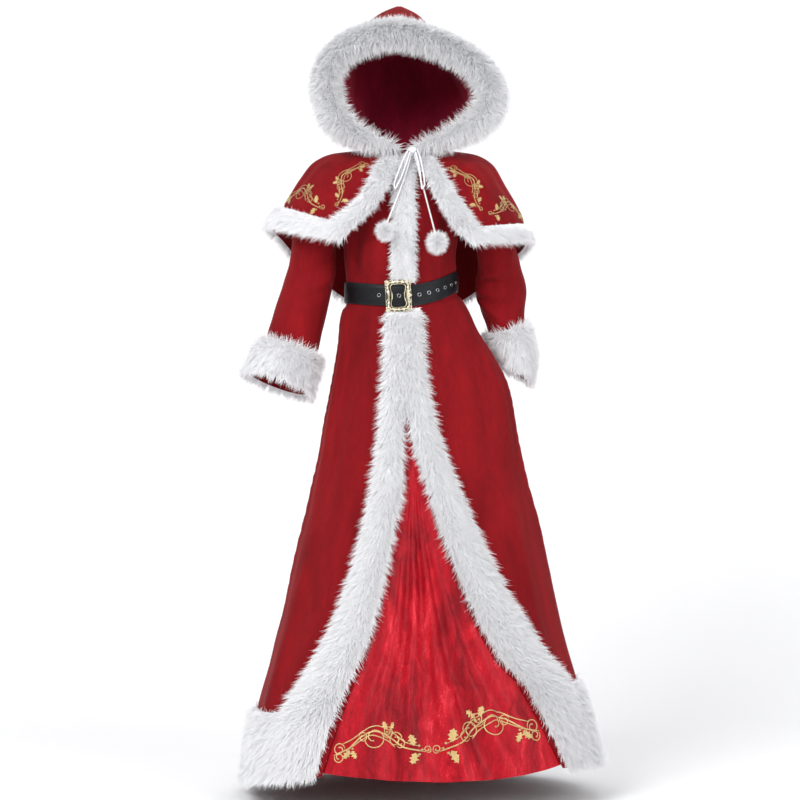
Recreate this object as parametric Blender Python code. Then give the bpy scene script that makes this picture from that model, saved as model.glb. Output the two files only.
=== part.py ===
"""Hooded Christmas gown, worn and hollow: a dress, a longer-backed capelet with a hood, and a belt.

Metres, +Z up. The front faces -Y and the wearer's left is at +X. The origin is the base of the neck.
Every cloth piece is cut from a net of points on a smooth surface, so that layers keep their distance.
"""
import math

import bmesh
import bpy
import numpy as np
from mathutils import Vector

# Walls and gaps
CLOTH = 0.0022
PANEL_CLOTH = 0.0018
SEAM_GAP = 0.0003
HALF_SEAM = SEAM_GAP / 2
PANEL_BEHIND = CLOTH + 0.0009
NORMAL_STEP = 0.004

# Fur pile heights above the cloth
FUR_EDGE_SHARE = 0.35
SKIRT_PILE = 0.016
PLACKET_PILE = 0.011
CAPE_PILE = 0.017
CUFF_PILE = 0.020

# Belt, buckle and eyelets
BELT_HALF_HEIGHT = 0.0255
BELT_UNDER = 0.0012
BELT_OVER = 0.0042
BELT_COLUMNS = 44
FUR_UNDER_BUCKLE = 0.003
BUCKLE_CENTRE_X = -0.0131
BUCKLE_HALF_WIDTH = 0.0325
BUCKLE_HALF_HEIGHT = 0.0385
BUCKLE_HOLE_WIDTH = 0.0185
BUCKLE_HOLE_HEIGHT = 0.0265
BUCKLE_WAIST = 0.16
BUCKLE_DEPTH = 0.0045
BUCKLE_RIM = 0.0025
BUCKLE_OUTER_WAIST = 0.05
BUCKLE_CORNER = 0.42
BUCKLE_TILT = math.radians(3.0)
BUCKLE_POINTS = 32
EYELET_OUTER = 0.0045
EYELET_INNER = 0.0026
EYELET_DEPTH = 0.0012
EYELET_OUTER_ROUND = 0.0006
EYELET_INNER_ROUND = 0.0004
PUNCH_DEPTHS = (-0.002, 0.008)
PUNCH_RADIUS = EYELET_INNER - 0.0002
EYELET_SIDES = 10
EYELET_FIRST = -0.0585
EYELET_PITCH = 0.0235
EYELET_PLACES = (0, 2, 4, 5, 6, 7, 8, 9)

# Tie
CORD_DIAMETER = 0.004
CORD_SPACING = 0.010
KNOT_CENTRE = (0.0205, -0.1068, -0.0105)
KNOT_RADII = (0.010, 0.006, 0.008)
POMPOM_CORE = 0.62

# Heights around the body: left, front, right, back
NECK_Z = (0.0, -0.014, 0.0, 0.010)
BODICE_TOP_Z = (-0.003, -0.017, -0.003, 0.007)
WAIST_Z = (-0.316, -0.3545, -0.343, -0.325)
SKIRT_HEM_Z = (-1.4765, -1.4635, -1.5185, -1.5315)
CAPE_HEM_Z = (-0.232, -0.245, -0.195, -0.415)
NECK_SIDE = 0.086
NECK_FRONT = 0.083

RING_COLUMNS = ("s", "left", "front", "right", "back", "drop_side", "drop_front", "drop_back")

# Half widths of the bodice from the neck (0) to the waist (1), and how far each row has dropped
BODICE_ROWS = (
    (0.00, 0.0852, 0.0822, 0.0852, 0.0822, 0.000, 0.00, 0.00),
    (0.04, 0.0880, 0.0850, 0.0880, 0.0850, 0.022, 0.03, 0.03),
    (0.12, 0.1250, 0.0980, 0.1250, 0.1020, 0.055, 0.09, 0.07),
    (0.22, 0.1650, 0.1100, 0.1650, 0.1100, 0.115, 0.18, 0.15),
    (0.30, 0.1760, 0.1180, 0.1760, 0.1120, 0.200, 0.26, 0.24),
    (0.40, 0.1600, 0.1260, 0.1640, 0.1100, 0.310, 0.36, 0.35),
    (0.55, 0.1410, 0.1340, 0.1500, 0.1080, 0.500, 0.52, 0.52),
    (0.70, 0.1280, 0.1290, 0.1450, 0.1060, 0.680, 0.68, 0.68),
    (0.82, 0.1240, 0.1160, 0.1420, 0.1050, 0.820, 0.82, 0.82),
    (0.88, 0.1250, 0.1120, 0.1400, 0.1050, 0.880, 0.88, 0.88),
    (0.92, 0.1260, 0.1120, 0.1390, 0.1050, 0.920, 0.92, 0.92),
    (1.00, 0.1260, 0.1120, 0.1390, 0.1050, 1.000, 1.00, 1.00),
)

# Half widths of the skirt from the waist (0) to the hem (1)
SKIRT_ROWS = (
    (0.0000, 0.126, 0.1120, 0.1390, 0.105, 0.0000, 0.0000, 0.0000),
    (0.0245, 0.126, 0.1120, 0.1390, 0.105, 0.0245, 0.0245, 0.0245),
    (0.0360, 0.138, 0.1125, 0.1480, 0.112, 0.0360, 0.0360, 0.0360),
    (0.0600, 0.155, 0.1200, 0.1540, 0.124, 0.0600, 0.0600, 0.0600),
    (0.1000, 0.176, 0.1300, 0.1570, 0.142, 0.1000, 0.1000, 0.1000),
    (0.1500, 0.212, 0.1400, 0.1650, 0.158, 0.1500, 0.1500, 0.1500),
    (0.2100, 0.247, 0.1490, 0.1780, 0.173, 0.2100, 0.2100, 0.2100),
    (0.3600, 0.281, 0.1800, 0.2085, 0.212, 0.3600, 0.3600, 0.3600),
    (0.5000, 0.322, 0.2160, 0.2480, 0.252, 0.5000, 0.5000, 0.5000),
    (0.7500, 0.385, 0.2840, 0.3165, 0.328, 0.7500, 0.7500, 0.7500),
    (0.8600, 0.420, 0.3160, 0.3495, 0.362, 0.8600, 0.8600, 0.8600),
    (1.0000, 0.460, 0.3500, 0.3720, 0.400, 1.0000, 1.0000, 1.0000),
)

# Half widths of the capelet from the neck (0) to its hem (1)
CAPE_ROWS = (
    (0.00, 0.086, 0.083, 0.086, 0.083, 0.00, 0.00, 0.00),
    (0.15, 0.125, 0.108, 0.125, 0.110, 0.02, 0.13, 0.06),
    (0.30, 0.170, 0.131, 0.172, 0.134, 0.05, 0.28, 0.16),
    (0.45, 0.212, 0.149, 0.216, 0.155, 0.15, 0.45, 0.30),
    (0.60, 0.242, 0.160, 0.250, 0.172, 0.36, 0.62, 0.47),
    (0.80, 0.284, 0.170, 0.290, 0.190, 0.70, 0.82, 0.73),
    (1.00, 0.300, 0.176, 0.325, 0.205, 1.00, 1.00, 1.00),
)

# Soft folds: middle angle and half width in degrees, depth, and where they start, are whole and end
FOLD_FADE = 0.10
SKIRT_FOLDS = (
    (-8.0, 15.0, 0.010, 0.20, 1.0, 2.0),
    (27.0, 17.0, 0.016, 0.10, 1.0, 2.0),
    (62.0, 18.0, 0.020, 0.06, 1.0, 2.0),
    (101.0, 19.0, 0.022, 0.06, 1.0, 2.0),
    (139.0, 17.0, 0.018, 0.08, 1.0, 2.0),
    (172.0, 15.0, 0.012, 0.25, 1.0, 2.0),
    (203.0, 14.0, 0.012, 0.15, 1.0, 2.0),
    (24.0, 26.0, -0.022, 0.03, 0.12, 0.36),
)
CAPE_FOLDS = (
    (20.0, 16.0, 0.006, 0.5, 1.0, 2.0),
    (60.0, 18.0, 0.010, 0.3, 1.0, 2.0),
    (100.0, 18.0, 0.009, 0.3, 1.0, 2.0),
    (138.0, 16.0, 0.010, 0.35, 1.0, 2.0),
    (168.0, 13.0, 0.005, 0.5, 1.0, 2.0),
)
BODICE_FOLDS = (
    (-50.0, 14.0, 0.003, 0.45, 0.8, 0.88),
    (-128.0, 14.0, 0.003, 0.45, 0.8, 0.88),
    (60.0, 18.0, 0.003, 0.50, 0.8, 0.88),
    (120.0, 18.0, 0.003, 0.50, 0.8, 0.88),
)

# Where the fur bands of the skirt front run: distances from the middle line
BAND_COLUMNS = ("s", "right_outer", "right_inner", "left_inner", "left_outer")
SKIRT_BAND_ROWS = (
    (0.0000, -0.043, 0.000, 0.000, 0.040),
    (0.1400, -0.047, 0.000, 0.000, 0.048),
    (0.2800, -0.059, 0.002, 0.008, 0.078),
    (0.3900, -0.077, 0.002, 0.044, 0.120),
    (0.4900, -0.100, -0.017, 0.076, 0.170),
    (0.5900, -0.132, -0.038, 0.118, 0.221),
    (0.6900, -0.176, -0.064, 0.165, 0.289),
    (0.7900, -0.245, -0.108, 0.230, 0.360),
    (0.8800, -0.305, -0.150, 0.300, 0.412),
    (1.0000, -0.340, -0.195, 0.380, 0.445),
)
CAPE_BAND_ROWS = (
    (0.00, -0.055, -0.010, 0.010, 0.055),
    (0.15, -0.075, -0.015, 0.030, 0.082),
    (0.30, -0.100, -0.027, 0.050, 0.105),
    (0.45, -0.118, -0.044, 0.064, 0.130),
    (0.60, -0.145, -0.068, 0.083, 0.155),
    (0.80, -0.190, -0.112, 0.115, 0.188),
    (1.00, -0.235, -0.150, 0.160, 0.230),
)
PLACKET_HALF_WIDTH = 0.0275
SKIRT_BAND_TOP = (0.835, 0.845, 0.850, 0.860)
CAPE_BAND_TOP = (0.84, 0.78, 0.80, 0.84)

# Armholes, as an ellipse on the bodice surface
ARMHOLE_MIDDLE = 0.36
ARMHOLE_HALF_DROP = 0.14
ARMHOLE_HALF_ANGLE = math.radians(38.0)
ARMHOLE_STEPS = 8
SLEEVE_SIDES = 2 * ARMHOLE_STEPS
SLEEVE_INSET = 0.0005
SLEEVE_LIFT = 0.0012
ARMHOLE_POINT = 1.5

# Sleeve middles and radii from the armhole (0) to the wrist edge (1)
SLEEVE_COLUMNS = ("s", "x", "y", "z", "across", "front_back")
SLEEVE_LEFT_ROWS = (
    (0.00, 0.172, -0.002, -0.100, 0.056, 0.068),
    (0.09, 0.197, 0.002, -0.125, 0.054, 0.067),
    (0.15, 0.209, 0.008, -0.152, 0.051, 0.066),
    (0.21, 0.214, 0.014, -0.182, 0.049, 0.064),
    (0.30, 0.219, 0.022, -0.218, 0.047, 0.062),
    (0.45, 0.229, 0.038, -0.277, 0.051, 0.059),
    (0.60, 0.237, 0.053, -0.336, 0.060, 0.056),
    (0.70, 0.240, 0.062, -0.376, 0.054, 0.053),
    (0.80, 0.248, 0.066, -0.420, 0.046, 0.050),
    (0.87, 0.261, 0.068, -0.462, 0.041, 0.050),
    (0.94, 0.272, 0.068, -0.506, 0.038, 0.050),
    (1.00, 0.270, 0.066, -0.546, 0.037, 0.050),
)
SLEEVE_RIGHT_ROWS = (
    (0.00, -0.172, -0.002, -0.100, 0.056, 0.068),
    (0.09, -0.202, 0.001, -0.125, 0.055, 0.067),
    (0.15, -0.213, 0.004, -0.153, 0.053, 0.066),
    (0.21, -0.215, 0.007, -0.186, 0.052, 0.065),
    (0.30, -0.216, 0.008, -0.224, 0.053, 0.064),
    (0.42, -0.220, 0.008, -0.280, 0.056, 0.062),
    (0.54, -0.233, 0.004, -0.336, 0.059, 0.062),
    (0.68, -0.252, -0.006, -0.406, 0.062, 0.062),
    (0.80, -0.269, -0.018, -0.472, 0.064, 0.063),
    (0.90, -0.287, -0.028, -0.522, 0.069, 0.067),
    (1.00, -0.305, -0.038, -0.572, 0.075, 0.072),
)
SLEEVE_BLEND = 0.16
SLEEVE_STEP = 0.02
CUFF_TURN_FROM = 0.80
SLEEVE_ROW_STOPS = (0.0, 0.07, 0.13, 0.20, 0.28, 0.37, 0.46, 0.55, 0.64, 0.72, 0.80, 0.87, 0.94, 1.0)
CUFF_START_ROW = 10
CUFF_TURN_LEFT = math.radians(38.0)

# Hood arches from the face edge (0) to the back of the neck (1)
HOOD_COLUMNS = ("u", "neck_angle", "top_y", "top_z", "half_width", "shoulder", "crown", "rise")
HOOD_ROWS = (
    (0.00, -82.0, -0.105, 0.258, 0.205, 1.34, 1.12, 0.20),
    (0.13, -58.0, -0.058, 0.296, 0.206, 1.34, 1.00, 0.20),
    (0.35, -25.0, 0.015, 0.330, 0.190, 1.32, 0.75, 0.20),
    (0.55, 0.0, 0.085, 0.358, 0.165, 1.25, 0.62, 0.25),
    (0.70, 18.0, 0.145, 0.322, 0.148, 1.20, 0.70, 0.28),
    (0.85, 30.0, 0.172, 0.200, 0.125, 1.15, 0.90, 0.30),
    (0.95, 38.0, 0.140, 0.080, 0.095, 1.10, 1.00, 0.32),
    (1.00, 42.0, 0.083, 0.010, 0.066, 1.00, 1.00, 0.33),
)
HOOD_STOPS = (0.0, 0.13, 0.24, 0.35, 0.46, 0.56, 0.66, 0.77, 0.88, 1.0)
HOOD_ARCH_CELLS = 9
HOOD_BACK_BLEND = 0.80
HOOD_LEAN_BLEND = 0.15
HOOD_RISE = 0.93
HOOD_LEAN_ROWS = ((-0.05, 0.000), (0.02, 0.004), (0.10, 0.014), (0.18, 0.000), (0.26, -0.022), (0.37, -0.010))
HOOD_FUR_BACK = 0.050
HOOD_FUR_UNDER = 0.0008
HOOD_FUR_END_OUT = 0.12
HOOD_FUR_GROWS = 0.30
HOOD_SEAM_LIFT = 0.0012
HOOD_FRONT_LIFT = 0.004
HOOD_FRONT_REACH = 0.35
HOOD_NAPE_COLUMNS = (0, 1, 2, -3, -2, -1)
CAPE_REST = 0.0025
CAPE_REST_PLACES = (0.0, 0.5, 201)
HOOD_FUR_END_SIZE = 0.50
FORWARD = np.array((0.0, -1.0, 0.0))

# Section of the hood's fur roll: distance back from the cloth edge, distance out from the cloth
HOOD_FUR_SECTION = (
    (0.044, 0.020),
    (0.026, 0.036),
    (0.000, 0.038),
    (-0.026, 0.028),
    (-0.036, 0.004),
    (-0.030, -0.020),
    (-0.014, -0.032),
    (-0.0008, -0.026),
)

# Tie routes
TAIL_RIGHT_ROUTE = (
    (0.0168, -0.1076, -0.0183), (0.010, -0.1175, -0.045), (0.001, -0.1255, -0.075), (-0.009, -0.1355, -0.105),
    (-0.020, -0.1435, -0.135), (-0.031, -0.149, -0.162), (-0.0401, -0.1555, -0.1853),
)
TAIL_LEFT_ROUTE = (
    (0.0242, -0.1076, -0.0183), (0.031, -0.1175, -0.045), (0.038, -0.1255, -0.075), (0.046, -0.134, -0.105),
    (0.055, -0.140, -0.140), (0.064, -0.145, -0.175), (0.0724, -0.1519, -0.2085),
)
LOOP_RIGHT_ROUTE = (
    (0.0138, -0.1122, -0.0163), (0.006, -0.1245, -0.040), (-0.004, -0.1345, -0.070), (-0.015, -0.1415, -0.094),
    (-0.0215, -0.144, -0.104), (-0.0235, -0.145, -0.098), (-0.020, -0.1425, -0.082), (-0.010, -0.1325, -0.055),
    (0.000, -0.1225, -0.030), (0.0100, -0.1112, -0.0100),
)
LOOP_LEFT_ROUTE = (
    (0.0272, -0.1122, -0.0163), (0.033, -0.1245, -0.040), (0.038, -0.1345, -0.070), (0.0405, -0.142, -0.094),
    (0.0425, -0.145, -0.105), (0.0465, -0.1455, -0.100), (0.047, -0.1425, -0.082), (0.043, -0.1325, -0.055),
    (0.038, -0.1225, -0.030), (0.0310, -0.1112, -0.0100),
)
POMPOMS = (
    ("pompom_right", (-0.0446, -0.163, -0.2045), 0.027),
    ("pompom_left", (0.0770, -0.166, -0.2326), 0.030),
)

# Pocket slit in the left side seam
SLIT_TOP = 0.155
SLIT_END = 0.255
SLIT_HALF_ANGLE = math.radians(2.6)
POCKET_WALL = 0.001
POCKET_BEHIND = CLOTH + 0.003
POCKET_SIDES = 12
POCKET_MOUTH_DROP = 0.052
POCKET_MOUTH_ANGLE = math.radians(3.6)

# Rings of the pocket bag: distance inwards, drop, share of the mouth's height and of its width
POCKET_ROWS = (
    (0.000, 0.000, 1.00, 1.00),
    (0.014, 0.001, 0.98, 0.95),
    (0.030, 0.006, 0.98, 1.00),
    (0.046, 0.014, 0.96, 1.00),
    (0.060, 0.022, 0.80, 0.80),
)

# Where the bodice ends and the skirt starts, under the belt
BODICE_END = 0.998
SKIRT_START = 0.0005

# Net densities
SKIRT_STOPS = (SKIRT_START, 0.0245, 0.036, 0.06, 0.10, 0.155, 0.205, 0.255, 0.33, 0.41, 0.50, 0.59, 0.68, 0.76)
PANEL_FIRST_ROW = 7
PANEL_CELLS = 11
PANEL_FOLD = 0.009
PANEL_WAVES = 5.5
PANEL_HEM_LIFT = 0.024
PANEL_HEM_BEHIND = 0.002
PANEL_FOLDS_FROM = 0.30
PANEL_FOLDS_RUN = 0.60
PANEL_HOLLOW_RUN = 0.30
BAND_CELLS = 3
SKIRT_SIDE_CELLS = 6
SKIRT_BACK_CELLS = 16
CAPE_STOPS = (0.0, 0.10, 0.22, 0.36, 0.50, 0.64)
CAPE_SIDE_CELLS = 4
CAPE_BACK_CELLS = 14
BODICE_SIDE_CELLS = 5
BODICE_BACK_CELLS = 14

# Finishes: colour, roughness, metallic
FINISHES = {
    "velvet": ((0.26, 0.008, 0.011), 0.85, 0.0),
    "panne_velvet": ((0.50, 0.015, 0.025), 0.45, 0.0),
    "fur": ((0.86, 0.86, 0.88), 0.95, 0.0),
    "leather": ((0.015, 0.016, 0.020), 0.45, 0.0),
    "buckle_metal": ((0.60, 0.53, 0.38), 0.30, 1.0),
    "eyelet_metal": ((0.75, 0.75, 0.77), 0.25, 1.0),
    "cord": ((0.85, 0.85, 0.86), 0.50, 0.0),
    "lining": ((0.20, 0.010, 0.014), 0.80, 0.0),
}


def clear_scene():
    """Remove every object of the open file."""
    for item in list(bpy.data.objects):
        bpy.data.objects.remove(item, do_unlink=True)


def finish(name):
    """Return the Principled material of a named finish, made once."""
    made = bpy.data.materials.get(name)
    if made:
        return made
    colour, roughness, metallic = FINISHES[name]
    made = bpy.data.materials.new(name)
    made.use_nodes = True
    shader = made.node_tree.nodes["Principled BSDF"]
    shader.inputs["Base Color"].default_value = (*colour, 1.0)
    shader.inputs["Roughness"].default_value = roughness
    shader.inputs["Metallic"].default_value = metallic
    return made


def add_object(name, mesh, finish_name):
    """Link a mesh to the scene under a node name, shaded smooth."""
    mesh.materials.append(finish(finish_name))
    mesh.shade_smooth()
    mesh.set_sharp_from_angle(angle=math.radians(50.0))
    made = bpy.data.objects.new(name, mesh)
    bpy.context.scene.collection.objects.link(made)
    return made


def mesh_object(name, points, faces, finish_name):
    """Build one closed body from points and faces, with its faces turned outwards."""
    mesh = bpy.data.meshes.new(name)
    mesh.from_pydata([tuple(map(float, point)) for point in points], [], faces)
    work = bmesh.new()
    work.from_mesh(mesh)
    bmesh.ops.recalc_face_normals(work, faces=work.faces)
    work.to_mesh(mesh)
    work.free()
    return add_object(name, mesh, finish_name)


def smooth_step(value):
    """Ease from 0 to 1 between 0 and 1."""
    held = np.clip(value, 0.0, 1.0)
    return held * held * (3.0 - 2.0 * held)


def read_rows(rows, columns, column, at):
    """Read a table column at the values of its first column, along a curve that never overshoots."""
    keys = np.array([row[0] for row in rows], float)
    values = np.array([row[columns.index(column)] for row in rows], float)
    steps = np.diff(keys)
    slopes = np.diff(values) / steps
    tangents = np.zeros(len(keys))
    tangents[0], tangents[-1] = slopes[0], slopes[-1]
    for k in range(1, len(keys) - 1):
        if slopes[k - 1] * slopes[k] > 0.0:
            before, after = 2 * steps[k] + steps[k - 1], steps[k] + 2 * steps[k - 1]
            tangents[k] = (before + after) / (before / slopes[k - 1] + after / slopes[k])
    at = np.asarray(at, float)
    held = np.clip(at, keys[0], keys[-1])
    k = np.clip(np.searchsorted(keys, held, side="right") - 1, 0, len(steps) - 1)
    t = (held - keys[k]) / steps[k]
    base = (1 + 2 * t) * (1 - t) ** 2 * values[k] + t * (1 - t) ** 2 * steps[k] * tangents[k]
    far = t * t * (3 - 2 * t) * values[k + 1] + t * t * (t - 1) * steps[k] * tangents[k + 1]
    return base + far + (at - held) * tangents[np.where(at < keys[0], 0, len(keys) - 1)]


def around(theta, values):
    """Blend left, front, right and back values around the body."""
    left, front, right, back = values
    along, across = np.cos(theta) ** 2, np.sin(theta) ** 2
    side = np.where(np.cos(theta) > 0, left, right)
    face = np.where(np.sin(theta) < 0, front, back)
    return along * side + across * face


def fold_depth(folds, theta, s):
    """Add up the outward swells of a table of soft folds."""
    total = np.zeros(np.broadcast(theta, s).shape)
    for angle, half_width, depth, start, full, end in folds:
        turn = (np.degrees(theta) - angle + 180.0) % 360.0 - 180.0
        swell = np.exp(-((turn / (0.55 * half_width)) ** 2))
        grown = smooth_step((s - start) / (full - start)) * smooth_step((end - s) / FOLD_FADE)
        total = total + depth * swell * grown
    return total


def ring_surface(rows, top, bottom, folds):
    """Make the surface of a garment tube: angle around the body and share of the way down to a point."""
    def surface(theta, s):
        theta, s = np.broadcast_arrays(np.asarray(theta, float), np.asarray(s, float))
        read = {name: read_rows(rows, RING_COLUMNS, name, s) for name in RING_COLUMNS[1:]}
        swell = fold_depth(folds, theta, s)
        side = np.where(np.cos(theta) > 0, read["left"], read["right"]) + swell
        face = np.where(np.sin(theta) < 0, read["front"], read["back"]) + swell
        drop = around(theta, (read["drop_side"], read["drop_front"], read["drop_side"], read["drop_back"]))
        high = around(theta, top)
        low = around(theta, bottom)
        return np.stack((side * np.cos(theta), face * np.sin(theta), high + (low - high) * drop), axis=-1)
    return surface


bodice_surface = ring_surface(BODICE_ROWS, BODICE_TOP_Z, WAIST_Z, BODICE_FOLDS)
skirt_surface = ring_surface(SKIRT_ROWS, WAIST_Z, SKIRT_HEM_Z, SKIRT_FOLDS)
cape_surface = ring_surface(CAPE_ROWS, NECK_Z, CAPE_HEM_Z, CAPE_FOLDS)


def belt_surface(theta, rise):
    """Follow the waist seam round the body, a distance above or below it."""
    ring = bodice_surface(theta, np.ones_like(np.asarray(theta, float)))
    ring[..., 2] += rise
    return ring


def armhole_swing(off):
    """Half the armhole's angle at a share of its half height, a little pointed at top and bottom."""
    return ARMHOLE_HALF_ANGLE * np.maximum(0.0, 1.0 - off * off) ** (ARMHOLE_POINT / 2)


def armhole_loop(side, turn):
    """Points where a sleeve starts: 0 is the shoulder tip, a quarter turn the front, half a turn the underarm."""
    s = ARMHOLE_MIDDLE - ARMHOLE_HALF_DROP * np.cos(turn)
    swing = armhole_swing(np.cos(turn)) * np.sign(np.sin(turn))
    theta = -swing if side > 0 else math.pi + swing
    return bodice_surface(theta, s) + normals(bodice_surface, theta, s, -1.0) * SLEEVE_LIFT


def sleeve_surface(side, rows):
    """Make a sleeve from its armhole to its wrist edge: angle around the arm and share of its length."""
    def middle(s):
        return np.stack([read_rows(rows, SLEEVE_COLUMNS, name, s) for name in ("x", "y", "z")], axis=-1)

    hole_turns = np.linspace(0, 2 * math.pi, 4 * SLEEVE_SIDES, endpoint=False)
    hole_middle = armhole_loop(side, hole_turns).mean(axis=0)

    def surface(turn, s):
        turn, s = np.broadcast_arrays(np.asarray(turn, float), np.asarray(s, float))
        run = middle(s + SLEEVE_STEP) - middle(s - SLEEVE_STEP)
        run = run / np.linalg.norm(run, axis=-1, keepdims=True)
        if side > 0:
            tip = CUFF_TURN_LEFT * smooth_step((s - CUFF_TURN_FROM) / (1.0 - CUFF_TURN_FROM))
            turned = run[..., 0] * np.cos(tip) + run[..., 2] * np.sin(tip)
            lifted = run[..., 2] * np.cos(tip) - run[..., 0] * np.sin(tip)
            run = np.stack((turned, run[..., 1], lifted), axis=-1)
        face = FORWARD + run * run[..., 1:2]
        face = face / np.linalg.norm(face, axis=-1, keepdims=True)
        outer = side * np.cross(face, run)
        across = read_rows(rows, SLEEVE_COLUMNS, "across", s)[..., None]
        deep = read_rows(rows, SLEEVE_COLUMNS, "front_back", s)[..., None]
        tube = middle(s) + across * np.cos(turn)[..., None] * outer + deep * np.sin(turn)[..., None] * face
        hole = armhole_loop(side, turn)
        inward = hole_middle - hole
        hole = hole + inward / np.linalg.norm(inward, axis=-1, keepdims=True) * SLEEVE_INSET
        share = smooth_step(s / SLEEVE_BLEND)[..., None]
        return hole * (1.0 - share) + tube * share
    return surface


def neck_ring(theta):
    """Points of the neck seam that the hood and the capelet share."""
    return np.stack((NECK_SIDE * np.cos(theta), NECK_FRONT * np.sin(theta), around(theta, NECK_Z)), axis=-1)


def bezier(t, start, first, second, end):
    """Read a cubic curve through four control values."""
    back = 1.0 - t
    return back ** 3 * start + 3 * back ** 2 * t * first + 3 * back * t ** 2 * second + t ** 3 * end


def hood_surface(v, u):
    """Point of the hood: v runs from the right neck (-1) over the crown (0) to the left neck (1)."""
    v, u = np.broadcast_arrays(np.asarray(v, float), np.asarray(u, float))
    side = np.where(v < 0, -1.0, 1.0)
    t = 1.0 - np.abs(v)
    read = {name: read_rows(HOOD_ROWS, HOOD_COLUMNS, name, u) for name in HOOD_COLUMNS[1:]}
    neck = neck_ring(np.radians(read["neck_angle"]))
    wide = bezier(t, neck[..., 0], read["shoulder"] * read["half_width"], read["crown"] * read["half_width"], 0.0)
    rise = bezier(t, 0.0, read["rise"], HOOD_RISE, 1.0)
    y = neck[..., 1] + (read["top_y"] - neck[..., 1]) * rise
    z = neck[..., 2] + (read["top_z"] - neck[..., 2]) * rise
    lean = read_rows(HOOD_LEAN_ROWS, ("z", "x"), "x", z) * smooth_step(t / HOOD_LEAN_BLEND)
    z = z + (HOOD_SEAM_LIFT + HOOD_FRONT_LIFT * smooth_step(1.0 - u / HOOD_FRONT_REACH)) * (1.0 - t)
    arch = np.stack((side * wide + lean, y, z), axis=-1)
    start = np.radians(read["neck_angle"])
    nape = neck_ring(start + (math.pi / 2 - start) * t)
    nape[..., 0] *= side
    nape[..., 2] += HOOD_SEAM_LIFT
    share = smooth_step((u - HOOD_BACK_BLEND) / (1.0 - HOOD_BACK_BLEND))[..., None]
    return arch * (1.0 - share) + nape * share


def normals(surface, a, b, flip):
    """Outward directions of a surface at a net's places."""
    along = surface(a + NORMAL_STEP, b) - surface(a - NORMAL_STEP, b)
    down = surface(a, b + NORMAL_STEP) - surface(a, b - NORMAL_STEP)
    out = np.cross(along, down) * flip
    return out / np.linalg.norm(out, axis=-1, keepdims=True)


class Net:
    """Rows and columns of points on a surface, from which layers of cloth and fur are cut."""

    def __init__(self, surface, a, b, flip=-1.0, closed=False):
        self.closed = closed
        self.points = surface(a, b)
        self.normals = normals(surface, a, b, flip)
        self.rows, self.columns = a.shape
        self.across = self.columns if closed else self.columns - 1

    def cells(self, rows=(0, None), columns=(0, None)):
        """Mark the cells between two rows and two columns."""
        marked = np.zeros((self.rows - 1, self.across), bool)
        marked[slice(*rows), slice(*columns)] = True
        return marked

    def inner_vertices(self, cells):
        """Tell which vertices have marked cells all round."""
        count = np.zeros((self.rows, self.columns), int)
        for j, i in zip(*np.nonzero(cells)):
            for row, column in ((j, i), (j, i + 1), (j + 1, i), (j + 1, i + 1)):
                count[row, column % self.columns] += 1
        return count == 4

    def pulled_in(self, cells):
        """Move the border of a marked region inwards by half a seam gap."""
        pull = np.zeros_like(self.points)
        edge = ~self.inner_vertices(cells)
        for j, i in zip(*np.nonzero(cells)):
            corners = [(j, i), (j, (i + 1) % self.columns), (j + 1, i), (j + 1, (i + 1) % self.columns)]
            middle = sum(self.points[corner] for corner in corners) / 4.0
            for corner in corners:
                way = middle - self.points[corner]
                pull[corner] += way / np.linalg.norm(way)
        size = np.linalg.norm(pull, axis=-1, keepdims=True)
        shift = np.where(size > 0, pull / np.maximum(size, 1e-9), 0.0) * HALF_SEAM * math.sqrt(2.0)
        return self.points + shift * edge[..., None]

    def solid(self, name, cells, low, high, finish_name):
        """Make the closed body between two heights above the marked cells."""
        base = self.pulled_in(cells)
        low = np.broadcast_to(low, (self.rows, self.columns))
        high = np.broadcast_to(high, (self.rows, self.columns))
        index = {}
        points = []

        def vertex(j, i, upper):
            key = (j, i % self.columns, upper)
            if key not in index:
                height = high[key[0], key[1]] if upper else low[key[0], key[1]]
                index[key] = len(points)
                points.append(base[key[0], key[1]] + self.normals[key[0], key[1]] * height)
            return index[key]

        faces = []
        edges = {}
        for j, i in zip(*np.nonzero(cells)):
            ring = ((j, i), (j, i + 1), (j + 1, i + 1), (j + 1, i))
            for corners in ((ring[0], ring[1], ring[2]), (ring[0], ring[2], ring[3])):
                faces.append(tuple(vertex(*corner, True) for corner in corners))
                faces.append(tuple(vertex(*corner, False) for corner in reversed(corners)))
            for start, end in zip(ring, ring[1:] + ring[:1]):
                first = (start[0], start[1] % self.columns)
                last = (end[0], end[1] % self.columns)
                if (last, first) in edges:
                    del edges[(last, first)]
                else:
                    edges[(first, last)] = True
        for first, last in edges:
            faces.append((vertex(*first, False), vertex(*last, False), vertex(*last, True)))
            faces.append((vertex(*first, False), vertex(*last, True), vertex(*first, True)))
        return mesh_object(name, points, faces, finish_name)

    def cloth(self, name, cells, finish_name="velvet", wall=CLOTH):
        """Make a cloth wall whose outer side lies on the net."""
        return self.solid(name, cells, -wall, 0.0, finish_name)

    def fur(self, name, cells, pile, press=None):
        """Make the body of a fur trim on the cloth, lower along its border."""
        share = np.where(self.inner_vertices(cells), 1.0, FUR_EDGE_SHARE)
        high = SEAM_GAP + pile * share
        if press is not None:
            high = np.minimum(high, SEAM_GAP + press)
        return self.solid(name, cells, SEAM_GAP, high, "fur")


def angle_at(rows, x, s):
    """Angle of the front point of a ring surface at a distance from the middle line."""
    left = read_rows(rows, RING_COLUMNS, "left", s)
    right = read_rows(rows, RING_COLUMNS, "right", s)
    return -np.arccos(np.clip(x / np.where(x >= 0, left, right), -1.0, 1.0))


def between(start, end, cells):
    """Column values from start to end, one array for each line, without the first line."""
    return [start + (end - start) * k / cells for k in range(1, cells + 1)]


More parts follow.
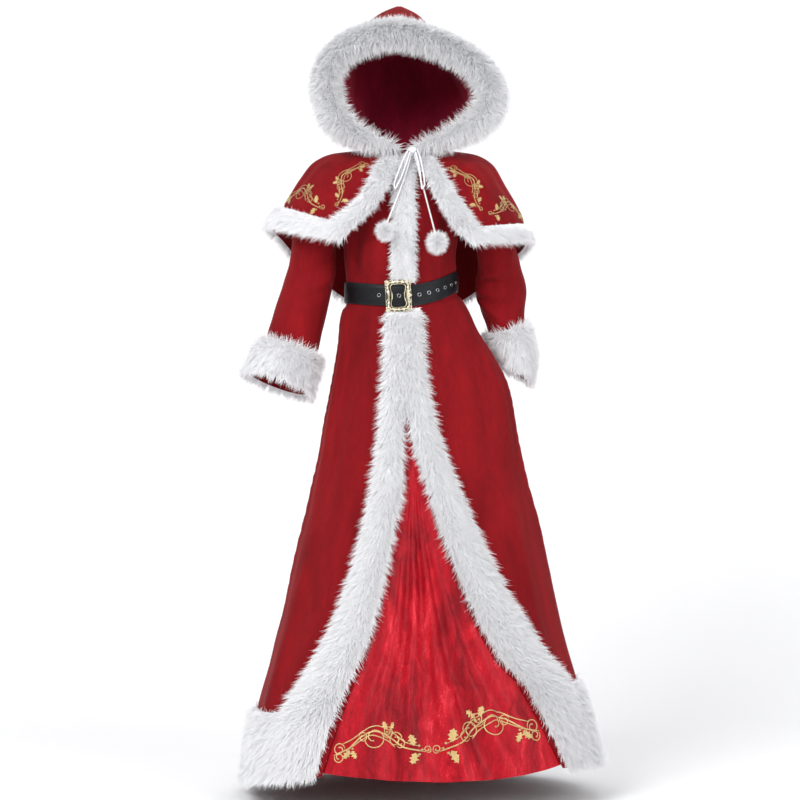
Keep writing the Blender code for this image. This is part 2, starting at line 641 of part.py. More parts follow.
def band_angles(rows, band_rows, side, s):
    """Inner and outer angle of a front fur band at the row places."""
    inner = read_rows(band_rows, BAND_COLUMNS, side + "_inner", s)
    outer = read_rows(band_rows, BAND_COLUMNS, side + "_outer", s)
    return angle_at(rows, inner, s), angle_at(rows, outer, s)


def wrapped_net(rows, band_rows, stops, band_top, surface, side_cells, back_cells, seams):
    """Net from the left front edge round the back to the right front edge, with a hem band."""
    s = np.array(stops + (0.0, 0.0, 1.0), float)
    s[-3], s[-2] = band_top[1], (band_top[1] + 1.0) / 2
    left_in, left_out = band_angles(rows, band_rows, "left", s)
    right_in, right_out = band_angles(rows, band_rows, "right", s)
    right_in, right_out = right_in + 2 * math.pi, right_out + 2 * math.pi
    left_seam, right_seam = seams(s)
    columns = [left_in]
    columns += between(left_in, left_out, BAND_CELLS)
    columns += between(left_out, left_seam[0], side_cells)
    columns += between(left_seam[1], right_seam[0], back_cells)
    columns += between(right_seam[1], right_out, side_cells)
    columns += between(right_out, right_in, BAND_CELLS)
    theta = np.stack(columns, axis=1)
    places = np.repeat(s[:, None], theta.shape[1], axis=1)
    top = around(theta[-1], band_top)
    places[-3] = top
    places[-2] = (top + 1.0) / 2
    return Net(surface, theta, places), theta, places


def plain_seams(s):
    """Side seams straight down the left and the right side."""
    flat = np.zeros_like(s)
    return (flat, flat), (flat + math.pi, flat + math.pi)


def bodice_rows():
    """Places of the bodice's net rows, with one row for each step of the armhole."""
    steps = np.linspace(0.0, math.pi, ARMHOLE_STEPS + 1)
    hole = ARMHOLE_MIDDLE - ARMHOLE_HALF_DROP * np.cos(steps)
    return np.concatenate(((0.0, 0.04, 0.12), hole, (0.62, 0.76, 0.88, 0.92, BODICE_END)))


def bodice_side(s):
    """How far each row stops short of the side line, for the armhole."""
    return armhole_swing(np.clip((s - ARMHOLE_MIDDLE) / ARMHOLE_HALF_DROP, -1.0, 1.0))


def build_bodice():
    """Two fronts, a back and the placket fur."""
    s = bodice_rows()
    swing = bodice_side(s)
    width = read_rows(BODICE_ROWS, RING_COLUMNS, "left", s)
    edge = np.arcsin(np.clip(PLACKET_HALF_WIDTH / width, 0.0, 1.0))
    centre = np.full_like(s, -math.pi / 2)
    front = [centre] + between(centre, centre + edge, 2) + between(centre + edge, -swing, BODICE_SIDE_CELLS)
    theta = np.stack(front, axis=1)
    places = np.repeat(s[:, None], theta.shape[1], axis=1)
    left = Net(bodice_surface, theta, places)
    left.cloth("bodice_front_left", left.cells())
    mirrored = np.flip(-math.pi - theta, axis=1)
    right = Net(bodice_surface, mirrored, places)
    right.cloth("bodice_front_right", right.cells())
    back = np.stack([swing] + between(swing, math.pi - swing, BODICE_BACK_CELLS), axis=1)
    rear = Net(bodice_surface, back, np.repeat(s[:, None], back.shape[1], axis=1))
    rear.cloth("bodice_back", rear.cells())
    strip = np.concatenate((mirrored[:, -3:], theta[:, 1:3]), axis=1)
    band = Net(bodice_surface, strip, places[:, :5])
    press = np.full((len(s), 1), PLACKET_PILE)
    press[-3:] = FUR_UNDER_BUCKLE
    band.fur("placket_fur", band.cells(rows=(2, len(s) - 2)), PLACKET_PILE, press)


def skirt_seams(s):
    """Side seams of the skirt, the left one opened for the pocket slit."""
    inside = np.clip((s - SLIT_TOP) / (SLIT_END - SLIT_TOP), 0.0, 1.0)
    slit = SLIT_HALF_ANGLE * np.sin(math.pi * inside)
    flat = np.zeros_like(s)
    return (-slit, slit), (flat + math.pi, flat + math.pi)


def build_skirt():
    """Four gores, the inner panel and the fur of the front edges and the hem."""
    net, theta, places = wrapped_net(SKIRT_ROWS, SKIRT_BAND_ROWS, SKIRT_STOPS, SKIRT_BAND_TOP, skirt_surface,
                                     SKIRT_SIDE_CELLS, SKIRT_BACK_CELLS, plain_seams)
    left = BAND_CELLS + SKIRT_SIDE_CELLS
    middle = left + SKIRT_BACK_CELLS // 2
    right = left + SKIRT_BACK_CELLS
    hem = len(SKIRT_STOPS)
    slit = skirt_seams(places[:, left])[0][1]
    front_theta = theta.copy()
    back_theta = theta.copy()
    for k in range(SKIRT_SIDE_CELLS + 1):
        front_theta[:, left - k] -= slit * (1.0 - k / SKIRT_SIDE_CELLS)
    for k in range(SKIRT_SIDE_CELLS + 1):
        back_theta[:, left + k] += slit * (1.0 - k / SKIRT_SIDE_CELLS)
    front_net = Net(skirt_surface, front_theta, places)
    back_net = Net(skirt_surface, back_theta, places)
    front_net.cloth("skirt_front_left", front_net.cells(columns=(0, left)))
    back_net.cloth("skirt_back_left", back_net.cells(columns=(left, middle)))
    back_net.cloth("skirt_back_right", back_net.cells(columns=(middle, right)))
    net.cloth("skirt_front_right", net.cells(columns=(right, None)))
    press = np.full((net.rows, 1), SKIRT_PILE)
    press[1:3] = FUR_UNDER_BUCKLE
    fur_left = front_net.cells(rows=(1, None), columns=(0, BAND_CELLS))
    fur_left |= front_net.cells(rows=(hem, None), columns=(0, left))
    front_net.fur("skirt_fur_left", fur_left, SKIRT_PILE, press)
    fur_right = net.cells(rows=(1, None), columns=(-BAND_CELLS, None))
    fur_right |= net.cells(rows=(hem, None), columns=(right, None))
    net.fur("skirt_fur_right", fur_right, SKIRT_PILE, press)
    back_net.fur("skirt_fur_back_left", back_net.cells(rows=(hem, None), columns=(left, middle)), SKIRT_PILE)
    back_net.fur("skirt_fur_back_right", back_net.cells(rows=(hem, None), columns=(middle, right)), SKIRT_PILE)
    build_front_panel(theta, places)


def build_front_panel(theta, places):
    """Inner panel, sewn behind the first strip of both front edges."""
    rows = slice(PANEL_FIRST_ROW, None)
    right_edge, right_under = theta[rows, -1] - 2 * math.pi, theta[rows, -2] - 2 * math.pi
    left_edge, left_under = theta[rows, 0], theta[rows, 1]
    columns = [right_under, right_edge]
    columns += between(right_edge, left_edge, PANEL_CELLS)
    columns += [left_under]
    across = np.stack(columns, axis=1)
    down = np.repeat(places[rows, :1], across.shape[1], axis=1)
    share = np.clip((across - right_edge[:, None]) / (left_edge - right_edge)[:, None], 0.0, 1.0)
    down[-1] = 1.0 - PANEL_HEM_LIFT * (2.0 * share[-1] - 1.0) ** 2
    wave = np.sin(share * PANEL_WAVES * 2.0 * math.pi) * np.sin(share * math.pi)
    depth = PANEL_FOLD * wave * smooth_step((down - PANEL_FOLDS_FROM) / PANEL_FOLDS_RUN)
    hollow = PANEL_FOLD * np.sin(share * math.pi) * smooth_step((down - PANEL_FOLDS_FROM) / PANEL_HOLLOW_RUN)
    net = Net(skirt_surface, across, down)
    high = -PANEL_BEHIND - hollow + depth
    high[-1] -= PANEL_HEM_BEHIND
    net.solid("front_panel", net.cells(), high - PANEL_CLOTH, high, "panne_velvet")


def build_pocket():
    """Plain pocket bag hanging inside the left side seam."""
    turns = np.linspace(0, 2 * math.pi, POCKET_SIDES, endpoint=False)
    s = (SLIT_TOP + SLIT_END) / 2 - POCKET_MOUTH_DROP * np.cos(turns)
    theta = POCKET_MOUTH_ANGLE * np.sin(turns)
    inward = normals(skirt_surface, theta, s, -1.0)
    mouth = skirt_surface(theta, s) - inward * POCKET_BEHIND
    middle = mouth.mean(axis=0)
    rings = []
    for wall in (0.0, POCKET_WALL):
        layer = []
        for reach, drop, height_share, width_share in POCKET_ROWS:
            ring = mouth - middle
            ring[:, 1] *= width_share
            ring[:, 2] *= height_share
            size = np.linalg.norm(ring[:, 1:], axis=1, keepdims=True)
            ring[:, 1:] *= 1.0 - wall / size
            ring += middle + np.array((-reach, 0.0, -drop))
            layer.append(ring)
        rings.append(layer)
    outer, inner = rings
    inner[-1][:, 0] += POCKET_WALL
    closed_sweep("pocket_bag", outer[::-1] + inner, "lining")


def build_sleeves():
    """Two sleeves with fur cuffs round their ends."""
    turns = np.linspace(0, 2 * math.pi, SLEEVE_SIDES, endpoint=False)
    stops = np.array(SLEEVE_ROW_STOPS)
    for name, side, rows in (("left", 1.0, SLEEVE_LEFT_ROWS), ("right", -1.0, SLEEVE_RIGHT_ROWS)):
        turn, place = np.meshgrid(turns, stops)
        net = Net(sleeve_surface(side, rows), turn, place, flip=side, closed=True)
        net.normals[0] = net.normals[1]
        net.cloth("sleeve_" + name, net.cells())
        net.fur("cuff_fur_" + name, net.cells(rows=(CUFF_START_ROW, None)), CUFF_PILE)


def build_cape():
    """Two fronts and a longer back with fur along the front edges and the hem."""
    net, _, _ = wrapped_net(CAPE_ROWS, CAPE_BAND_ROWS, CAPE_STOPS, CAPE_BAND_TOP, cape_surface,
                            CAPE_SIDE_CELLS, CAPE_BACK_CELLS, plain_seams)
    left = BAND_CELLS + CAPE_SIDE_CELLS
    right = left + CAPE_BACK_CELLS
    hem = len(CAPE_STOPS)
    net.cloth("cape_front_left", net.cells(columns=(0, left)))
    net.cloth("cape_back", net.cells(columns=(left, right)))
    net.cloth("cape_front_right", net.cells(columns=(right, None)))
    fur_left = net.cells(rows=(2, None), columns=(0, BAND_CELLS))
    fur_left |= net.cells(rows=(hem, None), columns=(0, left))
    net.fur("cape_fur_left", fur_left, CAPE_PILE)
    fur_right = net.cells(rows=(2, None), columns=(-BAND_CELLS, None))
    fur_right |= net.cells(rows=(hem, None), columns=(right, None))
    net.fur("cape_fur_right", fur_right, CAPE_PILE)
    net.fur("cape_fur_back", net.cells(rows=(hem, None), columns=(left, right)), CAPE_PILE)


def closed_sweep(name, rings, finish_name):
    """Join rings of points into one capped body."""
    sides = len(rings[0])
    points = np.concatenate(rings)
    faces = []
    for k in range(len(rings) - 1):
        for i in range(sides):
            a, b = k * sides + i, k * sides + (i + 1) % sides
            faces.append((a, b, b + sides))
            faces.append((a, b + sides, a + sides))
    last = (len(rings) - 1) * sides
    faces.append(tuple(reversed(range(sides))))
    faces.append(tuple(last + i for i in range(sides)))
    return mesh_object(name, points, faces, finish_name)


def rest_on_cape(ring):
    """Lift the points that would sink into the capelet, so that they rest on it."""
    s = np.linspace(*CAPE_REST_PLACES)
    read = {name: read_rows(CAPE_ROWS, RING_COLUMNS, name, s) for name in ("left", "front", "back")}
    for point in ring:
        face = read["front"] if point[1] < 0 else read["back"]
        reach = np.hypot(point[0] / read["left"], point[1] / face)
        if reach[0] > 1.0:
            k = int(np.argmax(reach <= 1.0))
            theta = np.arctan2(point[1] / face[k], point[0] / read["left"][k])
            point[2] = max(point[2], cape_surface(theta, s[k])[2] + CAPE_REST)
    return ring


def build_hood():
    """Two hood halves with a seam over the crown, and the fur roll round the face edge."""
    arch = np.linspace(-1.0, 1.0, 2 * HOOD_ARCH_CELLS + 1)
    v, u = np.meshgrid(arch, np.array(HOOD_STOPS))
    net = Net(hood_surface, v, u, flip=1.0)
    net.normals[-1, HOOD_NAPE_COLUMNS] = net.normals[-2, HOOD_NAPE_COLUMNS]
    net.cloth("hood_right", net.cells(columns=(0, HOOD_ARCH_CELLS)))
    net.cloth("hood_left", net.cells(columns=(HOOD_ARCH_CELLS, None)))
    edge, back, back_out = net.points[0], net.points[1], net.normals[1]
    rings = []
    for i, place in enumerate(arch):
        run = edge[min(i + 1, len(arch) - 1)] - edge[max(i - 1, 0)]
        run = run / np.linalg.norm(run)
        ahead = FORWARD - run * float(run @ FORWARD)
        ahead = ahead / np.linalg.norm(ahead)
        edge_out = np.cross(ahead, run)
        grown = float(smooth_step((1.0 - abs(place)) / HOOD_FUR_GROWS))
        size = HOOD_FUR_END_SIZE + (1.0 - HOOD_FUR_END_SIZE) * grown
        out_size = HOOD_FUR_END_OUT + (1.0 - HOOD_FUR_END_OUT) * grown
        ring = [edge[i] + (edge_out + ahead) * HOOD_FUR_UNDER, back[i] + back_out[i] * HOOD_FUR_UNDER]
        for reach, height in HOOD_FUR_SECTION:
            share = max(reach, 0.0) / HOOD_FUR_BACK
            out = edge_out * (1.0 - share) + back_out[i] * share
            out = out / np.linalg.norm(out)
            base = edge[i] + (back[i] - edge[i]) * share
            tall = height * (out_size if height > 0 else size)
            ring.append(base + ahead * max(-reach, 0.0) * size + out * tall)
        rings.append(np.array(ring[:2] + rest_on_cape(ring[2:])))
    closed_sweep("hood_fur", rings, "fur")


def belt_angle_at(distance):
    """Angle on the belt's outer face at a distance along it from the middle of the front."""
    theta = np.linspace(-math.pi, 0.0, 721)
    ring = belt_surface(theta, 0.0)
    step = np.linalg.norm(np.diff(ring, axis=0), axis=1)
    run = np.concatenate(((0.0,), np.cumsum(step)))
    run = run - np.interp(-math.pi / 2, theta, run)
    return float(np.interp(distance, run, theta))


def belt_frame(theta):
    """Point on the waist line, with the outward, along and up directions there."""
    point = belt_surface(np.array(theta), 0.0)
    ahead = belt_surface(np.array(theta + 0.01), 0.0) - belt_surface(np.array(theta - 0.01), 0.0)
    ahead = ahead / np.linalg.norm(ahead)
    out = np.array((ahead[1], -ahead[0], 0.0))
    out = out / np.linalg.norm(out)
    return point, out, ahead, np.cross(out, ahead)


def build_belt():
    """Strap with punched holes, an eyelet round each hole, and the buckle frame."""
    turns = np.linspace(-math.pi / 2, 1.5 * math.pi, BELT_COLUMNS, endpoint=False)
    theta, rise = np.meshgrid(turns, np.array((BELT_HALF_HEIGHT, -BELT_HALF_HEIGHT)))
    net = Net(belt_surface, theta, rise, flip=1.0, closed=True)
    strap = net.solid("belt_strap", net.cells(), BELT_UNDER, BELT_OVER, "leather")
    cutter_points, cutter_faces = [], []
    for place in EYELET_PLACES:
        angle = belt_angle_at(EYELET_FIRST + EYELET_PITCH * place)
        point, out, ahead, up = belt_frame(angle)
        add_eyelet("eyelet_%d" % place, point, out, ahead, up)
        base = len(cutter_points)
        for depth in PUNCH_DEPTHS:
            for k in range(EYELET_SIDES):
                turn = 2 * math.pi * k / EYELET_SIDES
                flat = ahead * math.cos(turn) + up * math.sin(turn)
                cutter_points.append(point + out * depth + flat * PUNCH_RADIUS)
        ring = range(EYELET_SIDES)
        cutter_faces += [(base + k, base + (k + 1) % EYELET_SIDES, base + (k + 1) % EYELET_SIDES + EYELET_SIDES,
                          base + k + EYELET_SIDES) for k in ring]
        cutter_faces.append(tuple(base + k for k in reversed(ring)))
        cutter_faces.append(tuple(base + k + EYELET_SIDES for k in ring))
    cutter = mesh_object("hole_cutter", cutter_points, cutter_faces, "leather")
    cutter.hide_render = True
    cutter.display_type = "WIRE"
    punch = strap.modifiers.new("punch", "BOOLEAN")
    punch.operation = "DIFFERENCE"
    punch.object = cutter
    build_buckle()


def add_eyelet(name, point, out, ahead, up):
    """Metal ring lying on the strap."""
    low, high = BELT_OVER + SEAM_GAP + 0.0001, BELT_OVER + SEAM_GAP + EYELET_DEPTH
    section = ((EYELET_INNER, low), (EYELET_OUTER, low), (EYELET_OUTER - EYELET_OUTER_ROUND, high),
               (EYELET_INNER + EYELET_INNER_ROUND, high))
    points, faces = [], []
    for k in range(EYELET_SIDES):
        turn = 2 * math.pi * k / EYELET_SIDES
        flat = ahead * math.cos(turn) + up * math.sin(turn)
        points += [point + flat * radius + out * height for radius, height in section]
    for k in range(EYELET_SIDES):
        for i in range(4):
            a, b = 4 * k + i, 4 * k + (i + 1) % 4
            c, d = 4 * ((k + 1) % EYELET_SIDES) + (i + 1) % 4, 4 * ((k + 1) % EYELET_SIDES) + i
            faces.append((a, b, c, d))
    mesh_object(name, points, faces, "eyelet_metal")


def buckle_outline(turn, half_width, half_height, waist):
    """Rounded rectangle drawn in at its waist, as distances across and up."""
    across = math.copysign(abs(math.cos(turn)) ** BUCKLE_CORNER, math.cos(turn)) * half_width
    up = math.copysign(abs(math.sin(turn)) ** BUCKLE_CORNER, math.sin(turn)) * half_height
    across *= 1.0 - waist * math.cos(up / half_height * math.pi / 2) ** 2
    return across, up


def build_buckle():
    """Ornate frame that lies on the strap, with a crest along the middle of its bars."""
    low = BELT_OVER + SEAM_GAP + 0.0001
    loops = (
        (1.0, 0.0, low), (1.0, 0.0, low + BUCKLE_RIM), (0.62, 0.38, low + BUCKLE_DEPTH),
        (0.38, 0.62, low + BUCKLE_DEPTH), (0.0, 1.0, low + BUCKLE_RIM), (0.0, 1.0, low),
    )
    middle = belt_angle_at(BUCKLE_CENTRE_X)
    points, faces = [], []
    for k in range(BUCKLE_POINTS):
        turn = 2 * math.pi * (k + 0.5) / BUCKLE_POINTS
        outer = buckle_outline(turn, BUCKLE_HALF_WIDTH, BUCKLE_HALF_HEIGHT, BUCKLE_OUTER_WAIST)
        hole = buckle_outline(turn, BUCKLE_HOLE_WIDTH, BUCKLE_HOLE_HEIGHT, BUCKLE_WAIST)
        for of_outer, of_hole, height in loops:
            across = outer[0] * of_outer + hole[0] * of_hole
            rise = outer[1] * of_outer + hole[1] * of_hole
            turned = across * math.cos(BUCKLE_TILT) - rise * math.sin(BUCKLE_TILT)
            lifted = across * math.sin(BUCKLE_TILT) + rise * math.cos(BUCKLE_TILT)
            angle = belt_angle_at(BUCKLE_CENTRE_X + turned)
            point, out, _, _ = belt_frame(angle)
            level = belt_surface(np.array(middle), 0.0)[2] + lifted
            points.append(np.array((point[0], point[1], level)) + out * height)
    count = len(loops)
    for k in range(BUCKLE_POINTS):
        for i in range(count):
            a, b = count * k + i, count * k + (i + 1) % count
            ahead = count * ((k + 1) % BUCKLE_POINTS)
            faces.append((a, b, ahead + (i + 1) % count, ahead + i))
    mesh_object("buckle", points, faces, "buckle_metal")


def smooth_route(route):
    """Points along a smooth curve through a route, one every cord spacing."""
    marks = np.array(route)
    gaps = np.linalg.norm(np.diff(marks, axis=0), axis=1)
    keys = np.concatenate(((0.0,), np.cumsum(gaps)))
    slopes = np.gradient(marks, keys, axis=0)
    count = max(4, int(round(keys[-1] / CORD_SPACING)))
    points = []
    for at in np.linspace(0.0, keys[-1], count + 1):
        k = min(int(np.searchsorted(keys, at, side="right")) - 1, len(gaps) - 1)
        t = (at - keys[k]) / gaps[k]
        start = (1 + 2 * t) * (1 - t) ** 2 * marks[k] + t * (1 - t) ** 2 * gaps[k] * slopes[k]
        end = t * t * (3 - 2 * t) * marks[k + 1] + t * t * (t - 1) * gaps[k] * slopes[k + 1]
        points.append(start + end)
    return points


def build_cord(name, route):
    """Round cord along a smooth route, with filled ends."""
    curve = bpy.data.curves.new(name, "CURVE")
    curve.dimensions = "3D"
    curve.bevel_depth = CORD_DIAMETER / 2
    curve.bevel_resolution = 2
    curve.use_fill_caps = True
    line = curve.splines.new("POLY")
    points = smooth_route(route)
    line.points.add(len(points) - 1)
    for spot, point in zip(line.points, points):
        spot.co = (*point, 1.0)
    curve.materials.append(finish("cord"))
    made = bpy.data.objects.new(name, curve)
    bpy.context.scene.collection.objects.link(made)


def build_knot():
    """Small rounded knot at the neck."""
    work = bmesh.new()
    bmesh.ops.create_uvsphere(work, u_segments=12, v_segments=8, radius=1.0)
    for point in work.verts:
        point.co = Vector((point.co[k] * KNOT_RADII[k] + KNOT_CENTRE[k] for k in range(3)))
    mesh = bpy.data.meshes.new("tie_knot")
    work.to_mesh(mesh)
    work.free()
    add_object("tie_knot", mesh, "cord")


def build_pompom(name, centre, radius):
    """Ball of fur locks: each face of a small ball is drawn out to a point."""
    work = bmesh.new()
    bmesh.ops.create_icosphere(work, subdivisions=2, radius=1.0)
    for k, face in enumerate(list(work.faces)):
        tip = face.calc_center_median().normalized()
        reach = 0.90 + 0.10 * math.sin(k * 2.4)
        poked = bmesh.ops.poke(work, faces=[face])["verts"][0]
        poked.co = tip * reach
    for point in work.verts:
        if len(point.link_edges) > 3:
            point.co = point.co.normalized() * POMPOM_CORE
    for point in work.verts:
        point.co = Vector(centre) + point.co * radius
    bmesh.ops.recalc_face_normals(work, faces=work.faces)
    mesh = bpy.data.meshes.new(name)
    work.to_mesh(mesh)
    work.free()
    add_object(name, mesh, "fur")


def build_tie():
    """Bow of two loops and two tails with a pompom each."""
    build_knot()
    build_cord("tie_tail_right", TAIL_RIGHT_ROUTE)
    build_cord("tie_tail_left", TAIL_LEFT_ROUTE)
    build_cord("tie_loop_right", LOOP_RIGHT_ROUTE)
    build_cord("tie_loop_left", LOOP_LEFT_ROUTE)
    for name, centre, radius in POMPOMS:
        build_pompom(name, centre, radius)


def main():
    """Build every piece."""
    clear_scene()
    build_bodice()
    build_skirt()
    build_pocket()
    build_sleeves()
    build_cape()
    build_hood()
    build_belt()
    build_tie()


main()
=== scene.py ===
"""Finished look of the hooded Christmas gown: cloth, fur, gold embroidery, belt and tie.

Metres, +Z up. The front faces -Y and the wearer's left is at +X, the right-hand side of the picture.
"""
from __future__ import annotations

import logging
import math
import sys
from dataclasses import dataclass, field
from enum import Enum
from typing import Any, Callable, Mapping, Sequence

import bmesh
import bpy
import numpy as np
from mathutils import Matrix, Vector


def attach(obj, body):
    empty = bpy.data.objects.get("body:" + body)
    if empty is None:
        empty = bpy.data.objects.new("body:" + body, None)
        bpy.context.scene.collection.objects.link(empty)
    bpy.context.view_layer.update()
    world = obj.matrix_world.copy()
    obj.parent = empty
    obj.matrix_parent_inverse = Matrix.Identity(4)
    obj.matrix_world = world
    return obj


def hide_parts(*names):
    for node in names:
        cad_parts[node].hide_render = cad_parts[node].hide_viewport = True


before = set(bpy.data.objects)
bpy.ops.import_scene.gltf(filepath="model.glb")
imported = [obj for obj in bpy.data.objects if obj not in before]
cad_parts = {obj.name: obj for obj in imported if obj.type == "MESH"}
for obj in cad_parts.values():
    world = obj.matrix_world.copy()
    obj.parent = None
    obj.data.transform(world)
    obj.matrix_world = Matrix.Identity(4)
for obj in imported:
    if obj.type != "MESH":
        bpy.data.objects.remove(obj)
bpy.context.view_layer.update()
LOG = logging.getLogger("gown")

Array = np.ndarray
Point = tuple[float, float, float]
Colour = tuple[float, float, float]
Faces = list[tuple[int, ...]]
Socket = bpy.types.NodeSocket
Node = bpy.types.Node
Piece = bpy.types.Object
Part = tuple[Array, Faces]
SEAM_GAP = 0.0003
CLOTH = 0.0022


class Side(Enum):
    """Side of the wearer."""

    LEFT = 1.0
    RIGHT = -1.0

    @property
    def word(self) -> str:
        """Name of the side as the nodes use it."""
        return self.name.lower()


# ---------------------------------------------------------------- numbers


def smooth_step(value: Any) -> Array:
    """Ease from 0 to 1.

    Args:
        value: Number or array; below 0 gives 0 and above 1 gives 1.

    Returns:
        The eased values.
    """
    held = np.clip(value, 0.0, 1.0)
    return held * held * (3.0 - 2.0 * held)


def unit(vectors: Array) -> Array:
    """Scale vectors to length one.

    Args:
        vectors: Array whose last axis holds x, y and z.

    Returns:
        Vectors of the same directions.
    """
    return vectors / np.maximum(np.linalg.norm(vectors, axis=-1, keepdims=True), 1e-9)


def distances(points: Array) -> Array:
    """Distance of each point of a line from its start, along the line."""
    return np.concatenate(((0.0,), np.cumsum(np.linalg.norm(np.diff(points, axis=0), axis=1))))


def hermite(t: Any, step: Any, ends: tuple[Any, Any], slopes: tuple[Any, Any]) -> Array:
    """Cubic curve between two values.

    Args:
        t: Shares of the way.
        step: Distance between the values.
        ends: Value at the start and at the end.
        slopes: Slope at the start and at the end.

    Returns:
        The values on the way.
    """
    start = (1 + 2 * t) * (1 - t) ** 2 * ends[0] + t * (1 - t) ** 2 * step * slopes[0]
    end = t * t * (3 - 2 * t) * ends[1] + t * t * (t - 1) * step * slopes[1]
    return start + end


def around(theta: Array, values: Sequence[Any]) -> Array:
    """Blend values for the left, front, right and back around the body.

    Args:
        theta: Angles around the body.
        values: Four numbers or arrays.

    Returns:
        One value for each angle.
    """
    left, front, right, back = values
    side = np.where(np.cos(theta) > 0, left, right)
    face = np.where(np.sin(theta) < 0, front, back)
    return np.cos(theta) ** 2 * side + np.sin(theta) ** 2 * face


def refine(values: Array, fine: int) -> Array:
    """Add evenly spaced values between the rows of an array.

    Args:
        values: Rows of numbers.
        fine: Steps that each interval is cut into.

    Returns:
        The rows with the new ones between them.
    """
    coarse = np.arange(len(values))
    dense = np.linspace(0, len(values) - 1, (len(values) - 1) * fine + 1)
    if values.ndim == 1:
        return np.interp(dense, coarse, values)
    return np.stack([np.interp(dense, coarse, column) for column in values.T], axis=1)


def ripple(points: Array, size: float, seed: int, waves: int = 7) -> Array:
    """Uneven waves through space, the same on every run.

    Args:
        points: Places to read.
        size: Rough distance between swells, in metres.
        seed: Choice of the waves.
        waves: Number of waves.

    Returns:
        Values from about -1 to 1.
    """
    draw = np.random.default_rng(seed)
    total = np.zeros(points.shape[:-1])
    for _ in range(waves):
        way = unit(draw.normal(size=3)) * (2.0 * math.pi / size) * draw.uniform(0.6, 1.7)
        total += np.sin(points @ way + draw.uniform(0, 2 * math.pi))
    return total / (0.5 * waves)


@dataclass(frozen=True)
class Table:
    """Named columns of numbers, read along a curve that never overshoots.

    Attributes:
        columns: Column names; the first is where each row stands.
        rows: The numbers.
    """

    columns: tuple[str, ...]
    rows: tuple[tuple[float, ...], ...]

    def read(self, column: str, at: Any) -> Array:
        """Read one column.

        Args:
            column: Name of the column.
            at: Places in the first column.

        Returns:
            The column's values there.
        """
        keys = np.array([row[0] for row in self.rows], float)
        values = np.array([row[self.columns.index(column)] for row in self.rows], float)
        steps = np.diff(keys)
        slopes = np.diff(values) / steps
        tangents = np.zeros(len(keys))
        tangents[0], tangents[-1] = slopes[0], slopes[-1]
        for k in range(1, len(keys) - 1):
            if slopes[k - 1] * slopes[k] > 0.0:
                before, after = 2 * steps[k] + steps[k - 1], steps[k] + 2 * steps[k - 1]
                tangents[k] = (before + after) / (before / slopes[k - 1] + after / slopes[k])
        at = np.asarray(at, float)
        held = np.clip(at, keys[0], keys[-1])
        k = np.clip(np.searchsorted(keys, held, side="right") - 1, 0, len(steps) - 1)
        ends, slopes = (values[k], values[k + 1]), (tangents[k], tangents[k + 1])
        curve = hermite((held - keys[k]) / steps[k], steps[k], ends, slopes)
        return curve + (at - held) * tangents[np.where(at < keys[0], 0, len(keys) - 1)]


# ---------------------------------------------------------------- surfaces


@dataclass(frozen=True)
class Crease:
    """Soft ridge (or, with a negative depth, a trough) between two places of a surface.

    Attributes:
        start: First place, in the surface's own two measures (degrees where it has an angle).
        end: Last place.
        width: Half width, in metres.
        depth: Height of the ridge, in metres.
        bow: How far the middle swings aside, in the surface's first measure.
    """

    start: tuple[float, float]
    end: tuple[float, float]
    width: float
    depth: float
    bow: float = 0.0


def folds(*rows: tuple[float, ...]) -> tuple[Crease, ...]:
    """Creases from rows of both places, the half width, the depth and, where there is one, the bow."""
    return tuple(Crease(row[:2], row[2:4], *row[4:]) for row in rows)


class Surface:
    """Smooth surface that cloth is cut from.

    Attributes:
        measure: One unit of a crease's first measure, in the surface's own.
        flip: Sense of the outward direction.
    """

    measure = math.pi / 180.0
    flip = -1.0

    def at(self, a: Any, b: Any) -> Array:
        """Point at two measures of the surface.

        Args:
            a: Place around.
            b: Place along.

        Returns:
            Points.
        """
        raise NotImplementedError

    def out(self, a: Array, b: Array) -> Array:
        """Outward directions.

        Args:
            a: Places around.
            b: Places along.

        Returns:
            Unit vectors.
        """
        step = 0.004
        along = self.at(a + step, b) - self.at(a - step, b)
        down = self.at(a, b + step) - self.at(a, b - step)
        return unit(np.cross(along, down) * self.flip)

    def swell(self, creases: Sequence[Crease], points: Array) -> Array:
        """Heights that a set of creases gives to points of the surface.

        Args:
            creases: The ridges and troughs.
            points: Points on or near the surface.

        Returns:
            A height for each point.
        """
        total = np.zeros(points.shape[:-1])
        t = np.linspace(0.0, 1.0, 31)
        for crease in creases:
            a = crease.start[0] + (crease.end[0] - crease.start[0]) * t + crease.bow * np.sin(math.pi * t)
            b = crease.start[1] + (crease.end[1] - crease.start[1]) * t
            line = self.at(a * self.measure, b)
            away = np.linalg.norm(points[..., None, :] - line, axis=-1)
            weight = np.exp(-((away / crease.width) ** 2)) * np.sin(math.pi * (0.03 + 0.94 * t)) ** 0.6
            total += crease.depth * weight.max(axis=-1)
        return total


RING = ("s", "left", "front", "right", "back", "drop_side", "drop_front", "drop_back")


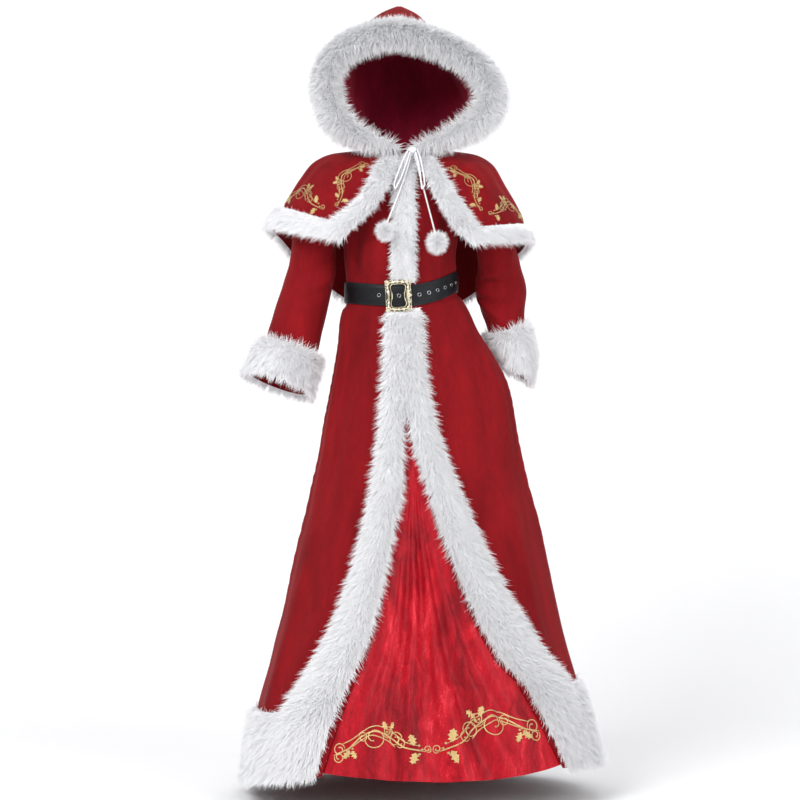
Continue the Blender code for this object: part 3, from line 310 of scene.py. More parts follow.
@dataclass(frozen=True)
class RingSurface(Surface):
    """Tube round the body, read by the angle and the share of the way down.

    Attributes:
        table: Half widths at each height.
        top: Heights of the upper edge at the left, front, right and back.
        bottom: Heights of the lower edge.
        swells: Large soft folds: angle, half width, depth, start, full and end.
    """

    table: Table
    top: tuple[float, float, float, float]
    bottom: tuple[float, float, float, float]
    swells: tuple[tuple[float, ...], ...] = ()

    def at(self, a: Any, b: Any) -> Array:
        """Point at an angle and a share of the way down."""
        theta, s = np.broadcast_arrays(np.asarray(a, float), np.asarray(b, float))
        read = {name: self.table.read(name, s) for name in RING[1:]}
        swell = np.zeros(theta.shape)
        for angle, half_width, depth, start, full, end in self.swells:
            turn = (np.degrees(theta) - angle + 180.0) % 360.0 - 180.0
            grown = smooth_step((s - start) / (full - start)) * smooth_step((end - s) / 0.10)
            swell = swell + depth * np.exp(-((turn / (0.55 * half_width)) ** 2)) * grown
        side = np.where(np.cos(theta) > 0, read["left"], read["right"]) + swell
        face = np.where(np.sin(theta) < 0, read["front"], read["back"]) + swell
        drop = around(theta, (read["drop_side"], read["drop_front"], read["drop_side"], read["drop_back"]))
        high, low = around(theta, self.top), around(theta, self.bottom)
        return np.stack((side * np.cos(theta), face * np.sin(theta), high + (low - high) * drop), axis=-1)

    def angle(self, x: Any, s: Any) -> Array:
        """Angle of the front point at a distance from the middle line.

        Args:
            x: Distances towards the wearer's left.
            s: Shares of the way down.

        Returns:
            Angles.
        """
        wide = np.where(x >= 0, self.table.read("left", s), self.table.read("right", s))
        return -np.arccos(np.clip(x / wide, -1.0, 1.0))


WAIST_Z = (-0.316, -0.3545, -0.343, -0.325)
BODICE = RingSurface(
    Table(RING, (
        (0.00, 0.0852, 0.0822, 0.0852, 0.0822, 0.000, 0.00, 0.00),
        (0.04, 0.0880, 0.0850, 0.0880, 0.0850, 0.022, 0.03, 0.03),
        (0.12, 0.1250, 0.0980, 0.1250, 0.1020, 0.055, 0.09, 0.07),
        (0.22, 0.1650, 0.1100, 0.1650, 0.1100, 0.115, 0.18, 0.15),
        (0.30, 0.1760, 0.1180, 0.1760, 0.1120, 0.200, 0.26, 0.24),
        (0.40, 0.1600, 0.1260, 0.1640, 0.1100, 0.310, 0.36, 0.35),
        (0.55, 0.1410, 0.1340, 0.1500, 0.1080, 0.500, 0.52, 0.52),
        (0.70, 0.1280, 0.1290, 0.1450, 0.1060, 0.680, 0.68, 0.68),
        (0.82, 0.1240, 0.1160, 0.1420, 0.1050, 0.820, 0.82, 0.82),
        (0.88, 0.1250, 0.1120, 0.1400, 0.1050, 0.880, 0.88, 0.88),
        (0.92, 0.1260, 0.1120, 0.1390, 0.1050, 0.920, 0.92, 0.92),
        (1.00, 0.1260, 0.1120, 0.1390, 0.1050, 1.000, 1.00, 1.00),
    )),
    top=(-0.003, -0.017, -0.003, 0.007),
    bottom=WAIST_Z,
    swells=(
        (-50.0, 14.0, 0.003, 0.45, 0.8, 0.88),
        (-128.0, 14.0, 0.003, 0.45, 0.8, 0.88),
        (60.0, 18.0, 0.003, 0.50, 0.8, 0.88),
        (120.0, 18.0, 0.003, 0.50, 0.8, 0.88),
    ),
)
SKIRT = RingSurface(
    Table(RING, (
        (0.0000, 0.126, 0.1120, 0.1390, 0.105, 0.0000, 0.0000, 0.0000),
        (0.0245, 0.126, 0.1120, 0.1390, 0.105, 0.0245, 0.0245, 0.0245),
        (0.0360, 0.138, 0.1125, 0.1480, 0.112, 0.0360, 0.0360, 0.0360),
        (0.0600, 0.155, 0.1200, 0.1540, 0.124, 0.0600, 0.0600, 0.0600),
        (0.1000, 0.176, 0.1300, 0.1570, 0.142, 0.1000, 0.1000, 0.1000),
        (0.1500, 0.212, 0.1400, 0.1650, 0.158, 0.1500, 0.1500, 0.1500),
        (0.2100, 0.247, 0.1490, 0.1780, 0.173, 0.2100, 0.2100, 0.2100),
        (0.3600, 0.281, 0.1800, 0.2085, 0.212, 0.3600, 0.3600, 0.3600),
        (0.5000, 0.322, 0.2160, 0.2480, 0.252, 0.5000, 0.5000, 0.5000),
        (0.7500, 0.385, 0.2840, 0.3165, 0.328, 0.7500, 0.7500, 0.7500),
        (0.8600, 0.420, 0.3160, 0.3495, 0.362, 0.8600, 0.8600, 0.8600),
        (1.0000, 0.460, 0.3500, 0.3720, 0.400, 1.0000, 1.0000, 1.0000),
    )),
    top=WAIST_Z,
    bottom=(-1.4765, -1.4635, -1.5185, -1.5315),
    swells=(
        (-8.0, 15.0, 0.010, 0.20, 1.0, 2.0),
        (27.0, 17.0, 0.016, 0.10, 1.0, 2.0),
        (62.0, 18.0, 0.020, 0.06, 1.0, 2.0),
        (101.0, 19.0, 0.022, 0.06, 1.0, 2.0),
        (139.0, 17.0, 0.018, 0.08, 1.0, 2.0),
        (172.0, 15.0, 0.012, 0.25, 1.0, 2.0),
        (203.0, 14.0, 0.012, 0.15, 1.0, 2.0),
        (24.0, 26.0, -0.022, 0.03, 0.12, 0.36),
    ),
)
CAPE = RingSurface(
    Table(RING, (
        (0.00, 0.086, 0.083, 0.086, 0.083, 0.00, 0.00, 0.00),
        (0.15, 0.125, 0.108, 0.125, 0.110, 0.02, 0.13, 0.06),
        (0.30, 0.170, 0.131, 0.172, 0.134, 0.05, 0.28, 0.16),
        (0.45, 0.212, 0.149, 0.216, 0.155, 0.15, 0.45, 0.30),
        (0.60, 0.242, 0.160, 0.250, 0.172, 0.36, 0.62, 0.47),
        (0.80, 0.284, 0.170, 0.290, 0.190, 0.70, 0.82, 0.73),
        (1.00, 0.300, 0.176, 0.325, 0.205, 1.00, 1.00, 1.00),
    )),
    top=(0.0, -0.014, 0.0, 0.010),
    bottom=(-0.232, -0.245, -0.195, -0.415),
    swells=(
        (20.0, 16.0, 0.006, 0.5, 1.0, 2.0),
        (60.0, 18.0, 0.010, 0.3, 1.0, 2.0),
        (100.0, 18.0, 0.009, 0.3, 1.0, 2.0),
        (138.0, 16.0, 0.010, 0.35, 1.0, 2.0),
        (168.0, 13.0, 0.005, 0.5, 1.0, 2.0),
    ),
)


def armhole_swing(off: Array) -> Array:
    """Half the armhole's angle.

    Args:
        off: Height from the armhole's middle, as a share of half its height.

    Returns:
        Angles.
    """
    return math.radians(38.0) * np.maximum(0.0, 1.0 - off * off) ** 0.75


ARMHOLE_MIDDLE = 0.36
ARMHOLE_HALF_DROP = 0.14
SLEEVE = ("s", "x", "y", "z", "across", "front_back")


@dataclass(frozen=True)
class SleeveSurface(Surface):
    """Sleeve from its armhole to the wrist, read by the angle round the arm and the share of its length.

    Attributes:
        side: Arm that it is for.
        table: Middles and radii.
        cuff_turn: How far the cuff's opening is turned outwards.
    """

    side: Side
    table: Table
    cuff_turn: float = 0.0

    @property
    def flip(self) -> float:
        """Sense of the outward direction."""
        return self.side.value

    def middle(self, s: Array) -> Array:
        """Middle line of the sleeve."""
        return np.stack([self.table.read(name, s) for name in ("x", "y", "z")], axis=-1)

    def armhole(self, turn: Array) -> Array:
        """Seam on the bodice.

        Args:
            turn: Angles round the arm; 0 is the shoulder tip.

        Returns:
            Points of the armhole.
        """
        s = ARMHOLE_MIDDLE - ARMHOLE_HALF_DROP * np.cos(turn)
        swing = armhole_swing(np.cos(turn)) * np.sign(np.sin(turn))
        theta = -swing if self.side is Side.LEFT else math.pi + swing
        return BODICE.at(theta, s) + BODICE.out(theta, s) * 0.0012

    def at(self, a: Any, b: Any) -> Array:
        """Point at an angle round the arm and a share of the length."""
        turn, s = np.broadcast_arrays(np.asarray(a, float), np.asarray(b, float))
        run = unit(self.middle(s + 0.02) - self.middle(s - 0.02))
        tip = self.cuff_turn * smooth_step((s - 0.80) / 0.20)
        turned = run[..., 0] * np.cos(tip) + run[..., 2] * np.sin(tip)
        lifted = run[..., 2] * np.cos(tip) - run[..., 0] * np.sin(tip)
        run = np.stack((turned, run[..., 1], lifted), axis=-1)
        face = unit(np.array((0.0, -1.0, 0.0)) + run * run[..., 1:2])
        outer = self.side.value * np.cross(face, run)
        across = (self.table.read("across", s) * np.cos(turn))[..., None]
        deep = (self.table.read("front_back", s) * np.sin(turn))[..., None]
        tube = self.middle(s) + across * outer + deep * face
        hole = self.armhole(turn)
        rim = self.armhole(np.linspace(0, 2 * math.pi, 64, endpoint=False)).mean(axis=0)
        hole = hole + unit(rim - hole) * 0.0005
        share = smooth_step(s / 0.16)[..., None]
        return hole * (1.0 - share) + tube * share


SLEEVES = (
    SleeveSurface(Side.LEFT, Table(SLEEVE, (
        (0.00, 0.172, -0.002, -0.100, 0.056, 0.068),
        (0.09, 0.197, 0.002, -0.125, 0.054, 0.067),
        (0.15, 0.209, 0.008, -0.152, 0.051, 0.066),
        (0.21, 0.214, 0.014, -0.182, 0.049, 0.064),
        (0.30, 0.219, 0.022, -0.218, 0.047, 0.062),
        (0.45, 0.229, 0.038, -0.277, 0.051, 0.059),
        (0.60, 0.237, 0.053, -0.336, 0.060, 0.056),
        (0.70, 0.240, 0.062, -0.376, 0.054, 0.053),
        (0.80, 0.248, 0.066, -0.420, 0.046, 0.050),
        (0.87, 0.261, 0.068, -0.462, 0.041, 0.050),
        (0.94, 0.272, 0.068, -0.506, 0.038, 0.050),
        (1.00, 0.270, 0.066, -0.546, 0.037, 0.050),
    )), cuff_turn=math.radians(38.0)),
    SleeveSurface(Side.RIGHT, Table(SLEEVE, (
        (0.00, -0.172, -0.002, -0.100, 0.056, 0.068),
        (0.09, -0.202, 0.001, -0.125, 0.055, 0.067),
        (0.15, -0.213, 0.004, -0.153, 0.053, 0.066),
        (0.21, -0.215, 0.007, -0.186, 0.052, 0.065),
        (0.30, -0.216, 0.008, -0.224, 0.053, 0.064),
        (0.42, -0.220, 0.008, -0.280, 0.056, 0.062),
        (0.54, -0.233, 0.004, -0.336, 0.059, 0.062),
        (0.68, -0.252, -0.006, -0.406, 0.062, 0.062),
        (0.80, -0.269, -0.018, -0.472, 0.064, 0.063),
        (0.90, -0.287, -0.028, -0.522, 0.069, 0.067),
        (1.00, -0.305, -0.038, -0.572, 0.075, 0.072),
    ))),
)

HOOD = ("u", "neck_angle", "top_y", "top_z", "half_width", "shoulder", "crown", "rise")


@dataclass(frozen=True)
class HoodSurface(Surface):
    """Hood of arches: v from the right neck (-1) over the crown (0) to the left neck (1), u from face to nape."""

    table: Table = Table(HOOD, (
        (0.00, -82.0, -0.105, 0.258, 0.205, 1.34, 1.12, 0.20),
        (0.13, -58.0, -0.058, 0.296, 0.206, 1.34, 1.00, 0.20),
        (0.35, -25.0, 0.015, 0.330, 0.190, 1.32, 0.75, 0.20),
        (0.55, 0.0, 0.085, 0.358, 0.165, 1.25, 0.62, 0.25),
        (0.70, 18.0, 0.145, 0.322, 0.148, 1.20, 0.70, 0.28),
        (0.85, 30.0, 0.172, 0.200, 0.125, 1.15, 0.90, 0.30),
        (0.95, 38.0, 0.140, 0.080, 0.095, 1.10, 1.00, 0.32),
        (1.00, 42.0, 0.083, 0.010, 0.066, 1.00, 1.00, 0.33),
    ))
    leans: Table = Table(("z", "x"), (
        (-0.05, 0.000), (0.02, 0.004), (0.10, 0.014), (0.18, 0.000), (0.26, -0.022), (0.37, -0.010),
    ))
    measure = 1.0
    flip = 1.0

    def neck(self, theta: Array) -> Array:
        """Neck seam at angles round the body."""
        high = around(theta, (0.0, -0.014, 0.0, 0.010))
        return np.stack((0.086 * np.cos(theta), 0.083 * np.sin(theta), high), axis=-1)

    def at(self, a: Any, b: Any) -> Array:
        """Point at a place over the arch and a share of the way back."""
        v, u = np.broadcast_arrays(np.asarray(a, float), np.asarray(b, float))
        side = np.where(v < 0, -1.0, 1.0)
        t = 1.0 - np.abs(v)
        read = {name: self.table.read(name, u) for name in HOOD[1:]}
        start = np.radians(read["neck_angle"])
        neck = self.neck(start)

        def arc(first: Any, second: Any, third: Any, fourth: Any) -> Array:
            """Cubic curve through four control values."""
            back = 1.0 - t
            return back ** 3 * first + 3 * back ** 2 * t * second + 3 * back * t ** 2 * third + t ** 3 * fourth

        wide = arc(neck[..., 0], read["shoulder"] * read["half_width"], read["crown"] * read["half_width"], 0.0)
        rise = arc(0.0, read["rise"], 0.93, 1.0)
        y = neck[..., 1] + (read["top_y"] - neck[..., 1]) * rise
        z = neck[..., 2] + (read["top_z"] - neck[..., 2]) * rise
        lean = self.leans.read("x", z) * smooth_step(t / 0.15)
        z = z + (0.0012 + 0.004 * smooth_step(1.0 - u / 0.35)) * (1.0 - t)
        arch = np.stack((side * wide + lean, y, z), axis=-1)
        nape = self.neck(start + (math.pi / 2 - start) * t)
        nape[..., 0] *= side
        nape[..., 2] += 0.0012
        share = smooth_step((u - 0.80) / 0.20)[..., None]
        return arch * (1.0 - share) + nape * share


# ---------------------------------------------------------------- node trees


class Tree:
    """Adds nodes to one node tree and joins their sockets."""

    def __init__(self, tree: bpy.types.NodeTree) -> None:
        """Keep the tree."""
        self.tree = tree

    def add(self, kind: str, inputs: Mapping[str | int, Any] | None = None, **settings: Any) -> Node:
        """Add one node.

        Args:
            kind: Type of the node.
            inputs: Values or sockets for its inputs, by name or number.
            **settings: Properties of the node.

        Returns:
            The node.
        """
        node = self.tree.nodes.new(kind)
        for name, value in settings.items():
            setattr(node, name, value)
        for key, value in (inputs or {}).items():
            if isinstance(value, Socket):
                self.tree.links.new(value, node.inputs[key])
            else:
                node.inputs[key].default_value = value
        return node

    def math(self, operation: str, first: Any, second: Any = 0.0) -> Socket:
        """Number worked out from one or two others."""
        return self.add("ShaderNodeMath", {0: first, 1: second}, operation=operation).outputs[0]

    def vector(self, operation: str, first: Any, second: Any = None) -> Socket:
        """Vector worked out from one or two others; SCALE takes a number second."""
        inputs = {0: first}
        if second is not None:
            inputs["Scale" if operation == "SCALE" else 1] = second
        node = self.add("ShaderNodeVectorMath", inputs, operation=operation)
        return node.outputs["Value" if operation == "DOT_PRODUCT" else "Vector"]

    def weigh(self, *terms: tuple[Any, float]) -> Socket:
        """Sum of values, each times its weight."""
        parts = [self.math("MULTIPLY", value, weight) for value, weight in terms]
        total = parts[0]
        for part in parts[1:]:
            total = self.math("ADD", total, part)
        return total

    def noise(self, place: Any, scale: float, detail: float = 2.0, **inputs: float) -> Socket:
        """Cloudy values from 0 to 1."""
        values = {"Vector": place, "Scale": scale, "Detail": detail}
        values.update({name.title(): value for name, value in inputs.items()})
        return self.add("ShaderNodeTexNoise", values).outputs[0]

    def stretched(self, place: Any, scale: Point, turn: Point = (0.0, 0.0, 0.0)) -> Socket:
        """Coordinates scaled and turned."""
        return self.add("ShaderNodeMapping", {"Vector": place, "Scale": scale, "Rotation": turn}).outputs[0]

    def ramp(self, value: Any, *stops: tuple[float, Colour]) -> Socket:
        """Colour for a value.

        Args:
            value: Number from 0 to 1.
            *stops: Positions and their colours.

        Returns:
            The colour socket.
        """
        node = self.add("ShaderNodeValToRGB", {0: value})
        points = node.color_ramp.elements
        while len(points) < len(stops):
            points.new(0.5)
        for point, (position, colour) in zip(points, stops):
            point.position, point.color = position, (*colour, 1.0)
        return node.outputs[0]

    def spread(self, value: Any, low: float, high: float) -> Socket:
        """Number from 0 to 1 stretched to another range."""
        return self.add("ShaderNodeMapRange", {0: value, 3: low, 4: high}).outputs[0]

    def attribute(self, name: str, kind: str) -> Socket:
        """Value of a named attribute, in a Geometry Nodes tree."""
        return self.add("GeometryNodeInputNamedAttribute", {"Name": name}, data_type=kind).outputs[0]

    def random(self, low: float, high: float, seed: Any) -> Socket:
        """Random number for each element, in a Geometry Nodes tree."""
        return self.add("FunctionNodeRandomValue", {2: low, 3: high, "Seed": seed}, data_type="FLOAT").outputs[1]


class NodeGroup(Tree):
    """Geometry Nodes tree with named inputs."""

    def __init__(self, name: str, inputs: Mapping[str, str]) -> None:
        """Make the tree.

        Args:
            name: Name of the tree.
            inputs: Types of its inputs by name; the geometry comes first and isn't among them.
        """
        super().__init__(bpy.data.node_groups.new(name, "GeometryNodeTree"))
        face = self.tree.interface
        face.new_socket("Geometry", in_out="OUTPUT", socket_type="NodeSocketGeometry")
        for socket, kind in {"Geometry": "Geometry", **inputs}.items():
            face.new_socket(socket, in_out="INPUT", socket_type="NodeSocket" + kind)
        self.sockets = {item.name: item.identifier for item in face.items_tree if item.in_out == "INPUT"}
        self.given = self.add("NodeGroupInput").outputs

    def finish(self, geometry: Socket, material: Socket) -> None:
        """Give the geometry its material and hand it out."""
        made = self.add("GeometryNodeSetMaterial", {0: geometry, "Material": material}).outputs[0]
        self.add("NodeGroupOutput", {0: made})

    def run(self, piece: Piece, values: Mapping[str, Any]) -> None:
        """Run the tree on a piece and keep what it makes.

        Args:
            piece: The piece.
            values: Values of the inputs by name.
        """
        modifier = piece.modifiers.new("nodes", "NODES")
        modifier.node_group = self.tree
        for name, value in values.items():
            modifier[self.sockets[name]] = value
        keep_result(piece)


def keep_result(piece: Piece) -> None:
    """Turn a piece into the plain mesh that its modifiers make of it."""
    bpy.context.view_layer.update()
    graph = bpy.context.evaluated_depsgraph_get()
    mesh = bpy.data.meshes.new_from_object(piece.evaluated_get(graph), preserve_all_data_layers=True, depsgraph=graph)
    piece.modifiers.clear()
    piece.data = mesh


@dataclass(frozen=True)
class Finish:
    """Finish of one kind of piece.

    Attributes:
        name: Name of the material.
        slot: Material slot of the record, or an empty string.
    """

    name: str
    slot: str

    def material(self) -> bpy.types.Material:
        """Return the material, made once.

        Returns:
            A node material.
        """
        made = bpy.data.materials.get("look_" + self.name)
        if made is None:
            made = bpy.data.materials.new("look_" + self.name)
            made.use_nodes = True
            tree = Tree(made.node_tree)
            place = tree.add("ShaderNodeTexCoord").outputs["Object"]
            self.paint(tree, made.node_tree.nodes["Principled BSDF"], place)
        return made

    def paint(self, tree: Tree, shader: Node, place: Socket) -> None:
        """Set up the shader.

        Args:
            tree: Tree of the material.
            shader: Its Principled shader.
            place: Object coordinates.
        """
        raise NotImplementedError

    @staticmethod
    def settle(tree: Tree, shader: Node, inputs: Mapping[str, Any]) -> None:
        """Set or link the shader's sockets."""
        for name, value in inputs.items():
            if isinstance(value, Socket):
                tree.tree.links.new(value, shader.inputs[name])
            else:
                shader.inputs[name].default_value = value

    @staticmethod
    def bump(tree: Tree, height: Any, strength: float, distance: float, under: Any = None) -> Socket:
        """Small relief from a height."""
        inputs = {"Height": height, "Strength": strength, "Distance": distance}
        if under is not None:
            inputs["Normal"] = under
        return tree.add("ShaderNodeBump", inputs).outputs[0]


@dataclass(frozen=True)
class Velvet(Finish):
    """Matte pile cloth whose tone shifts a little in long upright bands and patches.

    Attributes:
        dark: Colour of its darker bands and patches.
        light: Colour of its lighter bands and patches.
        sheen: Weight of its sheen.
    """

    dark: Colour = (0.120, 0.0022, 0.0045)
    light: Colour = (0.235, 0.0055, 0.0085)
    sheen: float = 0.11

    def paint(self, tree: Tree, shader: Node, place: Socket) -> None:
        """Set up banded tone, fine pile and sheen."""
        bands = tree.noise(tree.stretched(place, (14.0, 14.0, 2.4)), 1.0, 3.0, distortion=0.6)
        brushed = tree.noise(tree.stretched(place, (70.0, 70.0, 22.0)), 1.0, 4.0, distortion=1.2)
        pile = tree.noise(place, 1500.0, 2.0)
        tone = tree.weigh((bands, 0.55), (brushed, 0.30), (pile, 0.22))
        middle = tuple((d + l) / 2 for d, l in zip(self.dark, self.light))
        colour = tree.ramp(tone, (0.36, self.dark), (0.53, middle), (0.70, self.light))
        relief = self.bump(tree, pile, 0.25, 0.0006)
        relief = self.bump(tree, brushed, 0.10, 0.004, relief)
        self.settle(tree, shader, {
            "Base Color": colour, "Roughness": tree.spread(brushed, 0.74, 0.92), "Normal": relief,
            "Sheen Weight": self.sheen, "Sheen Roughness": 0.45, "Sheen Tint": (1.0, 0.25, 0.25, 1.0),
            "Specular IOR Level": 0.10,
        })


@dataclass(frozen=True)
class CrushedVelvet(Finish):
    """Shiny crushed velvet with bright and dark streaks that run down it; its brightest streaks are painted
    highlights.
    """

    def paint(self, tree: Tree, shader: Node, place: Socket) -> None:
        """Set up streaks in colour, gloss and relief; the brightest streaks in the colour are painted highlights."""
        wander = tree.noise(place, 13.0, 3.0)
        shift = tree.vector("SCALE", tree.add("ShaderNodeCombineXYZ", {0: wander, 1: wander}).outputs[0], 0.045)
        bent = tree.vector("ADD", place, shift)
        streaks = tree.noise(tree.stretched(bent, (70.0, 70.0, 14.0)), 1.0, 4.0, roughness=0.6, distortion=0.5)
        wide = tree.noise(tree.stretched(bent, (19.0, 19.0, 3.2)), 1.0, 2.0, distortion=0.5)
        flecks = tree.noise(tree.stretched(place, (1.0, 1.0, 0.45)), 420.0, 3.0, roughness=0.7)
        tone = tree.weigh((streaks, 0.30), (wide, 0.46), (flecks, 0.26))
        # The top stop paints highlights into the brightest streaks; the lower stops are the cloth's own dark and mid
        # reds.
        colour = tree.ramp(
            tone, (0.40, (0.17, 0.0015, 0.005)), (0.49, (0.29, 0.003, 0.009)),
            (0.58, (0.42, 0.006, 0.014)), (0.68, (0.72, 0.040, 0.062)),
        )
        relief = self.bump(tree, streaks, 0.45, 0.004)
        relief = self.bump(tree, flecks, 0.22, 0.0008, relief)
        self.settle(tree, shader, {
            "Base Color": colour, "Roughness": tree.spread(streaks, 0.55, 0.30), "Normal": relief,
            "Sheen Weight": 0.22, "Sheen Roughness": 0.30, "Sheen Tint": (1.0, 0.22, 0.28, 1.0),
            "Specular IOR Level": 0.30, "Specular Tint": (1.0, 0.45, 0.50, 1.0),
        })


@dataclass(frozen=True)
class FauxFur(Finish):
    """White pile with painted shade that greys it at its roots, and a tone of its own for each strand."""

    def paint(self, tree: Tree, shader: Node, place: Socket) -> None:
        """Set up the painted shade at the roots and the lighter tips."""
        along = tree.add("ShaderNodeAttribute", attribute_name="along").outputs["Fac"]
        tone = tree.add("ShaderNodeAttribute", attribute_name="tone").outputs["Fac"]
        cloud = tree.noise(place, 55.0, 3.0)
        # Grey where along is low is painted shade at the roots; the backing, which has no along, takes it too.
        colour = tree.ramp(
            tree.weigh((along, 0.55), (tone, 0.20), (cloud, 0.30)),
            (0.06, (0.60, 0.60, 0.63)), (0.28, (0.80, 0.80, 0.815)), (0.62, (0.865, 0.865, 0.875)),
        )
        self.settle(tree, shader, {
            "Base Color": colour, "Roughness": 0.62, "Specular IOR Level": 0.25, "Sheen Weight": 0.25,
            "Sheen Roughness": 0.5, "Normal": self.bump(tree, tree.noise(place, 700.0, 3.0), 0.3, 0.001),
        })


@dataclass(frozen=True)
class Leather(Finish):
    """Black leather with a grain, lighter where a piece marks its edges."""

    def paint(self, tree: Tree, shader: Node, place: Socket) -> None:
        """Set up grain, rubbed patches and gloss."""
        grain = tree.add("ShaderNodeTexVoronoi", {"Vector": place, "Scale": 950.0}).outputs["Distance"]
        rubbed = tree.noise(tree.stretched(place, (26.0, 26.0, 90.0)), 1.0, 4.0, distortion=0.8)
        edge = tree.add("ShaderNodeAttribute", attribute_name="edge").outputs["Fac"]
        # The edge mark makes the leather lighter; the strap sets it on its edges and on the ridges beside its pressed
        # lines.
        tone = tree.weigh((rubbed, 0.7), (edge, 0.45))
        colour = tree.ramp(tone, (0.30, (0.0025, 0.003, 0.004)), (0.60, (0.006, 0.007, 0.009)),
                           (0.95, (0.020, 0.022, 0.027)))
        relief = self.bump(tree, grain, 0.35, 0.0006)
        relief = self.bump(tree, rubbed, 0.35, 0.003, relief)
        self.settle(tree, shader, {
            "Base Color": colour, "Roughness": tree.spread(rubbed, 0.36, 0.56), "Normal": relief,
            "Coat Weight": 0.03, "Coat Roughness": 0.30, "Specular IOR Level": 0.20,
        })


@dataclass(frozen=True)
class AgedMetal(Finish):
    """Cast or rolled metal, darker in its hollows, with a soft patina.

    Attributes:
        dark: Colour of the hollows.
        light: Colour of what is rubbed bright.
        rough: Lowest and highest roughness.
    """

    dark: Colour = (0.10, 0.07, 0.03)
    light: Colour = (0.78, 0.64, 0.38)
    rough: tuple[float, float] = (0.22, 0.46)

    def paint(self, tree: Tree, shader: Node, place: Socket) -> None:
        """Set up patina and hollows."""
        patina = tree.noise(place, 260.0, 4.0)
        hollow = tree.add("ShaderNodeAttribute", attribute_name="edge").outputs["Fac"]
        tone = tree.weigh((patina, 0.6), (hollow, 0.5))
        middle = tuple(0.35 * d + 0.65 * l for d, l in zip(self.dark, self.light))
        colour = tree.ramp(tone, (0.30, self.dark), (0.50, middle), (0.80, self.light))
        scratch = tree.noise(tree.stretched(place, (1.0, 1.0, 6.0)), 700.0, 3.0)
        self.settle(tree, shader, {
            "Base Color": colour, "Metallic": 1.0, "Roughness": tree.spread(patina, *self.rough),
            "Normal": self.bump(tree, scratch, 0.14, 0.0004),
        })


@dataclass(frozen=True)
class Thread(Finish):
    """Twisted thread or cord with a satin gloss.

    Attributes:
        dark: Colour between the stitches, painted there as shade.
        light: Colour of the stitches.
        metallic: How metallic it is.
        scale: How fine the stitches are.
    """

    dark: Colour = (0.58, 0.58, 0.62)
    light: Colour = (0.90, 0.90, 0.92)
    metallic: float = 0.0
    scale: float = 1400.0

    def paint(self, tree: Tree, shader: Node, place: Socket) -> None:
        """Set up slanted stitches, with painted shade between them."""
        slant = tree.stretched(place, (1.0, 1.0, 1.0), (0.0, 0.7, 0.0))
        stitch = tree.add("ShaderNodeTexWave", {
            "Vector": slant, "Scale": self.scale / 10.0, "Distortion": 2.0, "Detail": 2.0, "Detail Scale": 2.0,
        }).outputs["Fac"]
        cloud = tree.noise(place, 120.0, 2.0)
        # Low stitch values paint shade between the stitches; the cloud adds random tone.
        tone = tree.weigh((stitch, 0.6), (cloud, 0.4))
        self.settle(tree, shader, {
            "Base Color": tree.ramp(tone, (0.15, self.dark), (0.75, self.light)), "Metallic": self.metallic,
            "Roughness": tree.spread(cloud, 0.30, 0.48), "Sheen Weight": 0.2,
            "Normal": self.bump(tree, stitch, 0.5, 0.0005),
        })


@dataclass(frozen=True)
class FloorPaper(Finish):
    """Pale studio floor, clear on its outer side so that it never hides the gown; its faces turn outwards."""

    def paint(self, tree: Tree, shader: Node, place: Socket) -> None:
        """Set up a faintly uneven pale grey."""
        cloud = tree.noise(place, 1.2, 2.0)
        colour = tree.ramp(cloud, (0.3, (0.865, 0.865, 0.87)), (0.7, (0.885, 0.885, 0.89)))
        self.settle(tree, shader, {"Base Color": colour, "Roughness": 0.8})
        inside = tree.add("ShaderNodeNewGeometry").outputs["Backfacing"]
        clear = tree.add("ShaderNodeBsdfTransparent").outputs[0]
        mixed = tree.add("ShaderNodeMixShader", {0: inside, 1: clear, 2: shader.outputs[0]}).outputs[0]
        tree.tree.links.new(mixed, tree.tree.nodes["Material Output"].inputs["Surface"])


VELVET = Velvet("velvet", "velvet")
HOOD_INSIDE = Velvet("velvet_inside", "velvet", dark=(0.125, 0.0025, 0.013), light=(0.26, 0.007, 0.028), sheen=0.20)
PANNE = CrushedVelvet("panne", "panne_velvet")
FUR = FauxFur("pile", "fur")
LEATHER = Leather("leather", "leather")
BUCKLE_METAL = AgedMetal("cast", "buckle_metal", (0.045, 0.036, 0.022), (0.80, 0.73, 0.55), (0.24, 0.44))
EYELET_METAL = AgedMetal("rolled", "eyelet_metal", (0.30, 0.30, 0.32), (0.80, 0.80, 0.83), (0.16, 0.34))
CORD = Thread("cord", "cord")
GOLD_THREAD = Thread("gold", "", (0.30, 0.18, 0.055), (0.74, 0.54, 0.24), 0.55, 2200.0)
LINING = Velvet("lining", "lining", dark=(0.09, 0.004, 0.006), light=(0.20, 0.010, 0.014), sheen=0.1)


# ---------------------------------------------------------------- meshes


def ring_faces(rings: int, sides: int, closed: bool = False) -> Faces:
    """Join rings of points.

    Args:
        rings: Number of rings.
        sides: Points of a ring.
        closed: Whether the last ring joins the first; if not, both ends are filled.

    Returns:
        The faces.
    """
    faces: Faces = []
    for j in range(rings if closed else rings - 1):
        low, high = j * sides, (j + 1) % rings * sides
        faces += [(low + i, low + (i + 1) % sides, high + (i + 1) % sides, high + i) for i in range(sides)]
    if not closed:
        last = (rings - 1) * sides
        faces += [tuple(range(sides)), tuple(range(last, last + sides))]
    return faces


def join(parts: Sequence[Part]) -> Part:
    """Join the points and faces of several parts."""
    faces: Faces = []
    first = 0
    for points, sides in parts:
        faces += [tuple(i + first for i in side) for side in sides]
        first += len(points)
    return np.concatenate([points for points, _ in parts]), faces


def columns_between(spans: Sequence[tuple[Array, Array, int]], fine: int) -> Array:
    """Columns of a net.

    Args:
        spans: Pairs of edges, with the pattern cells between them.
        fine: Net cells to one cell of the pattern.

    Returns:
        The first measure of each point, with a column for each net line.
    """
    lines = [spans[0][0]]
    for start, end, cells in spans:
        count = cells * fine
        lines += [start + (end - start) * k / count for k in range(1, count + 1)]
    return np.stack(lines, axis=1)


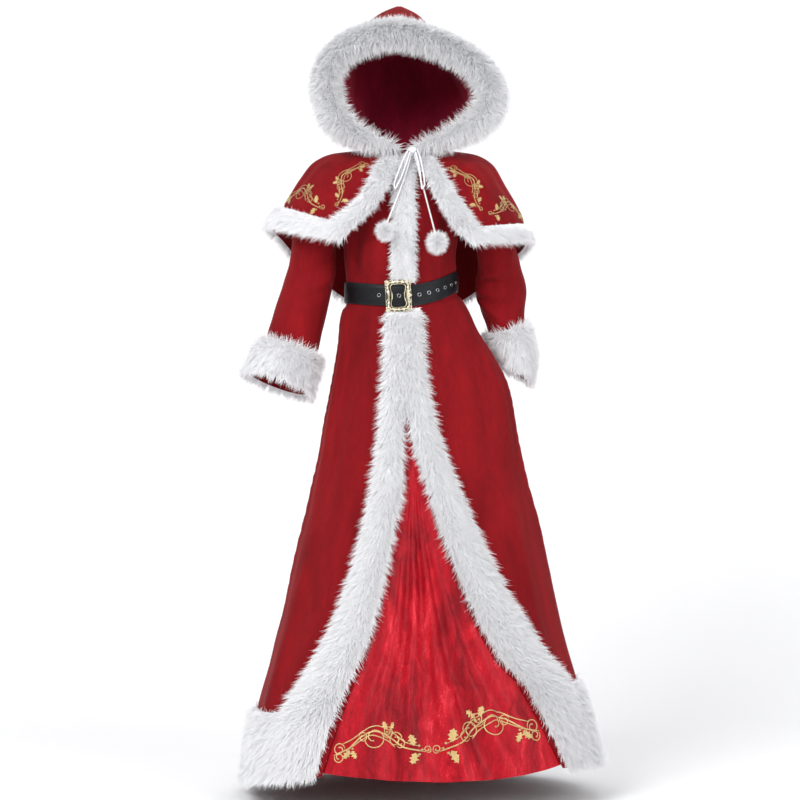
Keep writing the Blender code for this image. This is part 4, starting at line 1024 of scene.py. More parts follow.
def add_object(name: str, points: Array, faces: Sequence[Sequence[int]], finishes: Sequence[Finish],
               marks: Mapping[str, Array] | None = None, inside: Sequence[int] = (),
               sharp: float = 50.0) -> Piece:
    """Make a smooth mesh object with its faces turned outwards.

    Args:
        name: Name of the piece.
        points: Vertices.
        faces: Vertex numbers of each face.
        finishes: Its finishes, the first for all faces.
        marks: Point attributes by name, of numbers or vectors.
        inside: Numbers of the faces that take the second finish.
        sharp: Angle in degrees past which an edge stays sharp.

    Returns:
        The linked object.
    """
    name = name + "_" + finishes[0].name
    mesh = bpy.data.meshes.new(name)
    mesh.from_pydata(np.asarray(points, float).tolist(), [], [list(map(int, face)) for face in faces])
    for number in inside:
        mesh.polygons[number].material_index = 1
    for mark, values in (marks or {}).items():
        values = np.asarray(values, np.float32)
        vectors = values.ndim == 2
        layer = mesh.attributes.new(mark, "FLOAT_VECTOR" if vectors else "FLOAT", "POINT")
        layer.data.foreach_set("vector" if vectors else "value", values.ravel())
    work = bmesh.new()
    work.from_mesh(mesh)
    bmesh.ops.recalc_face_normals(work, faces=work.faces)
    work.to_mesh(mesh)
    work.free()
    for finish in finishes:
        mesh.materials.append(finish.material())
    mesh.shade_smooth()
    mesh.set_sharp_from_angle(angle=math.radians(sharp))
    made = bpy.data.objects.new(name, mesh)
    bpy.context.scene.collection.objects.link(made)
    return made


def dress(piece: Piece, slot: str, *nodes: str) -> Piece:
    """Hang a piece on the garment's body and hide the solids that it replaces.

    Args:
        piece: The finished piece.
        slot: Not used.
        *nodes: Solids that it replaces.

    Returns:
        The piece.
    """
    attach(piece, "root")
    if nodes:
        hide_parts(*nodes)
    mesh = piece.data
    mesh.calc_loop_triangles()
    LOG.info("%s: %d triangles", piece.name, len(mesh.loop_triangles))
    return piece


@dataclass(frozen=True)
class Cut:
    """Cloth as it was cut.

    Attributes:
        width: Widest part of the cut, in metres.
        length: Its length.
        area: Its flat area, or None for a rectangle.
        held: How it is held.
    """

    width: float
    length: float
    area: float | None
    held: str

    def declare(self, piece: Piece, rests_on: Sequence[Any],
                trims: Sequence[Piece] = ()) -> None:
        """Log a piece's shell area with this cut's size.

        Args:
            piece: The cloth.
            rests_on: Not used.
            trims: Not used.
        """
        shell = sum(p.area for p in piece.data.polygons) / 2.0
        LOG.info("%s: shell %.4f m2, cut %.3f x %.3f m", piece.name, shell, self.width, self.length)


class Net:
    """Rows and columns of points on a surface, from which cloth and fur are cut."""

    def __init__(self, surface: Surface, a: Array, b: Array, fine: int = 1, closed: bool = False) -> None:
        """Lay the points.

        Args:
            surface: Surface of the garment.
            a: First measure of each point.
            b: Second measure of each point.
            fine: Net cells to one cell of the pattern.
            closed: Whether the last column joins the first.
        """
        self.surface, self.fine, self.closed = surface, fine, closed
        self.a, self.b = a, b
        self.points = surface.at(a, b)
        self.normals = surface.out(a, b)
        self.rows, self.columns = a.shape
        self.across = self.columns if closed else self.columns - 1

    def cells(self, rows: tuple[int | None, int | None] = (0, None),
              columns: tuple[int | None, int | None] = (0, None)) -> Array:
        """Mark cells between two rows and two columns of the pattern."""
        marked = np.zeros((self.rows - 1, self.across), bool)
        marked[slice(*(None if k is None else k * self.fine for k in rows)),
               slice(*(None if k is None else k * self.fine for k in columns))] = True
        return marked

    def depth(self, cells: Array, most: int, open_sides: Array | None = None) -> Array:
        """Count how far inside a marked region each vertex lies; the last row is a hem and no border.

        Args:
            cells: The marked region.
            most: Where the count stops.
            open_sides: Rows whose side edges aren't borders.

        Returns:
            Whole numbers, 0 on the border.
        """
        pad = most + 1
        held = np.pad(cells, ((0, 0), (pad, pad)), mode="wrap" if self.closed else "constant")
        if open_sides is not None:
            held[open_sides, :pad] = cells[open_sides, :1]
            held[open_sides, -pad:] = cells[open_sides, -1:]
        held = np.pad(held, ((0, pad), (0, 0)), mode="edge")
        total = np.zeros((held.shape[0] + 1, held.shape[1] + 1), int)
        for _ in range(most):
            count = np.zeros(total.shape, int)
            for down in (0, 1):
                for right in (0, 1):
                    count[down:down + held.shape[0], right:right + held.shape[1]] += held
            inner = count == 4
            total += inner
            held = inner[:-1, :-1] & inner[1:, :-1] & inner[:-1, 1:] & inner[1:, 1:]
        return total[:self.rows, pad:pad + self.columns]

    def ways(self) -> tuple[Array, Array]:
        """Directions across the columns and down the rows.

        Returns:
            Two arrays of unit vectors.
        """
        if self.closed:
            across = np.roll(self.points, -1, axis=1) - np.roll(self.points, 1, axis=1)
        else:
            across = np.gradient(self.points, axis=1)
        return unit(across), unit(np.gradient(self.points, axis=0))

    def shell(self, name: str, cells: Array, low: Any, high: Any, finishes: Sequence[Finish],
              marks: Mapping[str, Array] | None = None) -> Piece:
        """Make the closed body between two heights over the marked cells.

        Args:
            name: Name of the piece.
            cells: The marked region.
            low: Height of its inner side.
            high: Height of its outer side.
            finishes: Finish of the piece, and of its inner side where there are two.
            marks: Values for the outer side's points, 0 on the inner side.

        Returns:
            The piece.
        """
        low = np.broadcast_to(low, (self.rows, self.columns))[..., None]
        high = np.broadcast_to(high, (self.rows, self.columns))[..., None]
        size = self.rows * self.columns
        points = np.concatenate(((self.points + self.normals * high).reshape(-1, 3),
                                 (self.points + self.normals * low).reshape(-1, 3)))
        j, i = np.nonzero(cells)
        right = (i + 1) % self.columns
        quads = np.stack((j * self.columns + i, j * self.columns + right,
                          (j + 1) * self.columns + right, (j + 1) * self.columns + i), axis=1)
        edges: dict[tuple[int, int], bool] = {}
        for quad in quads.tolist():
            for start, end in zip(quad, quad[1:] + quad[:1]):
                if edges.pop((end, start), None) is None:
                    edges[(start, end)] = True
        rim = np.array([(s, e, e + size, s + size) for s, e in edges], int).reshape(-1, 4)
        faces = np.concatenate((quads, quads[:, ::-1] + size, rim))
        used, faces = np.unique(faces, return_inverse=True)
        kept = {}
        for mark, values in (marks or {}).items():
            flat = np.asarray(values, float).reshape(size, -1)
            kept[mark] = np.concatenate((flat, np.zeros_like(flat)))[used].squeeze()
        inside = range(len(quads), 2 * len(quads)) if len(finishes) > 1 else ()
        return add_object(name, points[used], faces.reshape(-1, 4), finishes, kept, inside)


# ---------------------------------------------------------------- fur


def cloth(net: Net, name: str, cells: Array, high: Array, inside: Sequence[Finish] = ()) -> Piece:
    """Make one piece of velvet.

    Args:
        net: Net of the garment.
        name: Name of the piece and of the solid that it replaces.
        cells: Its cells.
        high: Height of its outer side at each point.
        inside: Finish of its inner side, where it has one of its own.

    Returns:
        The piece.
    """
    return dress(net.shell(name, cells, high - CLOTH, high, (VELVET, *inside)), VELVET.slot, name)


@dataclass(frozen=True)
class Pile:
    """How a fur trim grows.

    Attributes:
        backing: Height of the dense underfur, in metres.
        length: Length of a strand.
        width: Width of a strand at its root.
        density: Strands to a square metre.
        lift: How far strands stand up from the backing.
        scatter: How far their directions differ.
        lock: Distance between the tips of two locks.
        pull: How far strands lean to the tip of their lock.
    """

    backing: float
    length: float = 0.026
    width: float = 0.00085
    density: float = 190000.0
    lift: float = 0.42
    scatter: float = 0.42
    lock: float = 0.017
    pull: float = 0.75


class FurTree(NodeGroup):
    """Geometry Nodes tree that grows strands from the points of a backing."""

    FIELDS = ("Density", "Length", "Width", "Lift", "Scatter", "Lock", "Pull")
    SHORTEST, LONGEST = 0.62, 1.15
    LENGTH_DRAW, TONE_DRAW = 7.0, 3.0

    def __init__(self) -> None:
        """Build the tree once."""
        numbers = dict.fromkeys(self.FIELDS, "Float")
        super().__init__("fur strands", {**numbers, "Seed": "Int", "Material": "Material"})
        self.build()

    def strand(self) -> Socket:
        """One strand: three slim faces that meet in a point, one unit long."""
        cone = self.add("GeometryNodeMeshCone", {
            "Vertices": 3, "Side Segments": 1, "Radius Top": 0.0, "Radius Bottom": 1.0, "Depth": 1.0,
        }, fill_type="NONE").outputs["Mesh"]
        # along runs from 0 at the root to 1 at the tip; the fur material paints shade near the roots from it.
        height = self.add("ShaderNodeSeparateXYZ", {0: self.add("GeometryNodeInputPosition").outputs[0]}).outputs[2]
        return self.add("GeometryNodeStoreNamedAttribute", {0: cone, "Name": "along", "Value": height},
                        data_type="FLOAT", domain="POINT").outputs[0]

    def build(self) -> None:
        """Join the nodes."""
        given = self.given
        density = self.math("MULTIPLY", given["Density"], self.attribute("grow", "FLOAT"))
        spread = self.add("GeometryNodeDistributePointsOnFaces", {
            "Mesh": given["Geometry"], "Density": density, "Seed": given["Seed"],
        }, distribute_method="RANDOM")
        normal = spread.outputs["Normal"]
        place = self.add("GeometryNodeInputPosition").outputs[0]
        comb = self.attribute("comb", "FLOAT_VECTOR")
        stray = self.add("FunctionNodeRandomValue", {
            0: (-1.0, -1.0, -1.0), 1: (1.0, 1.0, 1.0), "Seed": given["Seed"],
        }, data_type="FLOAT_VECTOR").outputs[0]
        way = self.vector("ADD", comb, self.vector("SCALE", normal, given["Lift"]))
        way = self.vector("NORMALIZE", self.vector("ADD", way, self.vector("SCALE", stray, given["Scatter"])))
        way = self.vector("SCALE", way, given["Length"])
        scale = self.math("DIVIDE", 1.0, given["Lock"])
        centre = self.add("ShaderNodeTexVoronoi", {"Vector": place, "Scale": scale}).outputs["Position"]
        pull = self.vector("SUBTRACT", centre, place)
        upright = self.vector("SCALE", normal, self.vector("DOT_PRODUCT", pull, normal))
        pull = self.vector("SCALE", self.vector("SUBTRACT", pull, upright), given["Pull"])
        tip = self.vector("ADD", way, pull)
        rotation = self.add("FunctionNodeAxesToRotation", {"Primary Axis": tip, "Secondary Axis": normal},
                            primary_axis="Z", secondary_axis="Y").outputs[0]
        long = self.random(self.SHORTEST, self.LONGEST, self.math("ADD", given["Seed"], self.LENGTH_DRAW))
        long = self.math("MULTIPLY", long, given["Length"])
        long = self.math("MULTIPLY", long, self.attribute("long", "FLOAT"))
        size = self.add("ShaderNodeCombineXYZ", {0: given["Width"], 1: given["Width"], 2: long}).outputs[0]
        grown = self.add("GeometryNodeInstanceOnPoints", {
            "Points": spread.outputs["Points"], "Instance": self.strand(), "Rotation": rotation, "Scale": size,
        }).outputs[0]
        tone = self.random(0.0, 1.0, self.math("ADD", given["Seed"], self.TONE_DRAW))
        grown = self.add("GeometryNodeStoreNamedAttribute", {0: grown, "Name": "tone", "Value": tone},
                         data_type="FLOAT", domain="INSTANCE").outputs[0]
        grown = self.add("GeometryNodeRealizeInstances", {0: grown}).outputs[0]
        # The backing joins with along at 0, so the fur material gives it the painted root shade.
        joined = self.add("GeometryNodeJoinGeometry")
        self.tree.links.new(grown, joined.inputs[0])
        self.tree.links.new(given["Geometry"], joined.inputs[0])
        self.finish(joined.outputs[0], given["Material"])

    def grow(self, backing: Piece, pile: Pile, seed: int) -> Piece:
        """Grow the strands of a trim and keep them as plain mesh.

        Args:
            backing: Mesh with the attributes grow, long and comb.
            pile: How the fur grows.
            seed: Choice of places.

        Returns:
            The same object with its strands.
        """
        self.run(backing, {
            **{name: getattr(pile, name.lower()) for name in self.FIELDS}, "Seed": seed, "Material": FUR.material()})
        return backing


@dataclass
class FurTrim:
    """Fur sewn on a net.

    Attributes:
        net: Net of the garment.
        region: All cells of the net that carry fur.
        pile: How the fur grows.
        tree: Grows the strands.
        rise: Cells from the border to the full height.
        trim: Border cells that only strands reach into.
        open_sides: Rows whose side edges aren't borders.
        press: Share of the height at each vertex.
        short: Where strands by a border are short.
        edge: Their length there, as a share.
    """

    net: Net
    region: Array
    pile: Pile
    tree: FurTree
    rise: int = 5
    trim: int = 1
    open_sides: Array | None = None
    press: Array | float = 1.0
    short: Array | bool = False
    edge: float = 0.45

    def piece(self, name: str, part: Array, comb: Array, seed: int) -> Piece:
        """Make one piece of the trim.

        Args:
            name: Name of the piece and of the solid that it replaces.
            part: Cells of this piece.
            comb: Direction of the pile at each vertex.
            seed: Choice of strands.

        Returns:
            The piece.
        """
        net = self.net
        depth = net.depth(self.region, self.rise + self.trim, self.open_sides)
        inner = depth >= self.trim
        joined = np.roll(inner, -1, axis=1) if net.closed else inner[:, 1:]
        whole = inner if net.closed else inner[:, :-1]
        kept = whole[:-1] & whole[1:] & joined[:-1] & joined[1:] & part
        share = 0.30 + 0.70 * smooth_step((depth - self.trim) / self.rise)
        lumps = 1.0 + 0.16 * ripple(net.points, 0.030, seed) + 0.10 * ripple(net.points, 0.012, seed + 1)
        press = np.broadcast_to(self.press, share.shape)
        high = SEAM_GAP + self.pile.backing * share * lumps * press
        border = self.edge + (1.0 - self.edge) * smooth_step((depth - self.trim) / 3.0)
        marks = {"grow": np.ones(share.shape), "comb": comb,
                 "long": np.clip(0.20 + 0.85 * press, 0.0, 1.0) * np.where(self.short, border, 1.0)}
        made = net.shell(name, kept, SEAM_GAP, high, (FUR,), marks)
        return dress(self.tree.grow(made, self.pile, seed), FUR.slot, name)


def band_comb(net: Net, share: Array, sideways: float, down: float) -> Array:
    """Comb a band away from its middle line and down.

    Args:
        net: Net of the band.
        share: Place across the band, from 0 to 1, in the sense of the net's columns.
        sideways: How far outwards.
        down: How far down.

    Returns:
        Directions.
    """
    across, along = net.ways()
    outwards = (share - 0.5) * 2.0 * sideways
    return across * outwards[..., None] + along * np.broadcast_to(down, share.shape)[..., None]


BAND = ("s", "right_outer", "right_inner", "left_inner", "left_outer")


@dataclass
class Wrap:
    """Pattern from the left front edge round the back to the right front edge, with a hem band.

    Attributes:
        surface: Surface of the garment.
        bands: Edges of the front bands, as distances from the middle line.
        stops: Pattern rows above the hem band.
        band_top: Where the hem band starts at the left, front, right and back.
        side_cells: Cells of one front beside its band.
        back_cells: Cells of the back.
        fine: Net cells to one cell of the pattern.
        hem: Where the cloth ends; strands reach the rest.
        band_cells: Cells of a front band.
    """

    surface: RingSurface
    bands: Table
    stops: tuple[float, ...]
    band_top: tuple[float, float, float, float]
    side_cells: int
    back_cells: int
    fine: int
    hem: float = 0.985
    band_cells: int = 3

    def lay(self, slit: Callable[[Array], Array] | None = None, behind: bool = False) -> Net:
        """Lay the net.

        Args:
            slit: Half opening of the left side seam at a share of the way down.
            behind: Whether the slit moves the back's edge, and not the front's.

        Returns:
            The net.
        """
        s = np.array(self.stops + (self.band_top[1], (self.band_top[1] + self.hem) / 2, self.hem), float)
        rows = refine(s, self.fine)
        edges = {name: self.surface.angle(self.bands.read(name, rows), rows) for name in BAND[1:]}
        flat = np.zeros_like(rows)
        marks = ((edges["left_inner"], edges["left_outer"], self.band_cells),
                 (edges["left_outer"], flat, self.side_cells),
                 (flat, flat + math.pi, self.back_cells),
                 (flat + math.pi, edges["right_outer"] + 2 * math.pi, self.side_cells),
                 (edges["right_outer"] + 2 * math.pi, edges["right_inner"] + 2 * math.pi, self.band_cells))
        theta = columns_between(marks, self.fine)
        places = np.repeat(s[:, None], theta.shape[1], axis=1)
        top = around(theta[-1], self.band_top)
        places[-3], places[-2] = top, (top + self.hem) / 2
        places = refine(places, self.fine)
        if slit is not None:
            seam = (self.band_cells + self.side_cells) * self.fine
            wide = self.side_cells * self.fine
            away = np.abs(np.arange(theta.shape[1]) - seam)
            share = np.clip(1.0 - away / wide, 0.0, 1.0)
            half = slit(places[:, seam])[:, None] * share
            theta = theta + half if behind else theta - half
        return Net(self.surface, theta, places, self.fine)

    @property
    def seams(self) -> tuple[int, int, int]:
        """Pattern columns of the left seam, the middle of the back and the right seam."""
        left = self.band_cells + self.side_cells
        return left, left + self.back_cells // 2, left + self.back_cells

    def seam(self, net: Net, column: int) -> Array:
        """How near each point is to the seam at a pattern column, from 0 to 1."""
        away = np.abs(np.arange(net.columns) - column * self.fine)[None, :]
        return np.exp(-((away / 0.8) ** 2))

    def shares(self, net: Net) -> tuple[Array, Array]:
        """Read where the points of this pattern lie.

        Args:
            net: Net of this pattern.

        Returns:
            Column of each point, and its place across its front band, 0.5 away from the bands.
        """
        band = self.band_cells * self.fine
        column = np.arange(net.columns)[None, :].astype(float)
        share = np.full((net.rows, net.columns), 0.5)
        share[:, :band + 1] = (column / band)[:, :band + 1]
        share[:, -band - 1:] = ((column - (net.columns - 1 - band)) / band)[:, -band - 1:]
        return column, share

    def comb(self, net: Net) -> Array:
        """Comb the front bands sideways and down, and the hem down.

        Args:
            net: Net of this pattern.

        Returns:
            Directions.
        """
        column, share = self.shares(net)
        apart = smooth_step((net.b - 0.20) / 0.20)
        inner = np.where(column < net.columns / 2, share < 0.5, share > 0.5)
        share = np.where(inner, 0.5 + (share - 0.5) * apart, share)
        top = len(self.stops) * self.fine
        under = np.clip((np.arange(net.rows) - top) / (2 * self.fine), 0.0, 1.0)[:, None]
        hem = smooth_step((net.b - 0.80) / 0.06)
        down = 0.80 * (1.0 - hem) + hem * (0.30 + 0.90 * smooth_step(under / 0.55))
        on_band = np.abs(share - 0.5) > 0
        down = np.where(on_band, np.maximum(down, 0.55), down)
        return band_comb(net, share, 0.85, down)


# ---------------------------------------------------------------- sub-assemblies


@dataclass
class Studio:
    """Camera, lights and floor.

    Attributes:
        eye: Place of the camera, which looks level along +Y.
        lens: Its focal length for a 36 mm sensor.
        aim: What the lights face.
        lights: Name, place, side and power in watts of each square soft light.
        sky: Colour of the light all round, and its strength.
        floor_z: Height of the floor.
        floor_half: Half its width.
        floor_front: Where it starts.
        sweep_from: Where it starts to curve up.
        sweep: Radius of the curve.
        sweep_top: Height of its upper edge.
    """

    eye: Point = (-0.0096, -6.0, -0.600)
    lens: float = 112.5
    aim: Point = (0.0, 0.0, -0.7)
    lights: tuple[tuple[str, Point, float, float], ...] = (
        ("key", (-2.6, -4.2, 2.4), 2.4, 225.0),
        ("fill", (3.4, -3.6, 0.4), 3.2, 110.0),
        ("back", (1.4, 3.2, 2.8), 2.4, 90.0),
    )
    sky: tuple[Colour, float] = ((0.92, 0.93, 0.95), 0.72)
    floor_z: float = -1.545
    floor_half: float = 7.0
    floor_front: float = -9.0
    sweep_from: float = 1.2
    sweep: float = 1.6
    sweep_top: float = 6.5

    def build(self) -> None:
        """Make all of it."""
        camera = bpy.data.cameras.new("camera")
        camera.lens, camera.sensor_width = self.lens, 36.0
        camera.clip_end = 50.0
        stand = bpy.data.objects.new("camera", camera)
        stand.location, stand.rotation_euler = self.eye, (math.pi / 2, 0.0, 0.0)
        bpy.context.scene.collection.objects.link(stand)
        bpy.context.scene.camera = stand
        for light in self.lights:
            self.light(*light)
        bpy.context.scene.view_settings.view_transform = "Standard"
        world = bpy.data.worlds.new("studio")
        world.use_nodes = True
        colour, strength = self.sky
        inputs = world.node_tree.nodes["Background"].inputs
        inputs["Color"].default_value, inputs["Strength"].default_value = (*colour, 1.0), strength
        bpy.context.scene.world = world
        self.floor()

    def light(self, name: str, place: Point, size: float, power: float) -> None:
        """Add a square soft light that faces the gown.

        Args:
            name: Name of the light.
            place: Where it stands.
            size: Its side, in metres.
            power: Its power, in watts.
        """
        lamp = bpy.data.lights.new(name, "AREA")
        lamp.size, lamp.energy = size, power
        made = bpy.data.objects.new(name, lamp)
        made.location = place
        made.rotation_euler = (Vector(self.aim) - Vector(place)).to_track_quat("-Z", "Y").to_euler()
        bpy.context.scene.collection.objects.link(made)

    def floor(self) -> None:
        """Add a floor that curves up behind the gown."""
        across = np.linspace(-self.floor_half, self.floor_half, 15)
        path = [(self.floor_front, 0.0), (self.sweep_from, 0.0)]
        path += [(self.sweep_from + self.sweep * math.sin(t), self.sweep - self.sweep * math.cos(t))
                 for t in np.linspace(0.1, math.pi / 2, 14)]
        path += [(self.sweep_from + self.sweep, self.sweep_top)]
        points = [(x, y, self.floor_z + z) for y, z in path for x in across]
        wide = len(across)
        faces = [(j * wide + i, j * wide + i + 1, (j + 1) * wide + i + 1, (j + 1) * wide + i)
                 for j in range(len(path) - 1) for i in range(wide - 1)]
        made = add_object("floor", np.array(points), faces, (FloorPaper("floor_paper", ""),))


@dataclass
class CordLine:
    """One free cord of the tie.

    Attributes:
        name: Name of the piece and of its solid.
        marks: Points that it passes.
        far_end: What is at its end.
    """

    name: str
    marks: tuple[Point, ...]
    far_end: str

    def route(self, spacing: float) -> Array:
        """Points along the smooth curve through the marks.

        Args:
            spacing: Distance between points.

        Returns:
            The points.
        """
        marks = np.array(self.marks)
        gaps = np.linalg.norm(np.diff(marks, axis=0), axis=1)
        keys = distances(marks)
        slopes = np.gradient(marks, keys, axis=0)
        points = []
        for at in np.linspace(0.0, keys[-1], int(round(keys[-1] / spacing)) + 1):
            k = min(int(np.searchsorted(keys, at, side="right")) - 1, len(gaps) - 1)
            t = (at - keys[k]) / gaps[k]
            points.append(hermite(t, gaps[k], (marks[k], marks[k + 1]), (slopes[k], slopes[k + 1])))
        return np.array(points)


def tube(route: Array, radius: Callable[[Array, Array], Array] | float, sides: int) -> Part:
    """Sweep a section along a route.

    Args:
        route: Points of the middle line.
        radius: Radius, or the radius for an angle and a distance along the route.
        sides: Points of the section.

    Returns:
        Points and faces, with both ends filled.
    """
    run = unit(np.gradient(route, axis=0))
    frame_x = np.zeros_like(route)
    start = np.cross(run[0], (0.0, 1.0, 0.0))
    frame_x[0] = start / np.linalg.norm(start)
    for k in range(1, len(route)):
        carried = frame_x[k - 1] - run[k] * (frame_x[k - 1] @ run[k])
        frame_x[k] = carried / np.linalg.norm(carried)
    frame_y = np.cross(run, frame_x)
    gone = distances(route)
    turn = np.linspace(0, 2 * math.pi, sides, endpoint=False)
    reach = radius(turn[None, :], gone[:, None])[..., None] if callable(radius) else radius
    points = (route[:, None] + reach * (np.cos(turn)[None, :, None] * frame_x[:, None]
                                        + np.sin(turn)[None, :, None] * frame_y[:, None])).reshape(-1, 3)
    return points, ring_faces(len(route), sides)


def ball(centre: Point, radii: Point, rings: int, sides: int) -> Part:
    """Make a rounded body.

    Args:
        centre: Its middle.
        radii: Its half sizes.
        rings: Rings of points between the poles.
        sides: Points of a ring.

    Returns:
        Points and faces.
    """
    points = [(0.0, 0.0, 1.0)]
    for j in range(1, rings + 1):
        lat = math.pi * j / (rings + 1)
        for i in range(sides):
            turn = 2 * math.pi * i / sides
            points.append((math.sin(lat) * math.cos(turn), math.sin(lat) * math.sin(turn), math.cos(lat)))
    points.append((0.0, 0.0, -1.0))
    faces: Faces = []
    last = len(points) - 1
    for i in range(sides):
        nxt = (i + 1) % sides
        faces.append((0, 1 + i, 1 + nxt))
        for j in range(rings - 1):
            a = 1 + j * sides
            faces.append((a + i, a + sides + i, a + sides + nxt, a + nxt))
        faces.append((last, 1 + (rings - 1) * sides + nxt, 1 + (rings - 1) * sides + i))
    return np.array(points) * np.array(radii) + np.array(centre), faces


@dataclass
class Tie:
    """Cords at the neck: a bow of two loops, and two tails with pompoms.

    Attributes:
        tree: Grows the strands.
        diameter: Of the cord.
        knot: Middle of the knot.
        knot_radii: Its half sizes.
        knot_cord: Radius of the cord in the knot.
        twist: Length of one turn of the cord's strands.
        pompoms: Name, middle and radius of each pompom.
        lines: The free cords.
    """

    tree: FurTree
    diameter: float = 0.004
    knot: Point = (0.0205, -0.1068, -0.0105)
    knot_radii: Point = (0.010, 0.006, 0.008)
    knot_cord: float = 0.0016
    twist: float = 0.012
    pompoms: tuple[tuple[str, Point, float], ...] = (
        ("pompom_right", (-0.0446, -0.163, -0.2045), 0.027),
        ("pompom_left", (0.0770, -0.166, -0.2326), 0.030),
    )
    lines: tuple[CordLine, ...] = (
        CordLine("tie_tail_right", (
            (0.0168, -0.1076, -0.0183), (0.010, -0.1175, -0.045), (0.001, -0.1255, -0.075),
            (-0.009, -0.1355, -0.105), (-0.020, -0.1435, -0.135), (-0.031, -0.149, -0.162),
            (-0.0401, -0.1555, -0.1853)), "fitting"),
        CordLine("tie_tail_left", (
            (0.0242, -0.1076, -0.0183), (0.031, -0.1175, -0.045), (0.038, -0.1255, -0.075),
            (0.046, -0.134, -0.105), (0.055, -0.140, -0.140), (0.064, -0.145, -0.175),
            (0.0724, -0.1519, -0.2085)), "fitting"),
        CordLine("tie_loop_right", (
            (0.0138, -0.1122, -0.0163), (0.006, -0.1245, -0.040), (-0.004, -0.1345, -0.070),
            (-0.015, -0.1415, -0.094), (-0.0215, -0.144, -0.104), (-0.0235, -0.145, -0.098),
            (-0.020, -0.1425, -0.082), (-0.010, -0.1325, -0.055), (0.000, -0.1225, -0.030),
            (0.0100, -0.1112, -0.0100)), "object"),
        CordLine("tie_loop_left", (
            (0.0272, -0.1122, -0.0163), (0.033, -0.1245, -0.040), (0.038, -0.1345, -0.070),
            (0.0405, -0.142, -0.094), (0.0425, -0.145, -0.105), (0.0465, -0.1455, -0.100),
            (0.047, -0.1425, -0.082), (0.043, -0.1325, -0.055), (0.038, -0.1225, -0.030),
            (0.0310, -0.1112, -0.0100)), "object"),
    )

    def build(self) -> None:
        """Make the knot, the pompoms and the cords."""
        self.build_knot()
        ends = {name.split("_")[1]: self.build_pompom(name, centre, radius, k)
                for k, (name, centre, radius) in enumerate(self.pompoms)}
        for line in self.lines:
            self.build_cord(line)

    def rope(self, turn: Array, gone: Array) -> Array:
        """Radius of a three-strand cord."""
        return self.diameter / 2 * (0.90 + 0.10 * np.cos(3.0 * turn - gone * 2 * math.pi / self.twist))

    def build_cord(self, line: CordLine) -> None:
        """Make one cord and log its length.

        Args:
            line: The cord.
        """
        route = line.route(0.0016)
        points, faces = tube(route, self.rope, 12)
        made = dress(add_object(line.name, points, faces, (CORD,)), CORD.slot, line.name)
        length = float(distances(route)[-1])
        LOG.info("%s: %.3f m long", line.name, length)
        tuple(line.marks[0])

    def build_knot(self) -> None:
        """Make the knot: a core with three turns of cord round it."""
        parts = [ball(self.knot, tuple(r * 0.86 for r in self.knot_radii), 9, 20)]
        for k, lean in enumerate((-0.5, 0.1, 0.7)):
            t = np.linspace(0, 2 * math.pi, 41)[:-1]
            loop = np.stack((np.cos(t) * self.knot_radii[0] * 0.55 + (k - 1) * 0.0028,
                             np.sin(t) * self.knot_radii[1] * 0.72,
                             np.sin(t + lean) * self.knot_radii[2] * 0.70), axis=1) + np.array(self.knot)
            loop = np.concatenate((loop, loop[:1] + 1e-5))
            parts.append(tube(loop, self.knot_cord, 8))
        dress(add_object("tie_knot", *join(parts), (CORD,)), CORD.slot, "tie_knot")

    def build_pompom(self, name: str, centre: Point, radius: float, seed: int) -> Piece:
        """Make one pompom.

        Args:
            name: Name of the piece and of its solid.
            centre: Its middle.
            radius: Its radius with its strands.
            seed: Choice of strands.

        Returns:
            The pompom.
        """
        points, faces = ball(centre, (radius * 0.46,) * 3, 14, 28)
        lumps = ripple(points, 0.018, 40 + seed) * radius * 0.06
        points = points + unit(points - np.array(centre)) * lumps[:, None]
        away = unit(points - np.array(centre)) * 0.6 + np.array((0.0, 0.0, -0.30))
        marks = {"grow": np.ones(len(points)), "long": np.ones(len(points)), "comb": away}
        made = add_object(name, points, faces, (FUR,), marks)
        pile = Pile(0.0, length=radius * 0.62, width=0.0009, density=560000.0, lift=0.8, scatter=0.75, lock=0.012,
                    pull=0.70)
        return dress(self.tree.grow(made, pile, 70 + seed), FUR.slot, name)


